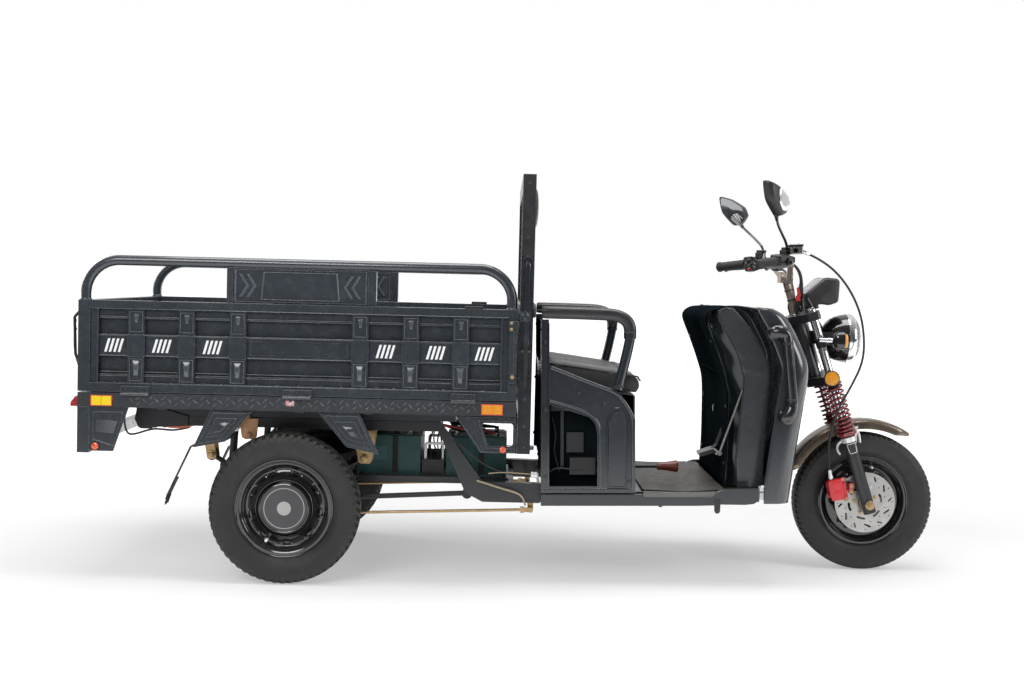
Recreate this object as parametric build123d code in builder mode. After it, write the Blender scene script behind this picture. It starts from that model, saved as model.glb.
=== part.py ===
from build123d import *
from math import atan2, cos, radians, sin, tan
import os

os.makedirs("parts", exist_ok=True)

# Electric cargo tricycle with a tipping load bed, drop sides and a single steered front wheel.
#
# Millimetres. +X points forward, +Y to the rider's left, +Z up.
# The origin lies on the ground, under the middle of the vehicle.

# ---------------------------------------------------------------- driving dimensions
wheelbase = 2063.0
rear_axle_x = -791.0
tyre_diameter = 510.0
rear_tyre_width = 100.0
front_tyre_width = 88.0
track = 938.0
rim_radius = 166.0

bed_length = 1464.0
bed_width = 1000.0
bed_rear_x = -1486.0
bed_floor_height = 634.0
gate_height = 305.0
gate_thickness = 40.0
guard_height = 151.0
guard_tube_diameter = 34.0
headboard_height = 758.0
headboard_depth = 44.0

cab_length = 880.0
cab_width = 820.0
cab_rear_x = 72.0
cab_floor_underside = 270.0
cab_pitch = 1.35
seat_post_height = 637.0
seat_length = 345.0

rail_spacing = 640.0
rail_width = 40.0
chassis_rail_height = 34.0
fork_rake = 18.0
fork_leg_spacing = 194.0
yoke_offset = 40.0
headlight_diameter = 183.0

# ---------------------------------------------------------------- clearances and thin stock
seam = 0.4
moving_gap = 6.0
sheet = 3.0

# ---------------------------------------------------------------- derived places
tyre_radius = tyre_diameter / 2
axle_height = tyre_radius
front_axle_x = rear_axle_x + wheelbase
wheel_centre_y = track / 2
bed_half = bed_width / 2
gate_front_x = bed_rear_x + bed_length
headboard_rear_x = gate_front_x + moving_gap
headboard_front_x = headboard_rear_x + headboard_depth
gate_top = bed_floor_height + gate_height
guard_top = gate_top + guard_height
headboard_top = bed_floor_height + headboard_height
cab_half = cab_width / 2
rail_centre_y = rail_spacing / 2

side_beam_height = 52.0
side_beam_depth = 30.0
beam_bottom = bed_floor_height - side_beam_height
bed_rail_height = 30.0
bed_rail_bottom = beam_bottom - 8.0 - bed_rail_height
chassis_rail_top = bed_rail_bottom - 1.5
chassis_rail_bottom = chassis_rail_top - chassis_rail_height
bed_plate = 4.0

cab_side = Plane(
    origin=(cab_rear_x, 0, cab_floor_underside),
    x_dir=(cos(radians(cab_pitch)), 0, sin(radians(cab_pitch))),
    z_dir=(0, -1, 0),
)
cab_rail_height = 40.0
floor_top = cab_rail_height + 4.0

rake = radians(fork_rake)
fork_up = Vector(-sin(rake), 0, cos(rake))
fork_front = Vector(cos(rake), 0, sin(rake))
axle_point = Vector(front_axle_x, 0, axle_height)
fork_side = Plane(origin=axle_point, x_dir=fork_front, z_dir=(0, -1, 0))


# ---------------------------------------------------------------- shape helpers
def block(x_low, x_high, y_low, y_high, z_low, z_high):
    """A box between two opposite corners."""
    with Locations(((x_low + x_high) / 2, (y_low + y_high) / 2, (z_low + z_high) / 2)):
        Box(x_high - x_low, y_high - y_low, z_high - z_low)


def both_sides(y_low, y_high):
    """The same span of Y on the right and on the left."""
    return [(-y_high, -y_low), (y_low, y_high)]


def side_plate(points, y_low, y_high, plane=Plane.XZ, corner=0.0):
    """A flat outline seen from the side, given its thickness across the vehicle."""
    with BuildSketch(plane.offset(-y_high)) as outline:
        with BuildLine():
            if corner > 0:
                FilletPolyline(*points, radius=corner, close=True)
            else:
                Polyline(*points, close=True)
        make_face()
    extrude(outline.sketch, amount=y_high - y_low)


def rectangle(x_low, x_high, z_low, z_high):
    """The four corners of an upright rectangle."""
    return [(x_low, z_low), (x_high, z_low), (x_high, z_high), (x_low, z_high)]


def cab_block(u_low, u_high, y_low, y_high, w_low, w_high):
    """A box in the cab's own, slightly nose-up, frame."""
    side_plate(rectangle(u_low, u_high, w_low, w_high), y_low, y_high, cab_side)


def cab_point(u, w, y=0.0):
    """A point of the cab's frame in the vehicle's frame."""
    return cab_side.from_local_coords((u, w, -y))


def fork_point(front, up, y=0.0):
    """A point of the raked fork's frame in the vehicle's frame."""
    return fork_side.from_local_coords((front, up, -y))


def from_axle(ahead, y, above):
    """A point placed from the front axle."""
    return Vector(front_axle_x + ahead, y, axle_height + above)


def side_points(pairs):
    """Side-view points placed from the front axle."""
    return [(front_axle_x + ahead, axle_height + above) for ahead, above in pairs]


def bent_tube(points, tube_radius, bend_radius):
    """A round tube or rod along straight runs joined by bends."""
    with BuildLine() as path:
        if len(points) > 2:
            FilletPolyline(*points, radius=bend_radius)
        else:
            Line(*points)
    route = path.wire()
    with BuildSketch(Plane(origin=route @ 0, z_dir=route % 0)) as section:
        Circle(tube_radius)
    sweep(section.sketch, path=route)


def round_bar(start, end, bar_radius):
    """A straight round bar between two points."""
    direction = Vector(end) - Vector(start)
    with BuildSketch(Plane(origin=start, z_dir=direction)) as section:
        Circle(bar_radius)
    extrude(section.sketch, amount=direction.length)


def turned(profile, x, y, z, side=1):
    """A body of revolution about an axle along Y; profile points are (outward, radius)."""
    wheel_plane = Plane(origin=(x, y, z), x_dir=(0, 1, 0), z_dir=(1, 0, 0))
    with BuildSketch(wheel_plane) as section:
        with BuildLine():
            Polyline(*[(side * out, radius) for out, radius in profile], close=True)
        make_face()
    revolve(section.sketch, axis=Axis((x, y, z), (0, 1, 0)))


def arc_band(radius, thickness, start, end):
    """Outline of a bent strip about the origin, from one angle to another, in degrees."""
    steps = 12
    angles = [radians(start + (end - start) * i / steps) for i in range(steps + 1)]
    outer = [(radius * cos(a), radius * sin(a)) for a in angles]
    inner = [((radius - thickness) * cos(a), (radius - thickness) * sin(a)) for a in reversed(angles)]
    return outer + inner


def finish(part, name):
    """Label a finished piece and write its file."""
    part.label = name
    export_step(part, "parts/" + name + ".step")


# ================================================================ wheels
def tyre_solid(x, y, width, name):
    """A tyre with rounded shoulders round its rim seat."""
    half = width / 2
    bead = rim_radius - 14 + seam
    with BuildPart() as tyre:
        wheel_plane = Plane(origin=(x, y, axle_height), x_dir=(0, 1, 0), z_dir=(1, 0, 0))
        with BuildSketch(wheel_plane) as section:
            with BuildLine():
                Line((-half * 0.62, bead), (-half * 0.62, rim_radius + seam))
                Spline(
                    (-half * 0.62, rim_radius + seam), (-half * 0.92, rim_radius + 24),
                    (-half, tyre_radius - 40),
                    (-half * 0.86, tyre_radius - 12),
                )
                Spline((-half * 0.86, tyre_radius - 12), (0, tyre_radius), (half * 0.86, tyre_radius - 12))
                Spline(
                    (half * 0.86, tyre_radius - 12), (half, tyre_radius - 40),
                    (half * 0.92, rim_radius + 24), (half * 0.62, rim_radius + seam),
                )
                Line((half * 0.62, rim_radius + seam), (half * 0.62, bead))
                Line((half * 0.62, bead), (-half * 0.62, bead))
            make_face()
        revolve(axis=Axis((x, y, axle_height), (0, 1, 0)))
    finish(tyre.part, name)


def steel_rim(x, y, side, width, hub_radius, name):
    """A pressed steel rim: barrel with two flanges, dished disc with vents, and hub."""
    half = width / 2
    barrel = rim_radius - 14
    with BuildPart() as rim:
        turned(
            [
                (-half * 0.62 - 3, rim_radius), (-half * 0.62 - 3, barrel - 4),
                (half * 0.62 + 3, barrel - 4),
                (half * 0.62 + 3, rim_radius), (half * 0.62 + 0.4, rim_radius), (half * 0.62 + 0.4, barrel),
                (-half * 0.62 - 0.4, barrel), (-half * 0.62 - 0.4, rim_radius),
            ],
            x, y, axle_height, side,
        )
        turned(
            [
                (8, barrel - 2), (2, barrel - 2), (12, hub_radius + 30), (22, hub_radius), (22, 0),
                (30, 0), (30, hub_radius + 2), (18, hub_radius + 32),
            ],
            x, y, axle_height, side,
        )
        with BuildSketch(Plane.XZ.offset(-y)) as vents:
            with Locations((x, axle_height)):
                with PolarLocations((hub_radius + barrel) / 2 + 12, 8):
                    SlotOverall(34, 16, rotation=90)
        extrude(vents.sketch, amount=half, both=True, mode=Mode.SUBTRACT)
    finish(rim.part, name)


rear_hub_radius = 84.0
for side, side_name in ((-1, "right"), (1, "left")):
    tyre_solid(rear_axle_x, side * wheel_centre_y, rear_tyre_width, "rear_tyre_" + side_name)
    steel_rim(rear_axle_x, side * wheel_centre_y, side, rear_tyre_width, rear_hub_radius,
              "rear_rim_" + side_name)

tyre_solid(front_axle_x, 0, front_tyre_width, "front_tyre")
front_hub_half = 48.0
disc_y = -62.0
with BuildPart() as front_rim:
    barrel_radius = rim_radius - 14
    half = front_tyre_width / 2
    turned(
        [
            (-half * 0.62 - 3, rim_radius), (-half * 0.62 - 3, barrel_radius - 4),
            (half * 0.62 + 3, barrel_radius - 4), (half * 0.62 + 3, rim_radius),
            (half * 0.62 + 0.4, rim_radius), (half * 0.62 + 0.4, barrel_radius),
            (-half * 0.62 - 0.4, barrel_radius), (-half * 0.62 - 0.4, rim_radius),
        ],
        front_axle_x, 0, axle_height,
    )
    turned(
        [
            (-4, barrel_radius - 2), (-6, 60), (-14, 42), (-front_hub_half, 38), (-front_hub_half, 12),
            (front_hub_half, 12), (front_hub_half, 38), (14, 42), (6, 60), (4, barrel_radius - 2),
        ],
        front_axle_x, 0, axle_height,
    )
    with BuildSketch(Plane.XZ) as vents:
        with Locations((front_axle_x, axle_height)):
            with PolarLocations(104, 6):
                SlotOverall(52, 30, rotation=90)
    extrude(vents.sketch, amount=half, both=True, mode=Mode.SUBTRACT)
finish(front_rim.part, "front_rim")

brake_disc_radius = 111.0
with BuildPart() as brake_disc:
    turned(
        [
            (disc_y - 2, brake_disc_radius), (disc_y - 2, 36), (disc_y - 6, 36), (disc_y - 6, 14),
            (-front_hub_half - seam, 14), (-front_hub_half - seam, 32), (disc_y + 2, 36),
            (disc_y + 2, brake_disc_radius),
        ],
        front_axle_x, 0, axle_height,
    )
    with BuildSketch(Plane.XZ.offset(-disc_y)) as slots:
        with Locations((front_axle_x, axle_height)):
            with PolarLocations(90, 12):
                SlotOverall(24, 7, rotation=60)
            with PolarLocations(58, 6):
                Circle(11)
    extrude(slots.sketch, amount=10, both=True, mode=Mode.SUBTRACT)
finish(brake_disc.part, "brake_disc")

# ================================================================ chassis
chassis_rear_x = -1240.0
kick_top_x = -286.0
kick_low_x = -129.0
low_rail_bottom = cab_floor_underside - 2.0
low_rail_top = 335.0
rail_low_y = rail_centre_y - rail_width / 2
rail_high_y = rail_centre_y + rail_width / 2
pivot_x = -1300.0
pivot_z = bed_rail_bottom + bed_rail_height / 2
low_yoke = 492.0
high_yoke = 700.0
head_bottom = low_yoke + 0.8
head_top = high_yoke - 0.8
with BuildPart() as main_frame:
    for y_low, y_high in both_sides(rail_low_y, rail_high_y):
        side_plate(
            [
                (chassis_rear_x, chassis_rail_bottom), (kick_top_x, chassis_rail_bottom),
                (kick_low_x - 60, low_rail_bottom + 30), (kick_low_x, low_rail_bottom),
                (cab_rear_x - seam * 4, low_rail_bottom), (cab_rear_x - seam * 4, low_rail_top),
                (kick_low_x, low_rail_top + 4), (kick_top_x + 4, chassis_rail_top),
                (chassis_rear_x, chassis_rail_top),
            ],
            y_low, y_high,
        )
    # tipping pivot ears either side of each bed rail
    for ear_low, ear_high in ((rail_low_y - 8, rail_low_y - 2), (rail_high_y + 2, rail_high_y + 8)):
        for y_low, y_high in both_sides(ear_low, ear_high):
            side_plate(
                [
                    (pivot_x - 34, pivot_z - 30), (pivot_x - 20, pivot_z - 60),
                    (chassis_rear_x + 90, chassis_rail_bottom),
                    (chassis_rear_x + 90, chassis_rail_top), (pivot_x + 34, pivot_z + 14),
                    (pivot_x + 10, pivot_z + 24), (pivot_x - 24, pivot_z + 20),
                ],
                y_low, y_high,
            )
    for y_low, y_high in both_sides(rail_low_y - 8, rail_high_y + 8):
        block(chassis_rear_x, chassis_rear_x + 40, y_low, y_high, chassis_rail_bottom, chassis_rail_top)
        with BuildSketch(Plane.XZ.offset(-y_high)) as pin:
            with Locations((pivot_x, pivot_z)):
                Circle(10)
        extrude(pin.sketch, amount=y_high - y_low)
    # rails under the cab
    for y_low, y_high in both_sides(rail_low_y, rail_high_y):
        cab_block(-seam * 4, cab_length - 120, y_low, y_high, 2, cab_rail_height - seam)
finish(main_frame.part, "main_frame")

# cross members between the two frame rails
cross_width = 40.0
cross_places = (-960.0, -620.0, -330.0)
low_cross_x = -60.0
ear_inner_y = rail_low_y - 8
with BuildPart() as frame_cross_members:
    block(
        chassis_rear_x, chassis_rear_x + cross_width, -ear_inner_y, ear_inner_y,
        chassis_rail_bottom, chassis_rail_top,
    )
    for cross_x in cross_places:
        block(
            cross_x, cross_x + cross_width, -rail_low_y, rail_low_y,
            chassis_rail_bottom, chassis_rail_top,
        )
    block(
        low_cross_x, low_cross_x + cross_width, -rail_low_y, rail_low_y,
        low_rail_bottom, low_rail_bottom + cross_width,
    )
    cab_block(-seam * 4, 38, -rail_low_y, rail_low_y, 2, cab_rail_height - seam)
finish(frame_cross_members.part, "frame_cross_members")

# front cross member with the tube up to the steering head
neck_radius = 24.0
head_radius = 28.0
with BuildPart() as steering_neck:
    cab_block(cab_length - 160, cab_length - 120, -rail_low_y, rail_low_y, 2, cab_rail_height - seam)
    bent_tube(
        [cab_point(cab_length - 140, 14), cab_point(cab_length - 45, 14),
         fork_point(-yoke_offset, head_top - 50)],
        neck_radius, 60,
    )
    head_axis_low = fork_point(-yoke_offset, head_bottom)
    head_axis_high = fork_point(-yoke_offset, head_top)
    round_bar(head_axis_low, head_axis_high, head_radius)
finish(steering_neck.part, "steering_neck")

# battery tray and the batteries standing in it, in two columns
battery_length = 218.0
battery_width = 130.0
battery_height = 137.0
battery_lid = 4.0
battery_gap = 92.0
tray_front_x = -40.0
tray_floor = low_rail_bottom + 40 + seam
tray_rear_x = tray_front_x - 2 * battery_length - battery_gap - 24
tray_half = battery_width + 60
tray_bar = 22.0
tray_hanger_x = -580 + seam
with BuildPart() as battery_tray:
    for rail_y in (-tray_half + 14, -70, 70, tray_half - 14):
        block(tray_hanger_x, tray_front_x, rail_y - 14, rail_y + 14, tray_floor, tray_floor + tray_bar)
    for cross_x in (tray_hanger_x, (tray_rear_x + tray_front_x) / 2 - 12, tray_front_x - 24):
        block(cross_x, cross_x + 24, -tray_half, tray_half, tray_floor, tray_floor + tray_bar)
    for y_low, y_high in both_sides(tray_half - 40, tray_half):
        block(tray_hanger_x, tray_hanger_x + 5, y_low, y_high, tray_floor, chassis_rail_bottom + 26)
finish(battery_tray.part, "battery_tray")

battery_base = tray_floor + tray_bar + seam
with BuildPart() as battery_pack:
    for column in range(2):
        x_low = tray_front_x - 8 - battery_length - column * (battery_length + battery_gap)
        for y_low, y_high in both_sides(6, 6 + battery_width):
            block(x_low, x_low + battery_length, y_low, y_high, battery_base, battery_base + battery_height)
            block(
                x_low + 8, x_low + battery_length - 8, y_low + 6, y_high - 6,
                battery_base + battery_height, battery_base + battery_height + battery_lid,
            )
finish(battery_pack.part, "battery_pack")

with BuildPart() as controller_box:
    middle = tray_front_x - 8 - battery_length - battery_gap / 2
    block(middle - 40, middle + 40, -150, 150, battery_base, battery_base + 56)
    for fin in range(6):
        fin_y = -125 + fin * 50
        block(middle - 36, middle + 36, fin_y - 3, fin_y + 3, battery_base + 56, battery_base + 62)
finish(controller_box.part, "controller_box")

# ================================================================ rear axle
spring_seat_z = axle_height + 34.0
drum_inner_y = wheel_centre_y - 52
with BuildPart() as rear_axle:
    tube_half = wheel_centre_y - 58
    round_bar((rear_axle_x, -tube_half, axle_height), (rear_axle_x, tube_half, axle_height), 30)
    stub_end = wheel_centre_y + 22 - seam
    round_bar((rear_axle_x, -stub_end, axle_height), (rear_axle_x, stub_end, axle_height), 14)
    for side in (-1, 1):
        turned(
            [(-52, 92), (-52, 0), (-16, 0), (-16, 92), (-20, 100), (-46, 100)],
            rear_axle_x, side * wheel_centre_y, axle_height, side,
        )
    # brake levers on the drums' backplates
    for y_low, y_high in both_sides(drum_inner_y, drum_inner_y + 6):
        side_plate(
            [
                (rear_axle_x + 60, 252), (rear_axle_x + 120, 230), (rear_axle_x + 120, 206),
                (rear_axle_x + 60, 222),
            ],
            y_low, y_high,
        )
    with Locations((rear_axle_x, 0, axle_height)):
        Sphere(98)
    round_bar((rear_axle_x, 40, axle_height), (rear_axle_x, 250, axle_height), 82)
    for y_low, y_high in both_sides(rail_centre_y - 32, rail_centre_y + 32):
        block(rear_axle_x - 36, rear_axle_x + 36, y_low, y_high, axle_height + 20, spring_seat_z)
finish(rear_axle.part, "rear_axle")

spring_front_x = -541.0
spring_rear_x = -1066.0
spring_eye_z = 413.0
leaf_count = 5
leaf_thickness = 7.0
spring_half_width = 25.0


def leaf_outline(reach, drop, seat_top):
    """One leaf of the stack: a bow about the stack's common centre, covering a share of the span."""
    middle_x = (spring_front_x + spring_rear_x) / 2
    half_span = (spring_front_x - spring_rear_x) / 2
    sag = spring_eye_z - seat_top
    bow_radius = (half_span ** 2 + sag ** 2) / (2 * sag)
    centre_z = seat_top + bow_radius
    half_angle = atan2(half_span, bow_radius - sag) * reach

    def bow_point(radius, angle):
        return (middle_x + radius * sin(angle), centre_z - radius * cos(angle))

    upper = bow_radius + drop
    lower = upper + leaf_thickness
    ThreePointArc(bow_point(upper, -half_angle), bow_point(upper, 0), bow_point(upper, half_angle))
    Line(bow_point(upper, half_angle), bow_point(lower, half_angle))
    ThreePointArc(bow_point(lower, half_angle), bow_point(lower, 0), bow_point(lower, -half_angle))
    Line(bow_point(lower, -half_angle), bow_point(upper, -half_angle))


leaf_pitch = leaf_thickness + seam
with BuildPart() as leaf_springs:
    stack_top = spring_seat_z + seam + leaf_count * leaf_pitch
    for y_low, y_high in both_sides(rail_centre_y - spring_half_width, rail_centre_y + spring_half_width):
        for leaf in range(leaf_count):
            with BuildSketch(Plane.XZ.offset(-y_high)) as leaf_side:
                with BuildLine():
                    leaf_outline(1.0 - 0.17 * leaf, leaf * leaf_pitch, stack_top)
                make_face()
            extrude(leaf_side.sketch, amount=y_high - y_low)
        for eye_x in (spring_front_x, spring_rear_x):
            with BuildSketch(Plane.XZ.offset(-y_high)) as eye:
                with Locations((eye_x, spring_eye_z - 6)):
                    Circle(16)
            extrude(eye.sketch, amount=y_high - y_low)
    for y_low, y_high in both_sides(rail_centre_y - 30, rail_centre_y + 30):
        block(rear_axle_x - 34, rear_axle_x + 34, y_low, y_high, stack_top + 0.8, stack_top + 10)
finish(leaf_springs.part, "leaf_springs")

shackle_thickness = 6.0
with BuildPart() as spring_shackles:
    for plate_low in (rail_centre_y - spring_half_width - seam - shackle_thickness,
                      rail_centre_y + spring_half_width + seam):
        for y_low, y_high in both_sides(plate_low, plate_low + shackle_thickness):
            side_plate(
                [
                    (spring_rear_x - 15, spring_eye_z - 18), (spring_rear_x + 17, spring_eye_z - 18),
                    (spring_rear_x + 2, chassis_rail_bottom - 1),
                    (spring_rear_x - 34, chassis_rail_bottom - 1),
                ],
                y_low, y_high, corner=10,
            )
            side_plate(
                [
                    (spring_front_x - 18, spring_eye_z - 20), (spring_front_x + 24, spring_eye_z - 20),
                    (spring_front_x + 40, chassis_rail_bottom - 1),
                    (spring_front_x - 40, chassis_rail_bottom - 1),
                ],
                y_low, y_high, corner=9,
            )
finish(spring_shackles.part, "spring_shackles")

torque_y = rail_centre_y - 40.0
with BuildPart() as torque_rods:
    for side in (-1, 1):
        round_bar((rear_axle_x + 31, side * torque_y, axle_height), (-196, side * torque_y, 288), 9)
        with BuildSketch(Plane.XZ.offset(-side * torque_y).offset(-14)) as end_eye:
            with Locations((-184, 288)):
                Circle(18)
        extrude(end_eye.sketch, amount=28)
finish(torque_rods.part, "torque_rods")

# brass brake rods from the pedal's cross shaft back to the rear drums
brake_rod_y = rail_centre_y + 32.0
linkage_x = 8.0
drum_pin_x = rear_axle_x + 108.0
drum_pin_z = 218.0
cross_shaft_z = 246.0
with BuildPart() as brake_linkage:
    for side in (-1, 1):
        rod_y = side * brake_rod_y
        round_bar((drum_pin_x, rod_y, drum_pin_z), (linkage_x, rod_y, cross_shaft_z), 5)
        block(linkage_x - 6, linkage_x + 8, rod_y - 8, rod_y + 8, cross_shaft_z - 10, cross_shaft_z + 10)
        block(linkage_x, linkage_x + 34, rod_y - 3, rod_y + 3, cross_shaft_z - 8, cross_shaft_z + 8)
    for y_low, y_high in both_sides(brake_rod_y - 7, drum_inner_y - seam):
        round_bar((drum_pin_x, y_low, drum_pin_z), (drum_pin_x, y_high, drum_pin_z), 7)
    shaft_half = brake_rod_y + 8
    round_bar((linkage_x + 30, -shaft_half, cross_shaft_z), (linkage_x + 30, shaft_half, cross_shaft_z), 9)
    for y_low, y_high in both_sides(rail_centre_y - 10, rail_centre_y + 10):
        block(linkage_x + 20, linkage_x + 40, y_low, y_high, cross_shaft_z, low_rail_bottom - seam)
finish(brake_linkage.part, "brake_linkage")

# ================================================================ cab
post_width = 27.0
shield_half = 300.0
wing_half = 372.0
wing_start_u = 808.0
neck_half = 32.0
with BuildPart() as footboard:
    cab_block(-seam, wing_start_u - 8, -cab_half + 22, cab_half - 22, cab_rail_height, floor_top)
    cab_block(wing_start_u - 8, cab_length - 8, -wing_half + seam, wing_half - seam, cab_rail_height,
              floor_top)
    for y_low, y_high in both_sides(cab_half - 22, cab_half - 2):
        cab_block(0, wing_start_u - 8, y_low, y_high, 0, cab_rail_height)
        cab_block(seat_length + 4, wing_start_u - 8, y_low, y_high + 2, cab_rail_height, floor_top + 12)
    cab_block(0, seat_length + 4, -cab_half + 2, -cab_half + 22, cab_rail_height, floor_top)
    cab_block(0, seat_length + 4, cab_half - 22, cab_half - 2, cab_rail_height, floor_top)
    # opening through which the frame tube rises to the steering head
    with BuildSketch(cab_side.offset(-neck_half)) as neck_hole:
        with BuildLine():
            Polyline(*rectangle(cab_length - 110, cab_length + 20, 30, 70), close=True)
        make_face()
    extrude(neck_hole.sketch, amount=2 * neck_half, mode=Mode.SUBTRACT)
finish(footboard.part, "footboard")

seat_base = floor_top + seam
side_outline = [
    (0, seat_base), (0, seat_post_height), (post_width, seat_post_height), (post_width, 480),
    (255, 395), (300, 345), (322, 298), (323, seat_base),
]
side_window = [(post_width, 66), (post_width, 348), (165, 304), (185, 282), (193, 247), (193, 66)]
with BuildPart() as seat_box:
    for y_low, y_high in both_sides(cab_half - 28, cab_half - 2):
        side_plate(side_outline, y_low, y_high, cab_side)
    for y_low, y_high in both_sides(cab_half - 40, cab_half + 10):
        with BuildSketch(cab_side.offset(-y_high)) as window:
            with BuildLine():
                Polyline(*side_window, close=True)
            make_face()
        extrude(window.sketch, amount=y_high - y_low, mode=Mode.SUBTRACT)
    # hollow box under the seat: front wall, top and back strip
    cab_block(318, 323, -cab_half + 28, cab_half - 28, seat_base, 376)
    cab_block(0, 5, -cab_half + 28, cab_half - 28, seat_base, 480)
    side_plate([(5, 420), (5, 425), (318, 380), (318, 375)], -cab_half + 28, cab_half - 28, cab_side)
    # hole in the front wall for the parking brake rod
    with BuildSketch(cab_side.offset(106)) as rod_hole:
        with BuildLine():
            Polyline(*rectangle(300, 340, 72, 122), close=True)
        make_face()
    extrude(rod_hole.sketch, amount=28, mode=Mode.SUBTRACT)
    # teardrop swelling pressed into each flank
    for y_low, y_high in both_sides(cab_half - 4, cab_half + 4):
        side_plate([(232, 70), (232, 290), (262, 335), (288, 290), (288, 70)], y_low, y_high, cab_side,
                   corner=14)
finish(seat_box.part, "seat_box")

with BuildPart() as seat_cushion:
    side_plate(
        [
            (8, 425.4), (8, 492), (330, 448), (352, 436), (354, 398), (340, 380), (326, 378), (318, 380.8),
        ],
        -cab_half + 42, cab_half - 42, cab_side,
    )
finish(seat_cushion.part, "seat_cushion")

arm_radius = 25.0
with BuildPart() as armrests:
    for side in (-1, 1):
        arm_y = side * (cab_half - 15)
        axis_height = seat_post_height + seam + 1 + arm_radius
        bent_tube(
            [
                cab_point(2, axis_height, arm_y), cab_point(250, axis_height - 8, arm_y),
                cab_point(302, axis_height - 34, arm_y), cab_point(304, 582, arm_y),
            ],
            arm_radius, 24,
        )
        upright_span = sorted((side * (cab_half - 28 + seam), side * (cab_half + 1)))
        side_plate(
            [(290, 581.6), (321, 581.6), (276, 372.6), (255, 395.6), (246, 399)],
            *upright_span, cab_side,
        )
finish(armrests.part, "armrests")

shield_base = floor_top + seam
inner_profile = [
    (640, shield_base), (650, 165), (654, 375), (644, 440), (606, 545), (576, 612),
    (580, 650), (614, 672), (650, 672),
]
inner_return = [
    (650, 668), (616, 668), (584, 647), (581, 613), (610, 547), (648, 442), (658, 376), (654, 165),
    (644, shield_base),
]
with BuildPart() as leg_shield:
    side_plate(inner_profile + inner_return, -shield_half, shield_half, cab_side)
    cab_block(650, 720, -shield_half, shield_half, 668, 672)
    # slot for the pedal's arm
    with BuildSketch(cab_side.offset(136)) as pedal_slot:
        with BuildLine():
            Polyline(*rectangle(610, 700, 170, 270), close=True)
        make_face()
    extrude(pedal_slot.sketch, amount=28, mode=Mode.SUBTRACT)
finish(leg_shield.part, "leg_shield")

flank_rear = [(686, shield_base), (680, 150), (694, 280), (708, 430), (684, 518), (618, 636), (616, 664),
              (650, 676)]
flank_front = [(672, 674), (738, 600), (800, 484), (812, 460), (803, 262), (790, 130), (788, shield_base)]
with BuildPart() as leg_shield_sides:
    for y_low, y_high in both_sides(shield_half + seam, shield_half + 14):
        side_plate(flank_rear + flank_front, y_low, y_high, cab_side)
finish(leg_shield_sides.part, "leg_shield_sides")

wing_front = [
    (880, 0), (898, 100), (921, 270), (938, 425), (932, 488), (904, 560), (862, 625), (836, 656),
    (800, 672), (748, 676),
]
wing_rear = [
    (752, 668), (796, 560), (836, 494), (850, 430), (826, 236), (812, 80), (808, 0),
]
apron_front = [
    (880, 0), (898, 100), (921, 270), (938, 425), (932, 488), (904, 560), (862, 625), (836, 656),
    (800, 672),
]
apron_back = [
    (798, 668), (833, 652), (858, 622), (900, 557), (928, 487), (934, 425), (917, 270), (894, 100),
    (876, 0),
]
with BuildPart() as front_apron:
    side_plate(apron_front + apron_back, -wing_half, wing_half, cab_side)
    for y_low, y_high in both_sides(wing_half, wing_half + 8):
        side_plate(wing_front + wing_rear, y_low, y_high, cab_side)
    cab_block(720 + seam, 800, -shield_half, shield_half, 668, 672)
    # slot through which the steering head tube passes
    with BuildSketch(cab_side.offset(-neck_half)) as slot:
        with BuildLine():
            Polyline(*rectangle(780, 990, 44, 560), close=True)
        make_face()
    extrude(slot.sketch, amount=2 * neck_half, mode=Mode.SUBTRACT)
finish(front_apron.part, "front_apron")

crash_radius = 17.0
with BuildPart() as crash_bars:
    for side in (-1, 1):
        bar_y = side * (wing_half + 8 + crash_radius + seam)
        bent_tube(
            [
                cab_point(796, 603, bar_y), cab_point(840, 603, bar_y), cab_point(863, 345, bar_y),
                cab_point(844, 288, bar_y),
            ],
            crash_radius, 34,
        )
finish(crash_bars.part, "crash_bars")

with BuildPart() as brake_pedal:
    bent_tube(
        [cab_point(738, 430, -150), cab_point(640, 180, -150), cab_point(620, 160, -150)], 8, 12,
    )
    round_bar(cab_point(738, 430, -142), cab_point(738, 430, -shield_half), 9)
    with BuildSketch(cab_side.offset(110)) as pad:
        with BuildLine():
            FilletPolyline((575, 140), (632, 158), (628, 172), (571, 154), radius=4, close=True)
        make_face()
    extrude(pad.sketch, amount=80)
finish(brake_pedal.part, "brake_pedal")

with BuildPart() as parking_brake_lever:
    lever_y = -120.0
    bent_tube([cab_point(70, 92, lever_y), cab_point(430, 98, lever_y)], 6, 10)
    with BuildSketch(Plane(origin=cab_point(430, 98, lever_y), z_dir=cab_side.x_dir)) as grip:
        Circle(14)
    extrude(grip.sketch, amount=76, taper=-6)
    cab_block(66, 96, lever_y - 12, lever_y + 12, floor_top + seam, 104)
finish(parking_brake_lever.part, "parking_brake_lever")

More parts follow.
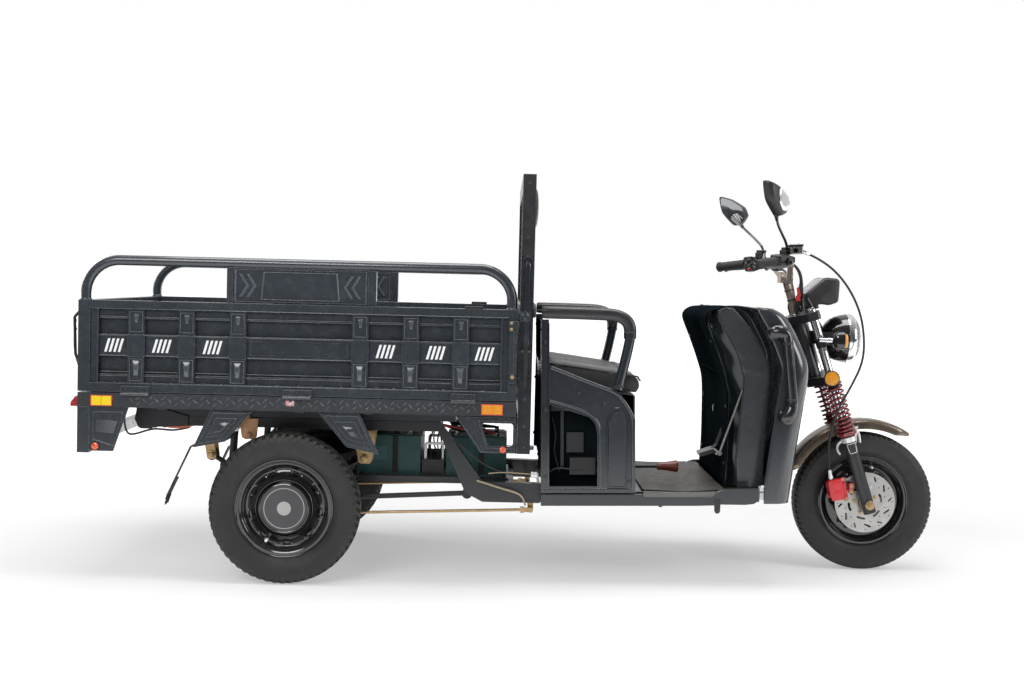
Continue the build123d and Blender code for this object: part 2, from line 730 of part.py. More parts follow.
# ================================================================ load bed
floor_front_x = gate_front_x
with BuildPart() as bed_floor:
    block(bed_rear_x + 0.8, floor_front_x, -bed_half + side_beam_depth, bed_half - side_beam_depth,
          bed_floor_height - bed_plate - 4, bed_floor_height - 4)
    # cargo deck between the gates
    block(bed_rear_x + gate_thickness + moving_gap, floor_front_x - 1,
          -bed_half + gate_thickness + moving_gap,
          bed_half - gate_thickness - moving_gap, bed_floor_height - 4, bed_floor_height)
    for y_low, y_high in both_sides(rail_low_y, rail_high_y):
        block(pivot_x - 30, -227, y_low, y_high, bed_rail_bottom, bed_rail_bottom + bed_rail_height)
        with BuildSketch(Plane.XZ.offset(-y_high)) as pin_hole:
            with Locations((pivot_x, pivot_z)):
                Circle(10 + 0.06)
        extrude(pin_hole.sketch, amount=y_high - y_low, mode=Mode.SUBTRACT)
    for index in range(7):
        cross_x = bed_rear_x + 30 + index * (bed_length - 80) / 6
        block(cross_x, cross_x + 30, -bed_half + side_beam_depth, bed_half - side_beam_depth,
              bed_rail_bottom + bed_rail_height, bed_floor_height - bed_plate - 4)
finish(bed_floor.part, "bed_floor")

with BuildPart() as bed_side_beams:
    for y_low, y_high in both_sides(bed_half - side_beam_depth + seam, bed_half - seam):
        block(bed_rear_x, floor_front_x, y_low, y_high, beam_bottom, bed_floor_height - 4)
finish(bed_side_beams.part, "bed_side_beams")

corner_post_low = 428.0
plate_bolt_spacing = 180.0
with BuildPart() as rear_corner_posts:
    for y_low, y_high in both_sides(bed_half - side_beam_depth + seam, bed_half - seam):
        block(bed_rear_x, bed_rear_x + 40, y_low, y_high, corner_post_low, beam_bottom - seam)
    for y_low, y_high in both_sides(bed_half - 8, bed_half - 4):
        side_plate(
            [
                (bed_rear_x + 40, corner_post_low + 6), (bed_rear_x + 120, corner_post_low + 6),
                (bed_rear_x + 170, beam_bottom - seam), (bed_rear_x + 40, beam_bottom - seam),
            ],
            y_low, y_high,
        )
    block(bed_rear_x + 8, bed_rear_x + 32, -bed_half + side_beam_depth, bed_half - side_beam_depth,
          corner_post_low + 20, corner_post_low + 60)
    # holes for a rear plate's two bolts
    plate_bolt_plane = Plane(
        origin=(bed_rear_x + 8, 0, corner_post_low + 40), x_dir=(0, 1, 0), z_dir=(1, 0, 0),
    )
    with BuildSketch(plate_bolt_plane) as bolt_holes:
        with Locations((-plate_bolt_spacing / 2, 0), (plate_bolt_spacing / 2, 0)):
            Circle(3.5)
    extrude(bolt_holes.sketch, amount=24, mode=Mode.SUBTRACT)
finish(rear_corner_posts.part, "rear_corner_posts")

with BuildPart() as front_skirts:
    for y_low, y_high in both_sides(bed_half - 14, bed_half - 10):
        side_plate(
            [
                (headboard_rear_x - 209, beam_bottom - seam), (headboard_rear_x - 123, 457),
                (headboard_rear_x - seam, 457), (headboard_rear_x - seam, beam_bottom - seam),
            ],
            y_low, y_high,
        )
        with BuildSketch(Plane.XZ.offset(-y_high)) as skirt_window:
            with BuildLine():
                FilletPolyline(
                    (headboard_rear_x - 123, 559), (headboard_rear_x - 14, 559),
                    (headboard_rear_x - 14, 480), (headboard_rear_x - 96, 480), radius=12, close=True,
                )
            make_face()
        extrude(skirt_window.sketch, amount=y_high - y_low, mode=Mode.SUBTRACT)
finish(front_skirts.part, "front_skirts")

# headboard: two tall posts with panels and rails between them
with BuildPart() as headboard:
    for y_low, y_high in both_sides(bed_half - 42, bed_half - 2):
        block(headboard_rear_x, headboard_front_x, y_low, y_high, 457, headboard_top)
    block(headboard_rear_x, headboard_front_x, -bed_half + 42, bed_half - 42, headboard_top - 60,
          headboard_top)
    block(headboard_rear_x, headboard_front_x, -bed_half + 42, bed_half - 42, gate_top - 20, gate_top + 24)
    block(headboard_rear_x, headboard_front_x, -bed_half + 42, bed_half - 42, beam_bottom, beam_bottom + 44)
    middle_x = (headboard_rear_x + headboard_front_x) / 2
    block(middle_x - 2, middle_x + 2, -bed_half + 42, bed_half - 42, beam_bottom + 44, headboard_top - 60)
    for rib in range(5):
        rib_y = -320 + rib * 160
        block(headboard_rear_x + 6, headboard_front_x - 6, rib_y - 12, rib_y + 12, beam_bottom + 44,
              gate_top - 20)
        block(headboard_rear_x + 6, headboard_front_x - 6, rib_y - 12, rib_y + 12, gate_top + 24,
              headboard_top - 60)
finish(headboard.part, "headboard")

badge_depth = 20.0
with BuildPart() as headboard_badge:
    badge_plane = Plane(origin=(headboard_front_x + seam, 0, headboard_top - 88), x_dir=(0, 1, 0),
                        z_dir=(1, 0, 0))
    with BuildSketch(badge_plane):
        Ellipse(110, 76)
    with BuildSketch(badge_plane.offset(badge_depth)):
        Ellipse(84, 50)
    loft()
finish(headboard_badge.part, "headboard_badge")

with BuildPart() as tail_lamps:
    # the top slopes away so that the dropped tailgate clears it
    lamp_outline = [
        (bed_rear_x - seam, beam_bottom - 2), (bed_rear_x - 28, beam_bottom - 2),
        (bed_rear_x - 28, beam_bottom + 12),
        (bed_rear_x - 12, beam_bottom + 34), (bed_rear_x - seam, beam_bottom + 34),
    ]
    for y_low, y_high in both_sides(bed_half - 130, bed_half - 12):
        side_plate(lamp_outline, y_low, y_high)
finish(tail_lamps.part, "tail_lamps")

with BuildPart() as bed_reflectors:
    for y_low, y_high in both_sides(bed_half, bed_half + 6):
        for x_low in (bed_rear_x + 45, floor_front_x - 116):
            block(x_low, x_low + 72, y_low, y_high, beam_bottom + 4, beam_bottom + 40)
    for y_low, y_high in both_sides(bed_half - 4 + seam, bed_half + 3):
        with BuildSketch(Plane.XZ.offset(-y_high)) as round_lens:
            with Locations((bed_rear_x + 60, corner_post_low + 22)):
                Circle(12)
        extrude(round_lens.sketch, amount=y_high - y_low)
finish(bed_reflectors.part, "bed_reflectors")

mudguard_half = bed_half - 10
with BuildPart() as mudguards:
    for y_low, y_high in both_sides(mudguard_half - 4, mudguard_half):
        side_plate([(-1042, beam_bottom - seam), (-901, beam_bottom - seam), (-994, 474), (-1101, 452)],
                   y_low, y_high)
        side_plate([(-685, beam_bottom - seam), (-547, beam_bottom - seam), (-478, 443), (-587, 466)],
                   y_low, y_high)
    for y_low, y_high in both_sides(mudguard_half - 110, mudguard_half - 4):
        side_plate([(-901, beam_bottom - seam), (-994, 474), (-997, 476), (-904, beam_bottom - seam)],
                   y_low, y_high)
        side_plate([(-685, beam_bottom - seam), (-587, 466), (-584, 468), (-682, beam_bottom - seam)],
                   y_low, y_high)
finish(mudguards.part, "mudguards")

flap_outer = mudguard_half - 4 - seam
strap_width = 14.0
with BuildPart() as mud_flaps:
    for y_low, y_high in both_sides(flap_outer - strap_width, flap_outer):
        side_plate([(-1098, 464), (-1112, 456), (-1190, 286), (-1186, 284), (-1108, 452), (-1096, 456)],
                   y_low, y_high)
    # the strap widens into a flap at its foot
    for y_low, y_high in both_sides(flap_outer - 4 * strap_width, flap_outer):
        side_plate([(-1163, 345), (-1190, 286), (-1186, 284), (-1159, 343)], y_low, y_high)
finish(mud_flaps.part, "mud_flaps")

# ================================================================ drop sides
gate_inner = bed_half - gate_thickness
rib_width = 51.0
rib_starts = [bed_rear_x + reach for reach in (167.0, 335.0, 505.0)]
rib_starts += [gate_front_x - reach for reach in (551.0, 382.0, 215.0)]
gate_bottom = bed_floor_height
hinge_y = bed_half + 7.0
hinge_z = bed_floor_height - 6.0
hinge_spans = [
    (bed_rear_x + 146, bed_rear_x + 239),
    (bed_rear_x + bed_length / 2 - 47, bed_rear_x + bed_length / 2 + 47),
    (gate_front_x - 218, gate_front_x - 138),
]
plate_rear_x = rib_starts[2] + 7
plate_front_x = rib_starts[3] + 48


def gate_shell(y_low, y_high, side):
    """One drop side: rails, end bars, ribs and a recessed skin with a raised middle band."""
    outer = y_high if side > 0 else y_low
    inner = y_low if side > 0 else y_high

    def layer(x_low, x_high, z_low, z_high, depth_out, depth_in):
        far_face = outer - side * depth_out
        near_face = inner + side * depth_in
        block(x_low, x_high, min(far_face, near_face), max(far_face, near_face), z_low, z_high)

    layer(bed_rear_x, gate_front_x, gate_bottom, gate_bottom + 30, 0, 0)
    layer(bed_rear_x, gate_front_x, gate_top - 28, gate_top, 0, 0)
    layer(bed_rear_x, bed_rear_x + 40, gate_bottom, gate_top, 0, 0)
    layer(gate_front_x - 30, gate_front_x, gate_bottom, gate_top, 0, 0)
    layer(bed_rear_x + 40, gate_front_x - 30, gate_bottom + 30, gate_bottom + 58, 12, 14)
    layer(bed_rear_x + 40, gate_front_x - 30, gate_bottom + 58, gate_bottom + 122, 22, 14)
    layer(bed_rear_x + 40, gate_front_x - 30, gate_bottom + 122, gate_bottom + 188, 10, 14)
    layer(bed_rear_x + 40, gate_front_x - 30, gate_bottom + 188, gate_bottom + 246, 22, 14)
    layer(bed_rear_x + 40, gate_front_x - 30, gate_bottom + 246, gate_top - 28, 12, 14)
    for rib_x in rib_starts:
        layer(rib_x, rib_x + rib_width, gate_bottom + 30, gate_top - 28, 4, 10)


for side, side_name in ((-1, "right"), (1, "left")):
    y_low, y_high = both_sides(gate_inner, bed_half)[0 if side < 0 else 1]
    with BuildPart() as side_gate:
        gate_shell(y_low, y_high, side)
        for x_low, x_high in hinge_spans:
            with BuildSketch(Plane(origin=(x_low, side * hinge_y, hinge_z), z_dir=(1, 0, 0))) as barrel:
                Circle(6)
            extrude(barrel.sketch, amount=x_high - x_low)
            leaf = sorted((side * bed_half, side * (hinge_y + 2)))
            block(x_low, x_high, leaf[0], leaf[1], hinge_z, hinge_z + 26)
    finish(side_gate.part, "side_gate_" + side_name)

    guard_radius = guard_tube_diameter / 2
    guard_y = side * (bed_half - gate_thickness / 2)
    guard_base = gate_top + seam
    guard_rear = bed_rear_x + guard_radius + 3
    guard_front = gate_front_x - guard_radius - 3
    guard_axis = guard_top - guard_radius
    with BuildPart() as gate_guard:
        bent_tube(
            [
                (guard_rear, guard_y, guard_base), (guard_rear, guard_y, guard_axis),
                (guard_front, guard_y, guard_axis), (guard_front, guard_y, guard_base),
            ],
            guard_radius, 112,
        )
        for plate_low, plate_high in ((plate_rear_x - 21, plate_rear_x), (plate_front_x, plate_front_x + 28)):
            block(plate_low, plate_high, guard_y - 14, guard_y + 14, guard_base,
                  guard_axis - guard_radius + 2)
        block(plate_rear_x, plate_front_x, guard_y - 10, guard_y + 10, guard_base,
              guard_axis - guard_radius + 2)
    finish(gate_guard.part, "gate_guard_" + side_name)

tailgate_half = gate_inner - moving_gap
tail_hinge_x = bed_rear_x - 7.0
with BuildPart() as tailgate:
    layers = [
        (0, 30, 0, 0), (gate_height - 28, gate_height, 0, 0), (30, 58, 12, 14), (58, 122, 22, 14),
        (122, 188, 10, 14), (188, 246, 22, 14), (246, gate_height - 28, 12, 14),
    ]
    for low, high, depth_out, depth_in in layers:
        block(bed_rear_x + depth_out, bed_rear_x + gate_thickness - depth_in, -tailgate_half, tailgate_half,
              gate_bottom + low, gate_bottom + high)
    for y_low, y_high in both_sides(tailgate_half - 36, tailgate_half):
        block(bed_rear_x, bed_rear_x + gate_thickness, y_low, y_high, gate_bottom, gate_top)
    for rib_y in (-240.0, 0.0, 240.0):
        block(bed_rear_x + 4, bed_rear_x + gate_thickness - 10, rib_y - 25, rib_y + 25, gate_bottom + 30,
              gate_top - 28)
    for hinge_middle in (-260.0, 0.0, 260.0):
        round_bar((tail_hinge_x, hinge_middle - 45, hinge_z), (tail_hinge_x, hinge_middle + 45, hinge_z), 6)
        block(tail_hinge_x - 2, bed_rear_x, hinge_middle - 45, hinge_middle + 45, hinge_z, hinge_z + 26)
finish(tailgate.part, "tailgate")

with BuildPart() as tailgate_latches:
    for side in (-1, 1):
        latch_y = side * (tailgate_half - 16)
        latch_x = bed_rear_x - seam
        block(latch_x - 12, latch_x, latch_y - 12, latch_y + 12, gate_top - 60, gate_top - 22)
        block(latch_x - 12, latch_x, latch_y - 12, latch_y + 12, gate_bottom + 60, gate_bottom + 110)
        bent_tube(
            [
                (latch_x - 12, latch_y, gate_top - 40), (latch_x - 30, latch_y, gate_top - 60),
                (latch_x - 26, latch_y, gate_bottom + 120), (latch_x - 12, latch_y, gate_bottom + 84),
            ],
            5, 12,
        )
finish(tailgate_latches.part, "tailgate_latches")

# ================================================================ steering
leg_y = fork_leg_spacing / 2
yoke_thickness = 30.0
stanchion_radius = 16.0
with BuildPart() as fork_yokes:
    for yoke in (low_yoke - yoke_thickness, high_yoke):
        with BuildSketch(Plane(origin=fork_point(0, yoke), x_dir=(0, 1, 0), z_dir=fork_up)) as yoke_plan:
            with BuildLine():
                FilletPolyline(
                    (-leg_y - 26, -24), (-leg_y - 26, 24), (-34, 78), (34, 78), (leg_y + 26, 24),
                    (leg_y + 26, -24), radius=14, close=True,
                )
            make_face()
            with Locations((-leg_y, 0), (leg_y, 0)):
                Circle(stanchion_radius + seam, mode=Mode.SUBTRACT)
        extrude(yoke_plan.sketch, amount=yoke_thickness)
finish(fork_yokes.part, "fork_yokes")

lower_leg_top = 262.0
lower_leg_low = -34.0
with BuildPart() as fork_legs:
    for side in (-1, 1):
        round_bar(
            fork_point(0, lower_leg_top - 40, side * leg_y),
            fork_point(0, high_yoke + yoke_thickness + 8, side * leg_y),
            stanchion_radius,
        )
        round_bar(fork_point(0, lower_leg_low, side * leg_y), fork_point(0, lower_leg_top, side * leg_y),
                  23)
    axle_half = leg_y + 38
    for y_low, y_high in both_sides(front_hub_half + 20.6, axle_half):
        round_bar((front_axle_x, y_low, axle_height), (front_axle_x, y_high, axle_height), 16)
    round_bar((front_axle_x, -leg_y, axle_height), (front_axle_x, leg_y, axle_height), 12 - 0.06)
finish(fork_legs.part, "fork_legs")

spring_radius = 34.0
with BuildPart() as fork_springs:
    for side in (-1, 1):
        for low, high, radius in (
            (lower_leg_top + seam, lower_leg_top + 13, spring_radius + 2),
            (lower_leg_top + 13, low_yoke - yoke_thickness - seam, spring_radius),
        ):
            with BuildSketch(Plane(origin=fork_point(0, low, side * leg_y), z_dir=fork_up)) as ring:
                Circle(radius)
                Circle(stanchion_radius + seam, mode=Mode.SUBTRACT)
            extrude(ring.sketch, amount=high - low)
finish(fork_springs.part, "fork_springs")

mudguard_radius = 304.0
mudguard_width = 116.0
guard_plane = Plane(origin=axle_point, x_dir=(1, 0, 0), z_dir=(0, -1, 0))
with BuildPart() as front_mudguard:
    half = mudguard_width / 2
    side_plate(arc_band(mudguard_radius, sheet, 57, 159), -half, half, guard_plane)
    for y_low, y_high in both_sides(half - sheet, half):
        side_plate(arc_band(mudguard_radius, 30, 60, 157), y_low, y_high, guard_plane)
    for y_low, y_high in both_sides(half - 0.5, half + 4):
        side_plate(side_points([(-60, 275), (-34, 281), (-38, 197), (-68, 183)]), y_low, y_high)
    for y_low, y_high in both_sides(half, leg_y - 23 - seam):
        block(front_axle_x - 72, front_axle_x - 52, y_low, y_high, axle_height + 181, axle_height + 203)
finish(front_mudguard.part, "front_mudguard")

bar_radius = 11.0
bar_centre = fork_point(-yoke_offset, 872)
with BuildPart() as handlebar:
    round_bar(fork_point(-yoke_offset, high_yoke + yoke_thickness + seam), fork_point(-yoke_offset, 862),
              15)
    with Locations(bar_centre):
        Box(46, 62, 40)
    grip_inner = from_axle(-376, 258, 873)
    grip_outer = from_axle(-492, 392, 855)
    bar_bend = grip_inner - (grip_outer - grip_inner).normalized() * 72
    for side in (-1, 1):
        bent_tube(
            [
                Vector(bar_centre.X, 0, bar_centre.Z), Vector(bar_centre.X, side * 70, bar_centre.Z),
                Vector(bar_bend.X, side * bar_bend.Y, bar_bend.Z),
                Vector(grip_outer.X, side * grip_outer.Y, grip_outer.Z),
            ],
            bar_radius, 26,
        )
finish(handlebar.part, "handlebar")

grip_direction = (grip_outer - grip_inner).normalized()
with BuildPart() as handlebar_grips:
    for side in (-1, 1):
        aim = Vector(grip_direction.X, side * grip_direction.Y, grip_direction.Z)
        for reach_low, reach_high, radius in ((46, 172, 17), (172, 178, 20), (42, 46, 21)):
            start = Vector(grip_inner.X, side * grip_inner.Y, grip_inner.Z) + aim * reach_low
            with BuildSketch(Plane(origin=start, z_dir=aim)) as ring:
                Circle(radius)
                Circle(bar_radius + seam, mode=Mode.SUBTRACT)
            extrude(ring.sketch, amount=reach_high - reach_low)
finish(handlebar_grips.part, "handlebar_grips")

with BuildPart() as control_housings:
    for side in (-1, 1):
        aim = Vector(grip_direction.X, side * grip_direction.Y, grip_direction.Z)
        start = Vector(grip_inner.X, side * grip_inner.Y, grip_inner.Z)
        housing_plane = Plane(origin=start, z_dir=aim)
        with BuildSketch(housing_plane) as housing:
            RectangleRounded(46, 48, 10)
            Circle(bar_radius + seam, mode=Mode.SUBTRACT)
        extrude(housing.sketch, amount=40)
        # brake lever ahead of the grip, and its perch inboard of the switches
        perch_plane = Plane(origin=start - aim * 36, z_dir=aim)
        with BuildSketch(perch_plane) as perch:
            Circle(18)
            Circle(bar_radius + seam, mode=Mode.SUBTRACT)
        extrude(perch.sketch, amount=28)
        lever_root = start - aim * 20 + Vector(26, 0, 2)
        bent_tube(
            [
                start - aim * 20 + Vector(18.5, 0, 0), lever_root + Vector(18, 0, 0),
                lever_root + aim * 60 + Vector(32, 0, -2), lever_root + aim * 190 + Vector(20, 0, -4),
            ],
            5, 14,
        )
    # brake fluid reservoir on the right-hand perch
    block(front_axle_x - 346, front_axle_x - 300, -267, -221, axle_height + 897, axle_height + 933)
    round_bar(from_axle(-357, -243, 893), from_axle(-326, -243, 903), 5)
finish(control_housings.part, "control_housings")

mirror_turn = 28.0
with BuildPart() as mirrors:
    for side in (-1, 1):
        head_centre = from_axle(-437, side * 428, 1083)
        bent_tube(
            [
                from_axle(-330, side * 203, 892), from_axle(-336, side * 210, 935),
                from_axle(-388, side * 300, 1007), from_axle(-404, side * 392, 1057),
            ],
            5, 24,
        )
        facing = Vector(-cos(radians(mirror_turn)), -side * sin(radians(mirror_turn)), 0)
        glass_plane = Plane(origin=head_centre, x_dir=(0, 0, 1), z_dir=facing)
        with BuildSketch(glass_plane) as glass:
            RectangleRounded(122, 150, 44)
        extrude(glass.sketch, amount=5)
        with BuildSketch(glass_plane.offset(-20)) as mirror_back:
            RectangleRounded(80, 104, 36)
        loft([glass.sketch, mirror_back.sketch])
        with Locations(from_axle(-406, side * 396, 1061)):
            Sphere(12)
finish(mirrors.part, "mirrors")

lamp_x = front_axle_x - 60.0
lamp_z = axle_height + 598.0
lamp_radius = headlight_diameter / 2
with BuildPart() as headlight:
    lamp_plane = Plane(origin=(lamp_x, 0, lamp_z), x_dir=(1, 0, 0), z_dir=(0, -1, 0))
    with BuildSketch(lamp_plane) as bowl:
        with BuildLine():
            Line((-112, 0), (-112, 22))
            Spline((-112, 22), (-96, 56), (-62, 80), (-20, lamp_radius - 1))
            Line((-20, lamp_radius - 1), (-20, lamp_radius))
            Line((-20, lamp_radius), (2, lamp_radius))
            Line((2, lamp_radius), (6, lamp_radius - 8))
            Spline((6, lamp_radius - 8), (30, 50), (38, 0))
            Line((38, 0), (-112, 0))
        make_face()
    revolve(bowl.sketch, axis=Axis((lamp_x, 0, lamp_z), (1, 0, 0)))
    for y_low, y_high in both_sides(lamp_radius - 17.5, leg_y - stanchion_radius - seam):
        block(lamp_x - 140, lamp_x - 62, y_low, y_high, lamp_z - 26, lamp_z + 26)
finish(headlight.part, "headlight")

indicator_y = leg_y + 21.0
indicator_width = 52.0
round_lens_x = front_axle_x - 154.0
round_lens_z = axle_height + 457.0
with BuildPart() as front_indicators:
    for y_low, y_high in both_sides(indicator_y, indicator_y + indicator_width):
        side_plate(rectangle(lamp_x - 98, lamp_x - 58, lamp_z - 36, lamp_z + 28), y_low, y_high, corner=12)
        side_plate(rectangle(lamp_x - 59, lamp_x - 44, lamp_z - 31, lamp_z + 23), y_low + 5, y_high - 5,
                   corner=6)
    for y_low, y_high in both_sides(leg_y + stanchion_radius + seam, indicator_y + 2):
        block(lamp_x - 142, lamp_x - 88, y_low, y_high, lamp_z - 15, lamp_z + 7)
    for y_low, y_high in both_sides(spring_radius + leg_y + 1, spring_radius + leg_y + 7):
        with BuildSketch(Plane.XZ.offset(-y_high)) as lens:
            with Locations((round_lens_x, round_lens_z)):
                Circle(28)
        extrude(lens.sketch, amount=y_high - y_low)
    for y_low, y_high in both_sides(leg_y + 26 + seam, spring_radius + leg_y + 1):
        block(round_lens_x - 12, round_lens_x + 8, y_low, y_high, round_lens_z - 6, round_lens_z + 10)
finish(front_indicators.part, "front_indicators")

with BuildPart() as instrument_box:
    side_plate(
        side_points([(-252, 748), (-212, 707), (-166, 711), (-112, 743), (-111, 806), (-136, 821)]),
        -84, 84, corner=7,
    )
    block(front_axle_x - 228, front_axle_x - 216, -20, 20, axle_height + 697.8, axle_height + 745)
finish(instrument_box.part, "instrument_box")

with BuildPart() as brake_caliper:
    block(front_axle_x - 149, front_axle_x - 65, disc_y - 36, disc_y - 6, axle_height + 1, axle_height + 95)
    block(front_axle_x - 149, front_axle_x - 65, disc_y + 5, disc_y + 13, axle_height + 13,
          axle_height + 83)
    block(front_axle_x - 149, front_axle_x - 120, disc_y - 8, disc_y + 6, axle_height + 13,
          axle_height + 83)
    block(front_axle_x - 67, front_axle_x - 49.2, -leg_y - 1, disc_y - 20, axle_height + 35,
          axle_height + 75)
finish(brake_caliper.part, "brake_caliper")

hose_route = [
    Vector(973.6, -243, 1164), Vector(1050, -230, 1136), Vector(1139, -200, 1062), Vector(1204, -165, 960),
    Vector(1230, -140, 855), Vector(1226, -138, 770), Vector(1186, -152, 690), Vector(1140, -156, 606),
    Vector(1116, -146, 520), Vector(1118, -112, 424), Vector(1136, -88, 352),
]
hose_radii = []
for before, here, after in zip(hose_route, hose_route[1:], hose_route[2:]):
    arriving = here - before
    leaving = after - here
    turn = radians(arriving.get_angle(leaving))
    hose_radii.append(0.45 * min(arriving.length, leaving.length) / tan(turn / 2))
with BuildPart() as brake_hose:
    bent_tube(hose_route, 4.0, hose_radii)
finish(brake_hose.part, "brake_hose")
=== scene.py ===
from math import copysign, cos, pi, radians, sin, sqrt

import bmesh
import bpy
from mathutils import Matrix, Vector, noise


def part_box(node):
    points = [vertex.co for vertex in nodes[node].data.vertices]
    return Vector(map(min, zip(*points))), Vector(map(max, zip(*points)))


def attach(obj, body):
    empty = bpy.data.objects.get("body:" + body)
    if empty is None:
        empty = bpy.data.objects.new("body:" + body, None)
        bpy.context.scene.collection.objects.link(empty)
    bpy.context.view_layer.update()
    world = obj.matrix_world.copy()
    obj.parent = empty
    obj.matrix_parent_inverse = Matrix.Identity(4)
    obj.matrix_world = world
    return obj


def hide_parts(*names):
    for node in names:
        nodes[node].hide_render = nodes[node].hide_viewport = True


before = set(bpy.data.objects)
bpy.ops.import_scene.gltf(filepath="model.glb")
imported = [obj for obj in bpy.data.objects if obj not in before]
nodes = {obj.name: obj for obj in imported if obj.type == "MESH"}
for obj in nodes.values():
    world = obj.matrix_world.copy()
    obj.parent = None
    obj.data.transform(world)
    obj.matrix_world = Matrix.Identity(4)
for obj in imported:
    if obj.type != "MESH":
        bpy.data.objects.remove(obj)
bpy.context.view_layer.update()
bpy.context.scene.view_settings.view_transform = "Standard"

# Electric cargo tricycle. Metres, +X forward, +Y to the rider's left, +Z up.

# ---------------------------------------------------------------- places taken from the frame
SIDES = ((-1, "right"), (1, "left"))
BOTH = (-1, 1)


def middle(node):
    """Centre of a node's box."""
    low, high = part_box(node)
    return (low + high) / 2


front_hub = middle("front_rim")
rear_hubs = {name: middle("rear_rim_" + name) for _, name in SIDES}
tyre_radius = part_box("front_tyre")[1].x - front_hub.x
fork_rake = radians(18)
fork_up = Vector((-sin(fork_rake), 0, cos(fork_rake)))
fork_front = Vector((cos(fork_rake), 0, sin(fork_rake)))
leg_y = 0.097
cab_pitch = radians(1.35)
cab_origin = Vector((0.072, 0, 0.270))
cab_forward = Vector((cos(cab_pitch), 0, sin(cab_pitch)))
cab_up = Vector((-sin(cab_pitch), 0, cos(cab_pitch)))
cab_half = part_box("footboard")[1].y


def fork_point(front, up, y=0.0):
    """A point of the raked fork's frame, from the front axle."""
    return front_hub + fork_front * front + fork_up * up + Vector((0, y, 0))


def cab_point(u, w, y=0.0):
    """A point of the cab's frame, which leans nose-up a little."""
    return cab_origin + cab_forward * u + cab_up * w + Vector((0, y, 0))


def side_point(x, z, y=0.0):
    """A point of the side view at a given Y."""
    return Vector((x, y, z))


def at_depth(outline, y):
    """An outline of the side view as points at one Y."""
    return [(x, y, z) for x, z in outline]


def span(side, first, second):
    """Two distances from the middle as Y values of one side, the lower first."""
    return sorted((side * first, side * second))


# ---------------------------------------------------------------- materials
class Tree:
    """A node material under construction."""

    def __init__(self, name):
        self.material = bpy.data.materials.new(name)
        self.material.use_nodes = True
        self.nodes = self.material.node_tree.nodes
        self.nodes.clear()
        self.shader = self.add("BsdfPrincipled")
        output = self.add("OutputMaterial")
        self.link(self.shader.outputs[0], output.inputs["Surface"])
        self.place = self.add("TexCoord").outputs["Object"]

    def add(self, kind, **values):
        node = self.nodes.new("ShaderNode" + kind)
        for key, value in values.items():
            setattr(node, key, value)
        return node

    def link(self, source, target):
        self.material.node_tree.links.new(source, target)

    def math(self, operation, first, second=None):
        node = self.add("Math", operation=operation)
        for socket, value in zip(node.inputs, (first, second)):
            if isinstance(value, (int, float)):
                socket.default_value = value
            elif value is not None:
                self.link(value, socket)
        return node.outputs[0]

    def spread(self, source, low, high, from_low=0.3, from_high=0.7):
        node = self.add("MapRange")
        self.link(source, node.inputs["Value"])
        for key, value in (("From Min", from_low), ("From Max", from_high), ("To Min", low),
                           ("To Max", high)):
            node.inputs[key].default_value = value
        return node.outputs["Result"]

    def noise(self, scale, detail=3.0, stretch=None):
        node = self.add("TexNoise")
        node.inputs["Scale"].default_value = scale
        node.inputs["Detail"].default_value = detail
        place = self.place
        if stretch:
            mapping = self.add("Mapping")
            mapping.inputs["Scale"].default_value = stretch
            self.link(place, mapping.inputs["Vector"])
            place = mapping.outputs[0]
        self.link(place, node.inputs["Vector"])
        return node.outputs["Fac"]

    def cells(self, scale, feature="F1"):
        node = self.add("TexVoronoi", feature=feature)
        node.inputs["Scale"].default_value = scale
        self.link(self.place, node.inputs["Vector"])
        return node.outputs["Distance"]

    def blend(self, share, first, second):
        """A colour between two, each a colour or another node's output."""
        node = self.add("Mix", data_type="RGBA")
        self.link(share, node.inputs[0])
        for socket, value in ((node.inputs[6], first), (node.inputs[7], second)):
            if isinstance(value, (tuple, list)):
                socket.default_value = (*value, 1.0)
            else:
                self.link(value, socket)
        return node.outputs[2]

    def relief(self, height, depth, normal=None):
        node = self.add("Bump")
        node.inputs["Strength"].default_value = 1.0
        node.inputs["Distance"].default_value = depth
        self.link(height, node.inputs["Height"])
        if normal is not None:
            self.link(normal, node.inputs["Normal"])
        return node.outputs[0]

    def set(self, **values):
        for key, value in values.items():
            self.shader.inputs[key.replace("_", " ")].default_value = value


def tone(colour, factor):
    return tuple(min(1.0, c * factor) for c in colour)


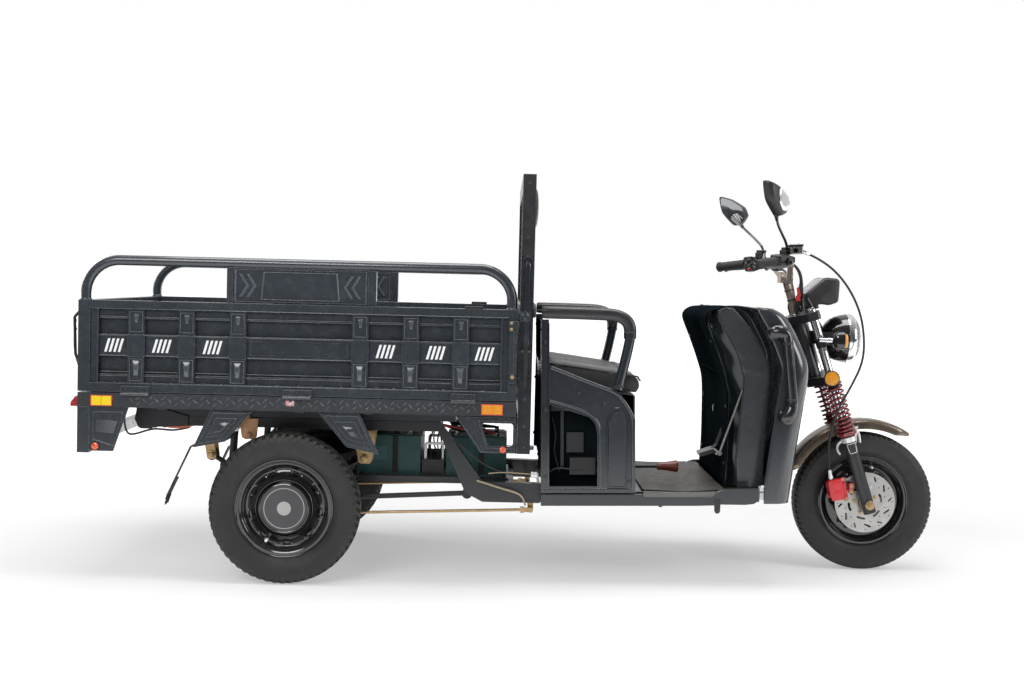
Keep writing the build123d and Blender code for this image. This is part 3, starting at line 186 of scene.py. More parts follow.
def surface(name, colour, roughness, metallic=0.0, coat=0.0, vary=0.12, patch=5.0, grain=0.00005,
            grain_scale=500.0, edge=0.0012, edge_wear_and_glint=None, dust=0.0, stretch=None, second=None, specular=0.5,
            shade=0.0):
    """The common finish: colour patches, dust on top faces, painted shade in crevices, softened edges lightened
    as painted glint broken by wear, grain and uneven gloss.
    """
    tree = Tree(name)
    tree.set(Metallic=metallic, Coat_Weight=coat, Coat_Roughness=0.08, Specular_IOR_Level=specular)
    patches = tree.spread(tree.noise(patch), 0, 1)
    colour_now = tree.blend(patches, tone(colour, 1 - vary), second or tone(colour, 1 + vary))
    geometry = tree.add("NewGeometry")
    rounded = tree.add("Bevel", samples=4)
    rounded.inputs["Radius"].default_value = edge
    # painted shade: ambient occlusion darkens the colour in crevices and recesses, towards 30 per cent of it
    if shade:
        crevice = tree.add("AmbientOcclusion", samples=4)
        crevice.inputs["Distance"].default_value = 0.045
        painted_shade_share = tree.spread(crevice.outputs["AO"], shade, 0.0, 0.35, 0.95)
        colour_now = tree.blend(painted_shade_share, colour_now, tone(colour, 0.30))
    # painted highlight and wear: where the rounded normal turns from the true one, along edges, the colour is
    # lightened as painted glint, broken up by wear chips
    if edge_wear_and_glint:
        alike = tree.add("VectorMath", operation="DOT_PRODUCT")
        tree.link(rounded.outputs[0], alike.inputs[0])
        tree.link(geometry.outputs["Normal"], alike.inputs[1])
        chips = tree.spread(tree.noise(140.0), 0.2, 1.0)
        rim = tree.math("MULTIPLY", tree.spread(alike.outputs["Value"], 0.85, 0.0, 0.80, 0.97), chips)
        colour_now = tree.blend(rim, colour_now, edge_wear_and_glint)
    if dust:
        parts = tree.add("SeparateXYZ")
        tree.link(geometry.outputs["Normal"], parts.inputs[0])
        lying = tree.spread(parts.outputs["Z"], 0.0, dust, 0.35, 1.0)
        settled = tree.math("MULTIPLY", lying, tree.spread(tree.noise(22.0), 0.5, 1.0))
        colour_now = tree.blend(settled, colour_now, (0.16, 0.145, 0.125))
    tree.link(colour_now, tree.shader.inputs["Base Color"])
    gloss = tree.spread(tree.noise(34.0, 4.0, stretch), max(0.02, roughness - 0.06), roughness + 0.08)
    tree.link(gloss, tree.shader.inputs["Roughness"])
    grained = tree.relief(tree.noise(grain_scale, 2.0, stretch), grain, rounded.outputs[0])
    tree.link(grained, tree.shader.inputs["Normal"])
    return tree.material


def leather():
    tree = Tree("seat_vinyl")
    tree.set(Sheen_Weight=0.12, Sheen_Roughness=0.5, Specular_IOR_Level=0.45)
    patches = tree.spread(tree.noise(9.0), 0, 1)
    tree.link(tree.blend(patches, (0.018, 0.018, 0.019), (0.034, 0.033, 0.032)),
              tree.shader.inputs["Base Color"])
    tree.link(tree.spread(tree.noise(30.0), 0.34, 0.52), tree.shader.inputs["Roughness"])
    pores = tree.relief(tree.cells(620.0), 0.00022)
    creases = tree.relief(tree.noise(60.0, 6.0), 0.0006, pores)
    tree.link(creases, tree.shader.inputs["Normal"])
    return tree.material


def lens(name, colour, ribs=260.0, clear=0.25):
    """A coloured plastic lens with prism ribs inside."""
    tree = Tree(name)
    tree.set(Roughness=0.12, Transmission_Weight=clear, IOR=1.49, Coat_Weight=0.6, Coat_Roughness=0.03)
    prisms = tree.cells(ribs)
    tree.link(tree.blend(tree.spread(prisms, 0, 1, 0.1, 0.6), tone(colour, 0.72), tone(colour, 1.2)),
              tree.shader.inputs["Base Color"])
    tree.link(tree.relief(prisms, 0.0008), tree.shader.inputs["Normal"])
    return tree.material


def glass():
    tree = Tree("clear_glass")
    tree.set(Base_Color=(0.95, 0.97, 0.98, 1), Roughness=0.02, Transmission_Weight=1.0, IOR=1.46)
    tree.link(tree.relief(tree.noise(90.0, 1.0, (1, 8, 0.4)), 0.0006), tree.shader.inputs["Normal"])
    return tree.material


def two_metals(name):
    """The fork legs: black painted lower tubes, chromed upper ones."""
    tree = Tree(name)
    along = tree.add("VectorMath", operation="DOT_PRODUCT")
    tree.link(tree.place, along.inputs[0])
    along.inputs[1].default_value = fork_up
    change = front_hub.dot(fork_up) + 0.262
    upper = tree.math("GREATER_THAN", along.outputs["Value"], change)
    streaks = tree.spread(tree.noise(40.0, 3.0, (1, 1, 0.1)), 0, 1)
    chrome_colour = tree.blend(streaks, (0.60, 0.60, 0.62), (0.86, 0.86, 0.88))
    tree.link(tree.blend(upper, (0.016, 0.017, 0.019), chrome_colour), tree.shader.inputs["Base Color"])
    tree.link(upper, tree.shader.inputs["Metallic"])
    tree.link(tree.spread(upper, 0.34, 0.10, 0, 1), tree.shader.inputs["Roughness"])
    rounded = tree.add("Bevel", samples=4)
    rounded.inputs["Radius"].default_value = 0.0015
    tree.link(tree.relief(tree.noise(500.0), 0.00005, rounded.outputs[0]), tree.shader.inputs["Normal"])
    return tree.material


# Most finishes below get a lighter edge colour, painted glint along their edges broken by wear chips; those
# given shade also get painted shade in their crevices.
gate_paint = surface("gate_paint", (0.0275, 0.0340, 0.0420), 0.24, coat=0.5, edge_wear_and_glint=(0.26, 0.29, 0.32),
                     dust=0.12,
                     vary=0.14, grain=0.00006, grain_scale=160.0, edge=0.0026, shade=0.85)
# painted light: a lighter copy of the body paint for the leg-shield flanks, lighter because of how their tilt
# meets the light
flank_lit_paint = surface("flank_lit_paint", (0.038, 0.041, 0.047), 0.24, coat=0.5, edge_wear_and_glint=(0.30, 0.32, 0.35),
                      dust=0.08,
                      edge=0.003)
# painted highlight: a pale finish for thin lines along the gates' rib edges and ledges, standing for light
# caught by the edges, with patchy tone
gate_glint_line = surface("gate_glint_line", (0.115, 0.130, 0.146), 0.3, coat=0.3, vary=0.35, patch=22.0,
                    edge_wear_and_glint=(0.30, 0.33, 0.36))
gate_boss = surface("gate_boss", (0.060, 0.070, 0.084), 0.22, coat=0.6, vary=0.2, edge_wear_and_glint=(0.34, 0.37, 0.40),
                    edge=0.003)
body_paint = surface("body_paint", (0.023, 0.027, 0.034), 0.20, coat=0.7, edge_wear_and_glint=(0.24, 0.26, 0.29), dust=0.08,
                     edge=0.0024, shade=0.6)
gloss_paint = surface("gloss_paint", (0.016, 0.021, 0.028), 0.13, coat=0.9, edge_wear_and_glint=(0.16, 0.17, 0.18), vary=0.2,
                      edge=0.0022)
headboard_paint = surface("headboard_paint", (0.012, 0.014, 0.018), 0.28, coat=0.3, edge_wear_and_glint=(0.10, 0.11, 0.12),
                          dust=0.2, shade=0.6)
frame_black = surface("frame_black", (0.014, 0.015, 0.018), 0.36, coat=0.2, edge_wear_and_glint=(0.10, 0.105, 0.115),
                      dust=0.35)
beam_black = surface("beam_black", (0.026, 0.030, 0.036), 0.34, coat=0.3, edge_wear_and_glint=(0.20, 0.22, 0.24), dust=0.3)
lozenge_paint = surface("lozenge_paint", (0.045, 0.050, 0.058), 0.26, coat=0.5, edge_wear_and_glint=(0.34, 0.36, 0.38),
                        edge=0.0035)
mat_rubber = surface("mat_rubber", (0.024, 0.022, 0.018), 0.5, vary=0.3, patch=9.0, grain=0.0003,
                     grain_scale=500.0,
                     dust=0.3)
floor_edge = surface("floor_edge_metal", (0.15, 0.15, 0.14), 0.42, metallic=0.3, vary=0.2, dust=0.2)
rod_grey = surface("rod_grey", (0.16, 0.155, 0.15), 0.34, metallic=0.6, vary=0.2, dust=0.2)
handle_red = surface("handle_red", (0.22, 0.035, 0.022), 0.34, coat=0.3, vary=0.2)
axle_cast = surface("axle_cast", (0.020, 0.020, 0.022), 0.62, grain=0.0006, grain_scale=260.0, dust=0.5)
leaf_steel = surface("leaf_steel", (0.018, 0.018, 0.020), 0.5, edge_wear_and_glint=(0.14, 0.12, 0.10), dust=0.4)
brass = surface("brass_plated", (0.46, 0.34, 0.15), 0.36, metallic=0.85, vary=0.2, patch=30.0,
                second=(0.50, 0.33, 0.20), edge_wear_and_glint=(0.66, 0.58, 0.40))
copper = surface("copper_plated", (0.52, 0.29, 0.17), 0.36, metallic=0.85, vary=0.2, patch=40.0)
battery_teal = surface("battery_case", (0.012, 0.075, 0.075), 0.42, vary=0.15, grain=0.0002,
                       grain_scale=380.0,
                       dust=0.25)
box_black = surface("box_black", (0.014, 0.014, 0.016), 0.46, grain=0.00025, grain_scale=700.0, dust=0.2)
trim_black = surface("trim_black", (0.012, 0.013, 0.015), 0.40, grain=0.0002, grain_scale=800.0, dust=0.15)
panel_gloss = surface("panel_gloss", (0.007, 0.010, 0.012), 0.10, vary=0.25, grain=0.0006, grain_scale=14.0)
panel_black = surface("panel_black", (0.006, 0.009, 0.011), 0.24, vary=0.25, grain=0.0002, grain_scale=40.0,
                      specular=0.0, edge_wear_and_glint=(0.03, 0.035, 0.04))
bar_black = surface("bar_black", (0.010, 0.011, 0.013), 0.20, coat=0.6, vary=0.2, edge_wear_and_glint=(0.08, 0.085, 0.09))
arm_finish = surface("arm_finish", (0.020, 0.021, 0.024), 0.34, grain=0.0002, grain_scale=260.0, dust=0.3)
rubber = surface("rubber_black", (0.016, 0.016, 0.016), 0.68, grain=0.0002, grain_scale=900.0, dust=0.35)
tyre_rubber = surface("tyre_rubber", (0.0105, 0.0103, 0.0100), 0.55, vary=0.25, patch=14.0, grain=0.0003,
                      grain_scale=420.0, edge_wear_and_glint=(0.055, 0.050, 0.036), edge=0.002, dust=0.15)
rim_black = surface("rim_black", (0.008, 0.008, 0.009), 0.14, coat=0.8, vary=0.2, grain=0.00012,
                    grain_scale=60.0)
cap_grey = surface("cap_grey", (0.052, 0.052, 0.057), 0.5, grain=0.0002, grain_scale=600.0)
cap_line = surface("cap_line", (0.36, 0.36, 0.35), 0.4, vary=0.08, grain=0.0001)
disc_steel = surface("disc_steel", (0.42, 0.41, 0.40), 0.33, metallic=1.0, vary=0.1, patch=16.0,
                     grain=0.00012,
                     grain_scale=90.0, edge=0.0005)
chrome = surface("chrome_plate", (0.74, 0.74, 0.76), 0.10, metallic=1.0, vary=0.1, patch=10.0, grain=0.00003)
warm_chrome = surface("warm_chrome", (0.40, 0.33, 0.27), 0.36, metallic=0.75, vary=0.16, patch=12.0)
guard_metal = surface("guard_metal", (0.185, 0.148, 0.115), 0.28, metallic=0.85, vary=0.25, patch=9.0,
                      grain=0.0002, grain_scale=60.0, edge_wear_and_glint=(0.55, 0.50, 0.44))
spring_red = surface("spring_red", (0.20, 0.010, 0.014), 0.26, coat=0.6, vary=0.15, edge_wear_and_glint=(0.42, 0.06, 0.06))
caliper_red = surface("caliper_red", (0.58, 0.012, 0.022), 0.32, coat=0.5, vary=0.15, edge_wear_and_glint=(0.75, 0.2, 0.2))
white_paint = surface("white_paint", (0.82, 0.83, 0.84), 0.4, vary=0.04)
white_plate = surface("white_plate", (0.80, 0.80, 0.80), 0.3, metallic=0.3, vary=0.06)
grey_rubber = surface("grey_rubber", (0.10, 0.10, 0.095), 0.6, grain=0.0002)
red_wire = surface("red_wire", (0.45, 0.02, 0.02), 0.4, vary=0.15)
orange_cap = surface("orange_cap", (0.55, 0.10, 0.02), 0.45, vary=0.15)
red_grip = surface("red_grip", (0.21, 0.022, 0.016), 0.42, vary=0.2, patch=30.0)
mirror_glass = surface("mirror_glass", (0.80, 0.82, 0.84), 0.03, metallic=1.0, vary=0.02, grain=0.000002)
warm_metal = surface("warm_metal", (0.30, 0.28, 0.26), 0.25, metallic=0.9, vary=0.15, edge_wear_and_glint=(0.5, 0.48, 0.45))
grey_plastic = surface("grey_plastic", (0.30, 0.31, 0.33), 0.4, vary=0.08, grain=0.0002, grain_scale=600.0)
dark_glass = surface("dark_glass", (0.012, 0.014, 0.016), 0.06, coat=1.0, vary=0.1, grain=0.000005)
battery_label = surface("battery_label", (0.030, 0.110, 0.115), 0.35, vary=0.10)
sticker_red = surface("sticker_red", (0.50, 0.12, 0.13), 0.5, vary=0.25, patch=60.0,
                      second=(0.72, 0.52, 0.52))
cable_tan = surface("cable_tan", (0.36, 0.29, 0.19), 0.45, vary=0.15)
amber = lens("lens_amber", (0.85, 0.34, 0.02))
yellow = lens("lens_yellow", (0.93, 0.62, 0.01), clear=0.1)
red_lens = lens("lamp_red", (0.42, 0.02, 0.02))
orange_lens = lens("lens_orange", (0.80, 0.11, 0.03))
clear_glass = glass()
seat_vinyl = leather()
fork_metals = two_metals("fork_legs_metal")

NODE_FINISH = {
    "main_frame": frame_black, "frame_cross_members": frame_black, "steering_neck": frame_black,
    "battery_tray": frame_black, "battery_pack": battery_teal,
    "controller_box": box_black, "footboard": beam_black, "seat_box": body_paint, "armrests": trim_black,
    "leg_shield": panel_black, "leg_shield_sides": body_paint, "front_apron": body_paint,
    "crash_bars": bar_black, "rear_axle": axle_cast, "leaf_springs": leaf_steel, "spring_shackles": brass,
    "torque_rods": leaf_steel, "brake_linkage": brass, "brake_pedal": frame_black,
    "parking_brake_lever": frame_black, "bed_floor": beam_black, "bed_side_beams": beam_black,
    "rear_corner_posts": gate_paint, "front_skirts": gate_paint, "headboard": headboard_paint,
    "headboard_badge": trim_black, "tail_lamps": red_lens, "bed_reflectors": amber, "mudguards": gate_paint,
    "mud_flaps": rubber, "side_gate_right": gate_paint, "gate_guard_right": gate_paint,
    "side_gate_left": gate_paint, "gate_guard_left": gate_paint, "tailgate": gate_paint,
    "tailgate_latches": frame_black, "fork_yokes": frame_black, "fork_legs": fork_metals,
    "fork_springs": spring_red, "front_mudguard": guard_metal, "handlebar": warm_chrome,
    "handlebar_grips": rubber, "control_housings": trim_black, "mirrors": trim_black,
    "headlight": rim_black, "front_indicators": trim_black, "instrument_box": box_black,
    "brake_caliper": caliper_red, "brake_hose": rubber, "front_tyre": tyre_rubber, "front_rim": rim_black,
    "brake_disc": disc_steel, "rear_tyre_right": tyre_rubber, "rear_rim_right": rim_black,
    "rear_tyre_left": tyre_rubber, "rear_rim_left": rim_black, "seat_cushion": seat_vinyl,
}
for node_name, finish in NODE_FINISH.items():
    slots = nodes[node_name].data.materials
    if not slots:
        slots.append(finish)
    for index in range(len(slots)):
        slots[index] = finish


# ---------------------------------------------------------------- mesh making
class Shape:
    """Points and faces gathered from simple forms, made into one piece at the end."""

    def __init__(self):
        self.points = []
        self.faces = []

    def add(self, points, faces):
        start = len(self.points)
        self.points.extend(Vector(p) for p in points)
        self.faces.extend([start + i for i in face] for face in faces)

    def box(self, centre, size, x_axis=(1, 0, 0), z_axis=(0, 0, 1)):
        x_axis, z_axis = Vector(x_axis).normalized(), Vector(z_axis).normalized()
        y_axis = z_axis.cross(x_axis).normalized()
        x_axis = y_axis.cross(z_axis)
        corners = []
        for sz in BOTH:
            for sx, sy in ((-1, -1), (1, -1), (1, 1), (-1, 1)):
                corners.append(Vector(centre) + x_axis * sx * size[0] / 2 + y_axis * sy * size[1] / 2
                               + z_axis * sz * size[2] / 2)
        self.add(corners, [(3, 2, 1, 0), (4, 5, 6, 7), (0, 1, 5, 4), (1, 2, 6, 5), (2, 3, 7, 6),
                           (3, 0, 4, 7)])

    def rings(self, rings, closed_round=True, cap_start=False, cap_end=False, closed_along=False):
        """Rings of points of equal count, joined one to the next."""
        count, width = len(rings), len(rings[0])
        faces = []
        for i in range(count if closed_along else count - 1):
            a, b = i * width, ((i + 1) % count) * width
            for j in range(width if closed_round else width - 1):
                k = (j + 1) % width
                faces.append((a + j, a + k, b + k, b + j))
        if cap_start:
            faces.append(tuple(reversed(range(width))))
        if cap_end:
            faces.append(tuple(range((count - 1) * width, count * width)))
        self.add([p for ring in rings for p in ring], faces)

    def prism(self, outline, low, high, place=side_point):
        """A flat outline given its thickness; place turns (a, b, depth) into a point."""
        ring_low = [place(a, b, low) for a, b in outline]
        ring_high = [place(a, b, high) for a, b in outline]
        self.rings([ring_low, ring_high], cap_start=True, cap_end=True)

    def turned(self, profile, centre, axis, steps=64, closed=True, shape=None):
        """A profile of (along, radius) revolved about an axis; shape may push a point along the axis."""
        axis = Vector(axis).normalized()
        across = axis.cross(Vector((0.123, 0.4, 1))).normalized()
        other = axis.cross(across)
        rings = []
        for along, radius in profile:
            ring = []
            for step in range(steps):
                angle = 2 * pi * step / steps
                extra = shape(along, radius, angle) if shape else 0
                ring.append(Vector(centre) + axis * (along + extra)
                            + (across * cos(angle) + other * sin(angle)) * radius)
            rings.append(ring)
        self.rings(rings, closed_along=closed)

    def tube(self, path, radius, sides=12, closed=False):
        """A round bar along points; radius may be one number or one for each point."""
        path = [Vector(p) for p in path]
        radii = radius if isinstance(radius, (list, tuple)) else [radius] * len(path)
        across = None
        rings = []
        for i, point in enumerate(path):
            before = path[i - 1] if i or closed else path[i]
            after = path[(i + 1) % len(path)] if i < len(path) - 1 or closed else path[i]
            tangent = (after - before).normalized()
            if across is None:
                across = tangent.orthogonal().normalized()
            across = (across - tangent * across.dot(tangent)).normalized()
            other = tangent.cross(across)
            rings.append([point + (across * cos(2 * pi * s / sides) + other * sin(2 * pi * s / sides)) * radii[i]
                          for s in range(sides)])
        self.rings(rings, cap_start=not closed, cap_end=not closed, closed_along=closed)

    def bolt(self, place, facing, radius, sides=6, washer=True):
        """A domed bolt head on a washer."""
        facing = Vector(facing).normalized()
        height = radius * 0.9
        if washer:
            self.turned([(0, 0.0), (0, radius * 1.5), (radius * 0.25, radius * 1.45), (radius * 0.25, 0.0)],
                        place, facing, 16, closed=False)
        self.turned([(0, radius), (height * 0.75, radius), (height, radius * 0.7), (height, 0.0)],
                    place, facing, sides, closed=False)

    def piece(self, name, finish, body, slot=None, replaces=(), smooth=35, bevel=0.0, segments=2,
              subdivide=0):
        mesh = bpy.data.meshes.new(name)
        mesh.from_pydata(self.points, [], self.faces)
        mesh.validate()
        work = bmesh.new()
        work.from_mesh(mesh)
        bmesh.ops.remove_doubles(work, verts=work.verts, dist=1e-6)
        bmesh.ops.recalc_face_normals(work, faces=work.faces)
        work.to_mesh(mesh)
        work.free()
        mesh.materials.append(finish)
        mesh.shade_smooth()
        mesh.set_sharp_from_angle(angle=radians(smooth))
        made = bpy.data.objects.new(name, mesh)
        bpy.context.scene.collection.objects.link(made)
        if bevel:
            modifier = made.modifiers.new("Bevel", "BEVEL")
            modifier.width = bevel
            modifier.segments = segments
            modifier.limit_method = "ANGLE"
            modifier.angle_limit = radians(32)
            modifier.harden_normals = True
        if subdivide:
            modifier = made.modifiers.new("Subdivision", "SUBSURF")
            modifier.levels = modifier.render_levels = subdivide
        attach(made, body)
        if replaces:
            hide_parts(*replaces)
        return made


def along_curve(points, steps=12):
    """Points on a smooth curve through the given ones."""
    points = [Vector(p) for p in points]
    padded = [2 * points[0] - points[1], *points, 2 * points[-1] - points[-2]]
    found = []
    for a, b, c, d in zip(padded, padded[1:], padded[2:], padded[3:]):
        for step in range(steps):
            t = step / steps
            found.append(0.5 * (2 * b + (c - a) * t + (2 * a - 5 * b + 4 * c - d) * t * t
                                + (3 * b - a - 3 * c + d) * t ** 3))
    return found + [points[-1]]


# ---------------------------------------------------------------- wheels
def tread_block(shape, hub, middle_angle, width, chain, skew=0.0):
    """A rubber block; chain lists (across, foot radius, top radius) from one side to the other."""
    rings = []
    for across, foot, top in chain:
        shift = skew * across
        ring = []
        for share, radius in ((-0.5, foot), (-0.42, top), (0.42, top), (0.5, foot)):
            angle = middle_angle + share * width + shift
            ring.append(Vector((hub.x + radius * cos(angle), hub.y + across, hub.z + radius * sin(angle))))
        rings.append(ring)
    shape.rings(rings, cap_start=True, cap_end=True)


def tyre(name, node, body, hub, half, blocky):
    """A tyre with rounded sidewalls, rings on them, and rubber blocks on its tread."""
    bead, seat, crown = 0.1525, 0.1664, tyre_radius - (0.007 if blocky else 0.004)
    wall = [
        (0.62, bead), (0.62, seat), (0.71, seat + 0.006), (0.80, seat + 0.013), (0.83, seat + 0.0145),
        (0.85, seat + 0.017), (0.92, seat + 0.026), (0.975, seat + 0.037), (1.0, seat + 0.048),
        (0.99, seat + 0.058), (1.0, seat + 0.0595), (0.995, seat + 0.0615), (0.96, seat + 0.067),
        (0.89, crown - 0.0085), (0.78, crown - 0.0045), (0.5, crown - 0.0015), (0.2, crown), (0.0, crown),
    ]
    profile = [(share * half, radius) for share, radius in wall]
    profile += [(-across, radius) for across, radius in reversed(profile[:-1])]
    shape = Shape()
    shape.turned(profile, hub, (0, 1, 0), 128)
    count = 58 if blocky else 74
    gap = 0.60 if blocky else 0.80
    pitch = 2 * pi / count
    top = tyre_radius - 0.0006
    for index in range(count):
        angle = index * pitch
        for side in BOTH:
            shoulder = [
                (side * half * 0.50, crown - 0.004, top - 0.0010),
                (side * half * 0.78, crown - 0.007, top - 0.0030),
                (side * half * 0.90, crown - 0.013, top - 0.0085),
                (side * half * (0.985 if blocky else 0.93), crown - 0.021,
                 top - (0.0165 if blocky else 0.0125)),
            ]
            reach = 1.0 if index % 2 else 0.86
            tread_block(shape, hub, angle + (pitch / 2 if side > 0 else 0), pitch * gap * reach, shoulder,
                        side * 1.6)
            inner = [(side * half * 0.06, crown - 0.003, top),
                     (side * half * 0.42, crown - 0.004, top - 0.0008)]
            tread_block(shape, hub, angle + (0.3 if side > 0 else 0.8) * pitch, pitch * gap, inner,
                        side * -4.0)
    return shape.piece(name, tyre_rubber, body, "tyre_rubber", (node,), smooth=40)


def pocket(hub_radius, count, depth, size):
    """Pushes points inward round a ring of vent pockets."""
    def push(along, radius, angle):
        step = 2 * pi / count
        near = (angle + step / 2) % step - step / 2
        share = sqrt((near * radius / size[0]) ** 2 + ((radius - hub_radius) / size[1]) ** 2)
        return -depth * max(0.0, min(1.0, (1.15 - share) / 0.35))
    return push


def facing_profile(profile, side):
    return [(side * out, radius) for out, radius in profile]


def rear_rim(side, side_name):
    """Pressed steel rim: rolled flange, stepped barrel, disc with vent pockets, raised hub ring and cap."""
    hub = rear_hubs[side_name]
    hub = Vector((hub.x, side * 0.469, hub.z))
    body = "rear_wheel_" + side_name
    name = "rear_rim_" + side_name
    front_face = [
        (0.034, 0.1662), (0.0355, 0.1650), (0.0352, 0.1625), (0.0335, 0.1605), (0.0280, 0.1580),
        (0.0245, 0.1545), (0.0225, 0.1500), (0.0215, 0.1470), (0.0150, 0.1440), (0.0120, 0.1410),
        (0.0100, 0.1375), (0.0040, 0.1350), (0.0010, 0.1325),
    ]
    disc = [(0.0, 0.1295 - 0.0028 * i) for i in range(9)]
    disc = [(0.0002 + 0.013 * (i / 8) ** 1.6, radius) for i, (_, radius) in enumerate(disc)]
    centre = [
        (0.0185, 0.1035), (0.0225, 0.1000), (0.0255, 0.0978), (0.0270, 0.0962), (0.0265, 0.0946),
        (0.0225, 0.0930), (0.0165, 0.0915), (0.0150, 0.0890), (0.0150, 0.0500),
    ]
    back = [
        (0.0, 0.0500), (0.0, 0.090), (-0.006, 0.118), (-0.010, 0.136), (-0.010, 0.147), (-0.030, 0.148),
        (-0.034, 0.152), (-0.034, 0.1662), (-0.0315, 0.1662), (-0.0315, 0.1530), (0.0315, 0.1530),
        (0.0315, 0.1662),
    ]
    vents = pocket(0.1175, 9, 0.011, (0.015, 0.0085))

    def press(along, radius, angle):
        return side * vents(along, radius, angle) if 0.105 < radius < 0.131 and along * side >= 0 else 0
    shape = Shape()
    shape.turned(facing_profile(front_face + disc + centre + back, side), hub, (0, 1, 0), 144, shape=press)
    shape.piece(name + "_steel", rim_black, body, "rim_black", (name,), smooth=50)
    cap = Shape()
    cap.turned(facing_profile([(0.010, 0.0), (0.010, 0.0845), (0.0265, 0.0845), (0.0300, 0.0835),
                               (0.0312, 0.0805),
                               (0.0305, 0.0785), (0.0296, 0.0775), (0.0300, 0.0)], side),
               hub, (0, 1, 0), 96, closed=False)
    cap.piece(name + "_cap", rim_black, body, "rim_black", smooth=40)
    face = Shape()
    face.turned(facing_profile([(0.0300, 0.0772), (0.0306, 0.0768), (0.0309, 0.0755), (0.0309, 0.0)], side),
                hub, (0, 1, 0), 96, closed=False)
    face.piece(name + "_cap_face", cap_grey, body, "rim_black", smooth=40)
    marks = Shape()
    marks.turned(facing_profile([(0.0308, 0.0662), (0.0313, 0.0662), (0.0313, 0.0688), (0.0308, 0.0688)],
                                side),
                 hub, (0, 1, 0), 96)
    marks.turned(facing_profile([(0.0308, 0.0235), (0.0313, 0.0232), (0.0314, 0.0)], side),
                 hub, (0, 1, 0), 48, closed=False)
    marks.piece(name + "_cap_ring", cap_line, body, smooth=40)
    valve = Shape()
    foot = hub + Vector((cos(radians(242)) * 0.1245, side * 0.004, sin(radians(242)) * 0.1245))
    valve.turned([(0, 0), (0, 0.0052), (0.026, 0.0050), (0.0285, 0.0038), (0.029, 0)], foot, (0, side, 0), 20,
                 closed=False)
    valve.piece(name + "_valve_cap", white_paint, body, smooth=40)


def front_rim():
    front_face = [
        (0.0303, 0.1662), (0.0318, 0.1650), (0.0315, 0.1625), (0.0300, 0.1605), (0.0255, 0.1580),
        (0.0225, 0.1545), (0.0205, 0.1500), (0.0150, 0.1470), (0.0125, 0.1430), (0.0110, 0.1390),
        (0.0060, 0.1365), (0.0035, 0.1330),
    ]
    disc = [(0.0035 + 0.0105 * (i / 8) ** 2, 0.1300 - 0.0080 * i) for i in range(9)]
    hub_end = [(0.0200, 0.0590), (0.0240, 0.0480), (0.0260, 0.0420), (0.0470, 0.0380), (0.0478, 0.0360),
               (0.0478, 0.0122)]
    half = front_face + disc + hub_end
    profile = half + [(-along, radius) for along, radius in reversed(half)]
    profile += [(-0.0277, 0.1662), (-0.0277, 0.1530), (0.0277, 0.1530), (0.0277, 0.1662)]
    vents = pocket(0.098, 6, 0.010, (0.024, 0.014))

    def press(along, radius, angle):
        if not 0.078 < radius < 0.118:
            return 0
        push = vents(along, radius, angle)
        return push if along > 0 else -push
    shape = Shape()
    shape.turned(profile, front_hub, (0, 1, 0), 144, shape=press)
    shape.piece("front_rim_steel", rim_black, "front_wheel", "rim_black", ("front_rim",), smooth=50)
    valve = Shape()
    foot = front_hub + Vector((cos(radians(76)) * 0.1275, -0.004, sin(radians(76)) * 0.1275))
    valve.turned([(0, 0), (0, 0.0048), (0.024, 0.0046), (0.0265, 0.0035), (0.027, 0)], foot, (0, -1, 0), 20,
                 closed=False)
    valve.piece("front_rim_valve_cap", white_paint, "front_wheel", smooth=40)


for side, side_name in SIDES:
    hub = Vector((rear_hubs[side_name].x, side * 0.469, rear_hubs[side_name].z))
    tyre("rear_tyre_" + side_name + "_tread", "rear_tyre_" + side_name, "rear_wheel_" + side_name, hub,
         0.0498, True)
    rear_rim(side, side_name)
tyre("front_tyre_tread", "front_tyre", "front_wheel", front_hub, 0.0438, False)
front_rim()


# ---------------------------------------------------------------- drop sides
ribs = (-1.319, -1.151, -0.981, -0.573, -0.404, -0.237)
rib_wide = 0.051
gate_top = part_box("side_gate_right")[1].z
gate_face = 0.500
bay_edges = [-1.418] + [x for rib in ribs for x in (rib, rib + rib_wide)] + [-0.078]
bays = [(bay_edges[i], bay_edges[i + 1]) for i in range(0, len(bay_edges), 2)]


def outward(side, depth):
    """Y of a face set back from the gate's outer face."""
    return side * (gate_face - depth)


def flat_bar(shape, side, x_low, x_high, z_low, z_high, back, front):
    """A bar on a gate, its two faces measured inward from the gate's outer face."""
    y_far, y_near = outward(side, back), outward(side, front)
    shape.box(((x_low + x_high) / 2, (y_far + y_near) / 2, (z_low + z_high) / 2),
              (x_high - x_low, abs(y_far - y_near), z_high - z_low))


def raised_patch(shape, corners, base, height, shrink, normal):
    """A pressed boss: a polygon's walls sloping in to a smaller top."""
    centre = sum((Vector(c) for c in corners), Vector()) / len(corners)
    normal = Vector(normal)
    foot = [Vector(c) + normal * base for c in corners]
    shoulder = [centre + (Vector(c) - centre) * (1 - shrink) + normal * (base + height) for c in corners]
    shape.rings([foot, shoulder], cap_end=True, cap_start=True)


def ridge_frame(shape, corners, width, height, normal, sunk=0.0):
    """A raised ridge round a polygon, with sloping flanks."""
    normal = Vector(normal)
    centre = sum((Vector(c) for c in corners), Vector()) / len(corners)
    rings = []
    for spread, lift in ((width / 2, -sunk), (width / 5, height), (-width / 5, height), (-width / 2, -sunk)):
        ring = []
        for corner in corners:
            away = (Vector(corner) - centre)
            ring.append(Vector(corner) + away.normalized() * spread * 1.3 + normal * lift)
        rings.append(ring)
    shape.rings(rings, closed_along=True)


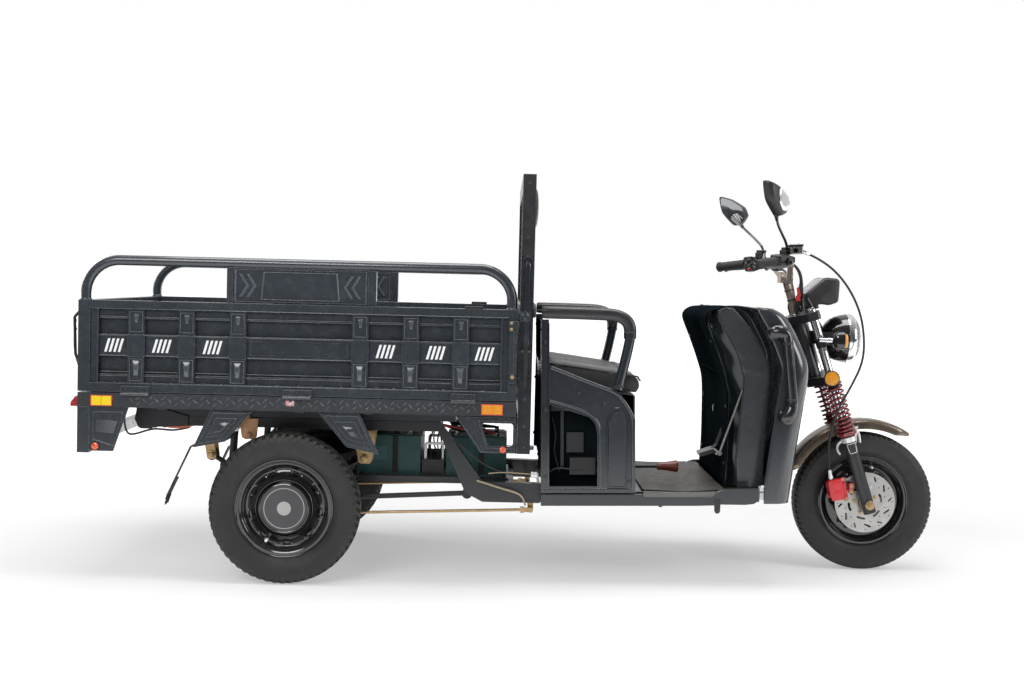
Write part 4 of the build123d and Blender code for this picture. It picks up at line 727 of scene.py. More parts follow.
def chevron(shape, x, z, size, point, y_face, normal_y, stroke):
    """One pressed chevron; point is the way it points along X."""
    half = size / 2
    outline = [(x, z + half), (x + point * half * 0.62, z), (x, z - half),
               (x - point * stroke, z - half), (x + point * (half * 0.62 - stroke), z),
               (x - point * stroke, z + half)]
    if point < 0:
        outline.reverse()
    low = [Vector((a, y_face, b)) for a, b in outline]
    middle_point = Vector((x, y_face, z))
    high = [p + (middle_point - p) * 0.045 + Vector((0, normal_y * 0.0028, 0)) for p in low]
    shape.rings([low, high], cap_start=True, cap_end=True)


def slanted_stripes(shape, centre, low, high, place=side_point):
    """Four slanted stripes in the middle of a bay."""
    for step in range(4):
        at = centre + (step - 1.5) * 0.0150
        shape.prism([(at - 0.0100, 0.7665), (at - 0.0018, 0.7665), (at + 0.0108, 0.8115),
                     (at + 0.0026, 0.8115)],
                    low, high, place)


def gate_dressing(side, side_name):
    body = "side_gate_" + side_name
    normal = Vector((0, side, 0))
    pressed = Shape()
    for rib in ribs:
        flat_bar(pressed, side, rib - 0.004, rib + rib_wide + 0.004, 0.7515, 0.8265, 0.006, 0.0015)
        flat_bar(pressed, side, rib - 0.0015, rib + 0.0025, 0.666, 0.909, 0.010, 0.002)
        flat_bar(pressed, side, rib + rib_wide - 0.0025, rib + rib_wide + 0.0015, 0.666, 0.909, 0.010, 0.002)
    flat_bar(pressed, side, -1.446, -1.418, 0.664, 0.911, 0.020, 0.005)
    flat_bar(pressed, side, -1.424, -1.418, 0.664, 0.911, 0.020, 0.001)
    flat_bar(pressed, side, -0.078, -0.052, 0.664, 0.911, 0.020, 0.006)
    flat_bar(pressed, side, -0.078, -0.073, 0.664, 0.911, 0.020, 0.001)
    for x_low, x_high in bays:
        flat_bar(pressed, side, x_low, x_high, 0.7535, 0.7575, 0.013, 0.0085)
        flat_bar(pressed, side, x_low, x_high, 0.8205, 0.8245, 0.013, 0.0085)
        flat_bar(pressed, side, x_low, x_high, 0.6895, 0.6935, 0.015, 0.0105)
        flat_bar(pressed, side, x_low, x_high, 0.8785, 0.8825, 0.015, 0.0105)
    flat_bar(pressed, side, -1.446, -0.052, 0.911, 0.9135, 0.004, -0.0008)
    flat_bar(pressed, side, -1.446, -0.052, 0.6615, 0.664, 0.004, -0.0008)
    pressed.piece("gate_pressings_" + side_name, gate_paint, body, bevel=0.0016)
    # pale lines along the rib edges and ledges: painted highlight, with wear on their edges
    lines = Shape()
    for rib in ribs:
        left, right = rib + 0.0045, rib + rib_wide - 0.0045
        for z_low, z_high in ((0.836, 0.902), (0.672, 0.745)):
            for x in (left, right):
                flat_bar(lines, side, x - 0.0009, x + 0.0009, z_low, z_high, 0.006, 0.0012)
            for z in (z_low, z_high):
                flat_bar(lines, side, left, right, z - 0.0008, z + 0.0008, 0.006, 0.0012)
    for x_low, x_high in bays:
        for z in (0.6870, 0.7010, 0.7545, 0.8255, 0.8855):
            flat_bar(lines, side, x_low + 0.003, x_high - 0.003, z - 0.0008, z + 0.0008, 0.016, 0.0082)
    lines.piece("gate_wear_and_glint_lines_" + side_name, gate_glint_line, body, bevel=0.0005)
    dimples = Shape()
    for rib in ribs:
        centre = rib + rib_wide / 2
        for low, high, wide_low, wide_high in ((0.866, 0.897, 0.005, 0.010), (0.688, 0.741, 0.008, 0.013)):
            corners = [(centre - wide_low, outward(side, 0.004), low),
                       (centre + wide_low, outward(side, 0.004), low),
                       (centre + wide_high, outward(side, 0.004), high),
                       (centre - wide_high, outward(side, 0.004), high)]
            raised_patch(dimples, corners, -0.0005, 0.0045, 0.36, normal)
    dimples.piece("gate_dimples_" + side_name, gate_boss, body, bevel=0.0012)
    welds = Shape()
    for x_low, x_high in bays:
        count = max(1, round((x_high - x_low) / 0.075))
        for step in range(count):
            x = x_low + (step + 0.5) * (x_high - x_low) / count
            for z in (0.9105, 0.6645):
                welds.turned([(-0.009, 0.0), (-0.006, 0.0022), (0, 0.0030), (0.006, 0.0022), (0.009, 0.0)],
                             (x, outward(side, 0.0115), z), (1, 0, 0.02), 8, closed=False)
    welds.piece("gate_welds_" + side_name, gate_paint, body)
    stripes = Shape()
    for index, (x_low, x_high) in enumerate(bays):
        if index == 3:
            continue
        slanted_stripes(stripes, (x_low + x_high) / 2, outward(side, 0.0103), outward(side, 0.0097))
    stripes.piece("gate_stripes_" + side_name, white_paint, body)
    label = Shape()
    x_low, x_high = bays[3]
    raised = [(x_low + 0.016, 0.766), (x_high - 0.016, 0.766), (x_high - 0.016, 0.812),
              (x_low + 0.016, 0.812)]
    ridge_frame(label, [(a, outward(side, 0.010), b) for a, b in raised], 0.005, 0.0012, normal, 0.0004)
    label.piece("gate_middle_panel_" + side_name, gate_paint, body)
    # hinges with their barrels cut into knuckles, and the rivets of each leaf
    hardware = Shape()
    for x_low, x_high in ((-1.340, -1.247), (-0.801, -0.707), (-0.240, -0.160)):
        for step in range(3):
            x = x_low + (x_high - x_low) * (step + 0.5) / 3
            hardware.bolt((x, side * 0.509, 0.645), (0, side, 0), 0.0035, 12, False)
        for share in (0.33, 0.66):
            x = x_low + (x_high - x_low) * share
            hardware.turned([(-0.001, 0.0064), (0.001, 0.0064), (0.001, 0.0058), (-0.001, 0.0058)],
                            (x, side * 0.507, 0.628), (1, 0, 0), 20)
    hardware.piece("gate_hinge_rivets_" + side_name, frame_black, body)
    # over-centre catch on the front bar
    catch = Shape()
    catch.box((-0.037, outward(side, -0.0035), 0.790), (0.022, 0.007, 0.196))
    catch.box((-0.037, outward(side, -0.008), 0.885), (0.034, 0.004, 0.034))
    catch.box((-0.030, outward(side, -0.008), 0.800), (0.010, 0.004, 0.150))
    catch.piece("gate_catch_" + side_name, gate_paint, body, bevel=0.0025)
    catch_bolts = Shape()
    for z in (0.875, 0.895):
        catch_bolts.bolt((-0.044, outward(side, -0.010), z), (0, side, 0), 0.0035)
    catch_bolts.bolt((-0.0375, outward(side, -0.007), 0.715), (0, side, 0), 0.0045)
    catch_bolts.piece("gate_catch_bolts_" + side_name, brass, body)
    rest = Shape()
    rest.box((-0.170, side * 0.480, gate_top + 0.004), (0.062, 0.032, 0.010))
    rest.piece("gate_bump_stop_" + side_name, rubber, body, bevel=0.003)


def guard_dressing(side, side_name):
    """The guard plate's pressed frame, panel and chevrons, outside and in."""
    body = "side_gate_" + side_name
    pressed = Shape()
    for face, normal_y in ((side * 0.490, side), (side * 0.470, -side)):
        normal = Vector((0, normal_y, 0))
        outer = [(-0.968, face, 0.945), (-0.531, face, 0.945), (-0.531, face, 1.052), (-0.968, face, 1.052)]
        panel = [(-0.880, face, 0.953), (-0.622, face, 0.953), (-0.630, face, 1.044), (-0.872, face, 1.044)]
        ridge_frame(pressed, outer, 0.006, 0.0030, normal, 0.0005)
        ridge_frame(pressed, panel, 0.006, 0.0030, normal, 0.0005)
        for x in (-0.945, -0.920):
            chevron(pressed, x, 0.999, 0.078, 1, face - normal_y * 0.0003, normal_y, 0.010)
        for x in (-0.557, -0.582):
            chevron(pressed, x, 0.999, 0.078, -1, face - normal_y * 0.0003, normal_y, 0.010)
    pressed.piece("guard_pressings_" + side_name, gate_boss, body, bevel=0.0008)
    collars = Shape()
    for x in (-1.466, -0.042):
        collars.turned([(0, 0.0175), (0, 0.0198), (0.003, 0.0198), (0.006, 0.0175)],
                       (x, side * 0.480, gate_top),
                       (0, 0, 1), 28)
    collars.piece("guard_feet_" + side_name, gate_paint, body, smooth=50)


for side, side_name in SIDES:
    gate_dressing(side, side_name)
    guard_dressing(side, side_name)


# ---------------------------------------------------------------- tailgate
def tailgate_dressing():
    face = -1.486
    pressed = Shape()
    for y in (-0.240, 0.0, 0.240):
        pressed.box((face + 0.0035, y, 0.789), (0.005, 0.058, 0.075))
        for low, high, wide_low, wide_high in ((0.838, 0.897, 0.013, 0.010), (0.682, 0.742, 0.010, 0.013)):
            corners = [(face + 0.004, y + wide_low, low), (face + 0.004, y - wide_low, low),
                       (face + 0.004, y - wide_high, high), (face + 0.004, y + wide_high, high)]
            raised_patch(pressed, corners, -0.0005, 0.0045, 0.36, (-1, 0, 0))
    bay_sides = (-0.418, -0.265, -0.215, -0.025, 0.025, 0.215, 0.265, 0.418)
    for index in range(0, 8, 2):
        y_low, y_high = bay_sides[index], bay_sides[index + 1]
        for z in (0.7555, 0.8225):
            pressed.box((face + 0.0107, (y_low + y_high) / 2, z), (0.0045, y_high - y_low, 0.004))
        for z in (0.6915, 0.8805):
            pressed.box((face + 0.0127, (y_low + y_high) / 2, z), (0.0045, y_high - y_low, 0.004))
    pressed.piece("tailgate_pressings", gate_paint, "tailgate", bevel=0.0015)
    stripes = Shape()
    for index in range(0, 8, 2):
        slanted_stripes(stripes, (bay_sides[index] + bay_sides[index + 1]) / 2, face + 0.0097, face + 0.0103,
                        lambda a, b, d: Vector((d, a, b)))
    stripes.piece("tailgate_stripes", white_paint, "tailgate")
    rivets = Shape()
    for y in (-0.260, 0.0, 0.260):
        for shift in (-0.030, 0.0, 0.030):
            rivets.bolt((-1.495, y + shift, 0.645), (-1, 0, 0), 0.0035, 12, False)
    for side in BOTH:
        for z in (0.888, 0.906, 0.705, 0.733):
            rivets.bolt((-1.498, side * 0.438, z), (-1, 0, 0), 0.0035)
    rivets.piece("tailgate_rivets", brass, "tailgate")
    straps = Shape()
    for side in BOTH:
        y = side * 0.438
        path = along_curve([(-1.500, y, 0.896), (-1.513, y, 0.880), (-1.5155, y + side * 0.004, 0.820),
                            (-1.5145, y, 0.760), (-1.502, y, 0.716)], 8)
        straps.tube(path, 0.0028, 10)
        ends = along_curve([(-1.512, y - side * 0.006, 0.870), (-1.516, y - side * 0.010, 0.850),
                            (-1.512, y - side * 0.012, 0.835)], 6)
        straps.tube(ends, 0.0016, 8)
    straps.piece("tailgate_catch_straps", rubber, "tailgate")


tailgate_dressing()


# ---------------------------------------------------------------- bed skirts, reflectors and lamps
beam_face = 0.4996


def bed_dressing(side, side_name):
    lozenges = Shape()
    count = 58
    for index in range(count):
        x = -1.305 + index * 0.0212
        if -0.150 < x < -0.050 or -1.46 < x < -1.36:
            continue
        lean = 1 if index % 2 else -1
        for z in ((0.6165, 0.5965) if index % 2 else (0.6065,)):
            half = 0.0125
            across = Vector((lean * 0.75, 0, 0.66)).normalized()
            thin = Vector((across.z, 0, -across.x)) * 0.0038
            centre = Vector((x, side * beam_face, z))
            ends = [centre - across * half, centre + thin, centre + across * half, centre - thin]
            raised_patch(lozenges, ends, -0.0002, 0.0026, 0.35, (0, side, 0))
    lozenges.piece("beam_lozenges_" + side_name, lozenge_paint, "bed")
    housing = Shape()
    shells = {"rear": (-1.441, -1.369, yellow), "front": (-0.138, -0.066, amber)}
    for where, (x_low, x_high, finish) in shells.items():
        centre = ((x_low + x_high) / 2, side * 0.5027, 0.604)
        housing.box(centre, (x_high - x_low, 0.0052, 0.036))
        panel = Shape()
        for column in range(2):
            x = x_low + 0.003 + (x_high - x_low - 0.006) * (column + 0.5) / 2
            panel.box((x, side * 0.5048, 0.604), ((x_high - x_low - 0.008) / 2, 0.0022, 0.0300))
        panel.piece("reflector_%s_%s" % (where, side_name), finish, "bed", "lens_amber", bevel=0.0010)
    housing.piece("reflector_backs_" + side_name, orange_lens, "bed", "lens_amber", bevel=0.001)
    round_lens = Shape()
    bezel = Shape()
    rear_spot, front_spot = (-1.426, side * 0.4965, 0.450), (-0.063, side * 0.4905, 0.469)
    round_reflectors = (
        (rear_spot, [(0, 0), (0, 0.0118), (0.0035, 0.0120), (0.0052, 0.0098), (0.0060, 0.005), (0.0062, 0)],
         [(-0.0005, 0.0118), (0.0030, 0.0122), (0.0030, 0.0142), (-0.0005, 0.0146)]),
        (front_spot, [(0, 0), (0, 0.0105), (0.0028, 0.0108), (0.0050, 0.0085), (0.0058, 0.004), (0.006, 0)],
         [(-0.0005, 0.0108), (0.0020, 0.0112), (0.0020, 0.0128), (-0.0005, 0.0131)]))
    for spot, lens_profile, bezel_profile in round_reflectors:
        round_lens.turned(lens_profile, spot, (0, side, 0), 32, closed=False)
        bezel.turned(bezel_profile, spot, (0, side, 0), 32)
    round_lens.piece("round_reflectors_" + side_name, orange_lens, "bed", "lens_amber")
    bezel.piece("round_reflector_bezels_" + side_name, trim_black, "bed")
    plates = Shape()
    normal = Vector((0, side, 0))
    ridge_frame(plates, [(a, side * 0.4960, b) for a, b in
                         [(-1.434, 0.472), (-1.366, 0.452), (-1.334, 0.566), (-1.434, 0.566)]],
                0.006, 0.0022, normal, 0.0006)
    raised_patch(plates, [(a, side * 0.4960, b) for a, b in
                          [(-1.424, 0.500), (-1.366, 0.492), (-1.350, 0.536), (-1.424, 0.540)]],
                 -0.0003, 0.0016, 0.08, normal)
    for outline in ([(-1.042, 0.5816), (-0.901, 0.5816), (-0.994, 0.474), (-1.101, 0.452)],
                    [(-0.685, 0.5816), (-0.547, 0.5816), (-0.478, 0.443), (-0.587, 0.466)]):
        centre_x = sum(a for a, _ in outline) / 4
        centre_z = sum(b for _, b in outline) / 4
        for share, height in ((0.80, 0.0026), (0.50, 0.0030)):
            frame_line = [(centre_x + (a - centre_x) * share, side * 0.490, centre_z + (b - centre_z) * share)
                          for a, b in outline]
            ridge_frame(plates, frame_line, 0.0075, height, normal, 0.0004)
        inner = [(centre_x + (a - centre_x) * 0.30, side * 0.490, centre_z + (b - centre_z) * 0.30)
                 for a, b in outline]
        raised_patch(plates, inner, -0.0003, 0.0030, 0.30, normal)
    # folded edge round the front skirt and its window
    skirt = [(-0.218, 0.577), (-0.134, 0.462), (-0.022, 0.462), (-0.022, 0.577)]
    ridge_frame(plates, at_depth(skirt, side * 0.490), 0.007, 0.0030, normal, 0.0004)
    window = [(-0.146, 0.566), (-0.022, 0.566), (-0.024, 0.473), (-0.117, 0.473)]
    ridge_frame(plates, at_depth(window, side * 0.490), 0.006, 0.0036, normal, 0.0004)
    plates.piece("skirt_pressings_" + side_name, gate_paint, "bed", bevel=0.0006)
    ties = Shape()
    for x, z in ((-1.474, 0.612), (-1.474, 0.594), (-1.474, 0.445)):
        ties.bolt((x, side * 0.4996, z), (0, side, 0), 0.0032)
    for x in (-1.030, -0.915, -0.672, -0.560):
        ties.bolt((x, side * 0.490, 0.576), (0, side, 0), 0.0030)
    ties.piece("skirt_bolts_" + side_name, frame_black, "bed")


for side, side_name in SIDES:
    bed_dressing(side, side_name)

tail = Shape()
for side in BOTH:
    for y_low, y_high in ((0.372, 0.409), (0.411, 0.448), (0.450, 0.486)):
        outline = [(-1.4864, 0.5810), (-1.5138, 0.5810), (-1.5138, 0.5940), (-1.4980, 0.6155),
                   (-1.4864, 0.6155)]
        low, high = span(side, y_low, y_high)
        tail.prism(outline, low, high)
tail.piece("tail_lamp_lenses", red_lens, "bed", "lamp_red", ("tail_lamps",), bevel=0.002)
bed_marks = Shape()
for side in BOTH:
    bed_marks.box((-1.4885, side * 0.429, 0.598), (0.0035, 0.122, 0.040))
bed_marks.piece("tail_lamp_backs", trim_black, "bed", bevel=0.001)
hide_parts("bed_reflectors")

# ---------------------------------------------------------------- fork, lamp and front brake
def fork_dressing():
    coils = Shape()
    lower, upper = 0.274, 0.4615
    for side in BOTH:
        turns = 10.5
        path = []
        for step in range(int(turns * 24) + 1):
            share = step / (turns * 24)
            # coils lie closer together near the seat
            up = lower + 0.004 + (upper - lower - 0.008) * (0.30 * share + 0.70 * share ** 1.25)
            angle = 2 * pi * turns * share + 0.4
            path.append(fork_point(0.0292 * cos(angle), up, side * leg_y + 0.0292 * sin(angle)))
        coils.tube(path, 0.0040, 10)
    coils.piece("fork_coils", spring_red, "steering", "spring_red", ("fork_springs",), smooth=60)
    seats = Shape()
    for side in BOTH:
        seats.turned([(0, 0.0165), (0, 0.0300), (0.002, 0.0345), (0.006, 0.0358), (0.011, 0.0352),
                      (0.013, 0.0330),
                      (0.013, 0.0165)], fork_point(0, 0.2625, side * leg_y), fork_up, 40)
        seats.turned([(0, 0.0165), (0, 0.0330), (0.003, 0.0342), (0.006, 0.0320), (0.006, 0.0165)],
                     fork_point(0, 0.4555, side * leg_y), fork_up, 40)
    seats.piece("fork_spring_seats", spring_red, "steering", "spring_red", smooth=40)
    # inner damper shroud, dark behind the coils
    shroud = Shape()
    for side in BOTH:
        shroud.turned([(0, 0.0165), (0, 0.0200), (0.050, 0.0200), (0.056, 0.0180), (0.056, 0.0165)],
                      fork_point(0, 0.274, side * leg_y), fork_up, 28)
        shroud.turned([(0, 0.0165), (0.004, 0.0205), (0.030, 0.0205), (0.030, 0.0165)],
                      fork_point(0, 0.4310, side * leg_y), fork_up, 28)
    shroud.piece("fork_dust_sleeves", rubber, "steering", smooth=40)
    caps = Shape()
    for side in BOTH:
        caps.turned([(0, 0.0), (0, 0.0142), (0.0055, 0.0142), (0.0085, 0.0118), (0.0085, 0.0)],
                    fork_point(0, 0.7375, side * leg_y), fork_up, 6, closed=False)
        for up in (0.4775, 0.7150):
            caps.bolt(fork_point(0.0225, up, side * (leg_y + 0.010)), fork_front, 0.0045)
    caps.bolt(fork_point(-0.040, 0.7305), fork_up, 0.012)
    caps.piece("fork_top_bolts", chrome, "steering", smooth=35)
    # plain border line round the outer face of each lower leg, drawn as thin raised paint
    for side in BOTH:
        lines = Shape()
        corners = [(-0.016, 0.232), (0.016, 0.232), (0.0125, 0.197), (-0.0125, 0.197)]
        path = []
        for (front_a, up_a), (front_b, up_b) in zip(corners, corners[1:] + corners[:1]):
            for step in range(8):
                share = step / 8
                front = front_a + (front_b - front_a) * share
                up = up_a + (up_b - up_a) * share
                path.append(fork_point(front, up, side * (leg_y + sqrt(max(0.0, 0.0231 ** 2 - front ** 2)))))
        lines.tube(path, 0.0011, 8, closed=True)
        lines.piece("fork_leg_border_" + ("left" if side > 0 else "right"), white_paint, "steering")
    # clamps that hold the mudguard stays
    stays = Shape()
    for side in BOTH:
        stays.turned([(0, 0.0232), (0, 0.0262), (0.018, 0.0262), (0.018, 0.0232)],
                     fork_point(0, 0.238, side * leg_y), fork_up, 32)
        path = [fork_point(-0.024, 0.247, side * (leg_y - 0.010)), fork_point(-0.040, 0.236, side * 0.082),
                fork_point(-0.044, 0.216, side * 0.0665), fork_point(-0.038, 0.196, side * 0.0615)]
        stays.tube(along_curve(path, 8), 0.0048, 10)
        path = [fork_point(0.024, 0.249, side * (leg_y - 0.010)), fork_point(0.040, 0.262, side * 0.082),
                fork_point(0.047, 0.246, side * 0.0665), fork_point(0.044, 0.218, side * 0.0615)]
        stays.tube(along_curve(path, 8), 0.0048, 10)
    stays.piece("mudguard_stays", white_plate, "steering", smooth=40)
    axle = Shape()
    for side in BOTH:
        axle.turned([(0, 0.0), (0, 0.0165), (0.002, 0.0165), (0.002, 0.0)],
                    front_hub + Vector((0, side * 0.1350, 0)),
                    (0, side, 0), 28, closed=False)
        axle.turned([(0, 0.0), (0, 0.0128), (0.009, 0.0128), (0.011, 0.0110), (0.011, 0.0072),
                     (0.013, 0.0066),
                     (0.016, 0.0062), (0.016, 0.0)], front_hub + Vector((0, side * 0.1368, 0)), (0, side, 0),
                    6,
                    closed=False)
    axle.piece("front_axle_nuts", brass, "steering", smooth=35)


fork_dressing()


def guard_shell():
    """The front mudguard as one pressed arch with rolled edges, narrowing at its ends."""
    half = 0.0580
    shell_radius = 0.3015
    section = [(-half, -0.0300), (-half, -0.0120), (-half + 0.0040, -0.0030), (-half + 0.014, 0.0010),
               (-0.020, 0.0028), (0.0, 0.0030), (0.020, 0.0028), (half - 0.014, 0.0010),
               (half - 0.0040, -0.0030), (half, -0.0120), (half, -0.0300)]
    back = [(-a * 0.955 if abs(a) > 0.05 else -a, b - 0.0022) for a, b in section]
    rings = []
    count = 72
    for step in range(count + 1):
        share = step / count
        angle = radians(57 + (159 - 57) * share)
        fade = min(1.0, share / 0.10, (1 - share) / 0.06)
        width_now = 0.62 + 0.38 * sin(fade * pi / 2)
        ring = []
        for across, lift in section + back:
            depth = lift * (0.35 + 0.65 * min(1.0, fade)) if lift < -0.004 else lift
            radius = shell_radius + depth
            ring.append(front_hub + Vector((cos(angle) * radius, across * width_now, sin(angle) * radius)))
        rings.append(ring)
    shape = Shape()
    shape.rings(rings, cap_start=True, cap_end=True)
    shape.piece("front_mudguard_shell", guard_metal, "steering", "guard_metal", ("front_mudguard",),
                smooth=45)
    brackets = Shape()
    for side in BOTH:
        brackets.prism([(1.212, 0.530), (1.238, 0.536), (1.234, 0.452), (1.204, 0.438)],
                       *span(side, 0.0580, 0.0615))
        for x, z in ((1.226, 0.522), (1.222, 0.470)):
            brackets.bolt((x, side * 0.0615, z), (0, side, 0), 0.0045)
    brackets.piece("mudguard_brackets", white_plate, "steering", bevel=0.001)


guard_shell()


def headlight_parts():
    centre = middle("headlight")
    centre = Vector((1.212, 0, centre.z))
    bowl = Shape()
    bowl.turned([(-0.112, 0.0), (-0.112, 0.014), (-0.109, 0.022), (-0.104, 0.040), (-0.094, 0.058),
                 (-0.080, 0.071),
                 (-0.062, 0.0805), (-0.040, 0.0872), (-0.020, 0.0900), (-0.018, 0.0875), (-0.040, 0.0845),
                 (-0.062, 0.0775), (-0.080, 0.066), (-0.100, 0.030), (-0.104, 0.0)], centre, (1, 0, 0), 72,
                closed=False)
    bowl.box(centre + Vector((-0.100, 0, -0.050)), (0.026, 0.030, 0.016))
    bowl.piece("headlight_bowl", rim_black, "steering", "lamp_shell", ("headlight",), smooth=45)
    ring = Shape()
    ring.turned([(-0.0225, 0.0885), (-0.0225, 0.0915), (-0.014, 0.0917), (-0.004, 0.0910), (0.003, 0.0888),
                 (0.007, 0.0850), (0.006, 0.0835), (0.0, 0.0850), (-0.006, 0.0865)], centre, (1, 0, 0), 96)
    ring.bolt(centre + Vector((-0.012, 0, -0.0915)), (0, 0, -1), 0.003, 6, False)
    ring.piece("headlight_ring", chrome, "steering", "lamp_shell", smooth=60)
    reflector = Shape()
    reflector.turned([(0.0, 0.0845), (-0.010, 0.0780), (-0.034, 0.062), (-0.058, 0.040), (-0.072, 0.018),
                      (-0.074, 0.006), (-0.050, 0.0055), (-0.046, 0.0)], centre, (1, 0, 0), 72, closed=False)
    reflector.piece("headlight_reflector", mirror_glass, "steering", "lamp_shell", smooth=60)
    lens_shape = Shape()
    lens_shape.turned([(0.002, 0.0852), (0.006, 0.0825), (0.014, 0.0760), (0.024, 0.0600), (0.032, 0.0380),
                       (0.036, 0.0180), (0.0375, 0.0), ], centre, (1, 0, 0), 72, closed=False)
    lens_shape.turned([(-0.001, 0.0835), (0.003, 0.0800), (0.011, 0.0740), (0.021, 0.0585), (0.029, 0.0370),
                       (0.033, 0.0175), (0.0345, 0.0)], centre, (1, 0, 0), 72, closed=False)
    lens_shape.piece("headlight_lens", clear_glass, "steering", "lamp_shell", smooth=60)
    ears = Shape()
    for side in BOTH:
        ears.prism([(1.072, 0.829), (1.128, 0.829), (1.150, 0.842), (1.150, 0.864), (1.128, 0.877),
                    (1.072, 0.877)],
                   *span(side, 0.0745, 0.0785))
        ears.tube(along_curve([(1.138, side * 0.0765, 0.853), (1.148, side * 0.0755, 0.853),
                               (1.158, side * 0.074, 0.853)], 4), 0.008, 14)
        ears.turned([(0, 0.0165), (0, 0.0192), (0.036, 0.0192), (0.036, 0.0165)],
                    fork_point(0, 0.596, side * leg_y), fork_up, 32)
    ears.piece("headlight_ears", trim_black, "steering", "lamp_shell", bevel=0.001)
    bolts = Shape()
    for side in BOTH:
        bolts.bolt((1.140, side * 0.0785, 0.853), (0, side, 0), 0.0070)
    bolts.piece("headlight_bolts", chrome, "steering")


headlight_parts()


def squared_ring(centre, along, half_y, half_z):
    """An oval with squared corners, across the X axis."""
    ring = []
    for step in range(40):
        angle = 2 * pi * step / 40
        y, z = (copysign(abs(part) ** 0.65, part) for part in (cos(angle), sin(angle)))
        ring.append(centre + Vector((along, half_y * y, half_z * z)))
    return ring


def indicator_parts():
    bodies, stalks, lenses, rings = Shape(), Shape(), Shape(), Shape()
    for side in BOTH:
        centre = Vector((1.134, side * 0.144, 0.849))
        shell = ((-0.020, 0.010, 0.012), (-0.016, 0.018, 0.024), (-0.004, 0.0245, 0.0305),
                 (0.012, 0.0260, 0.0320), (0.0195, 0.0260, 0.0320), (0.0195, 0.0225, 0.0285))
        bodies.rings([squared_ring(centre, *level) for level in shell], cap_start=True, cap_end=True)
        glass = ((0.0190, 1.0), (0.0260, 0.98), (0.0310, 0.88), (0.0335, 0.60), (0.0340, 0.2))
        lenses.rings([squared_ring(centre, along, share * 0.0205, share * 0.0265) for along, share in glass],
                     cap_start=True, cap_end=True)
        stalks.tube(along_curve([(1.072, side * 0.1155, 0.849), (1.090, side * 0.1165, 0.849),
                                 (1.108, side * 0.1185, 0.849), (1.120, side * 0.122, 0.849)], 6),
                    [0.0085] * 10 + [0.0095] * 9, 18)
        round_centre = Vector((1.118, side * 0.1320, 0.712))
        rings.turned([(0, 0.0), (0, 0.0285), (0.0035, 0.0288), (0.0062, 0.0280), (0.0062, 0.0262),
                      (0.0035, 0.0258),
                      (0.0035, 0.0)], round_centre, (0, side, 0), 48, closed=False)
        lenses.turned([(0.0036, 0.0), (0.0036, 0.0257), (0.0055, 0.0250), (0.0068, 0.0180), (0.0072, 0.0)],
                      round_centre, (0, side, 0), 48, closed=False)
        stalks.box((1.116, side * 0.1275, 0.714), (0.018, 0.0078, 0.014))
    bodies.piece("indicator_bodies", rim_black, "steering", "lens_amber", ("front_indicators",), smooth=50)
    stalks.piece("indicator_stalks", chrome, "steering", smooth=50)
    lenses.piece("indicator_lenses", amber, "steering", "lens_amber", smooth=50)
    rings.piece("indicator_round_rims", trim_black, "steering", smooth=40)


indicator_parts()


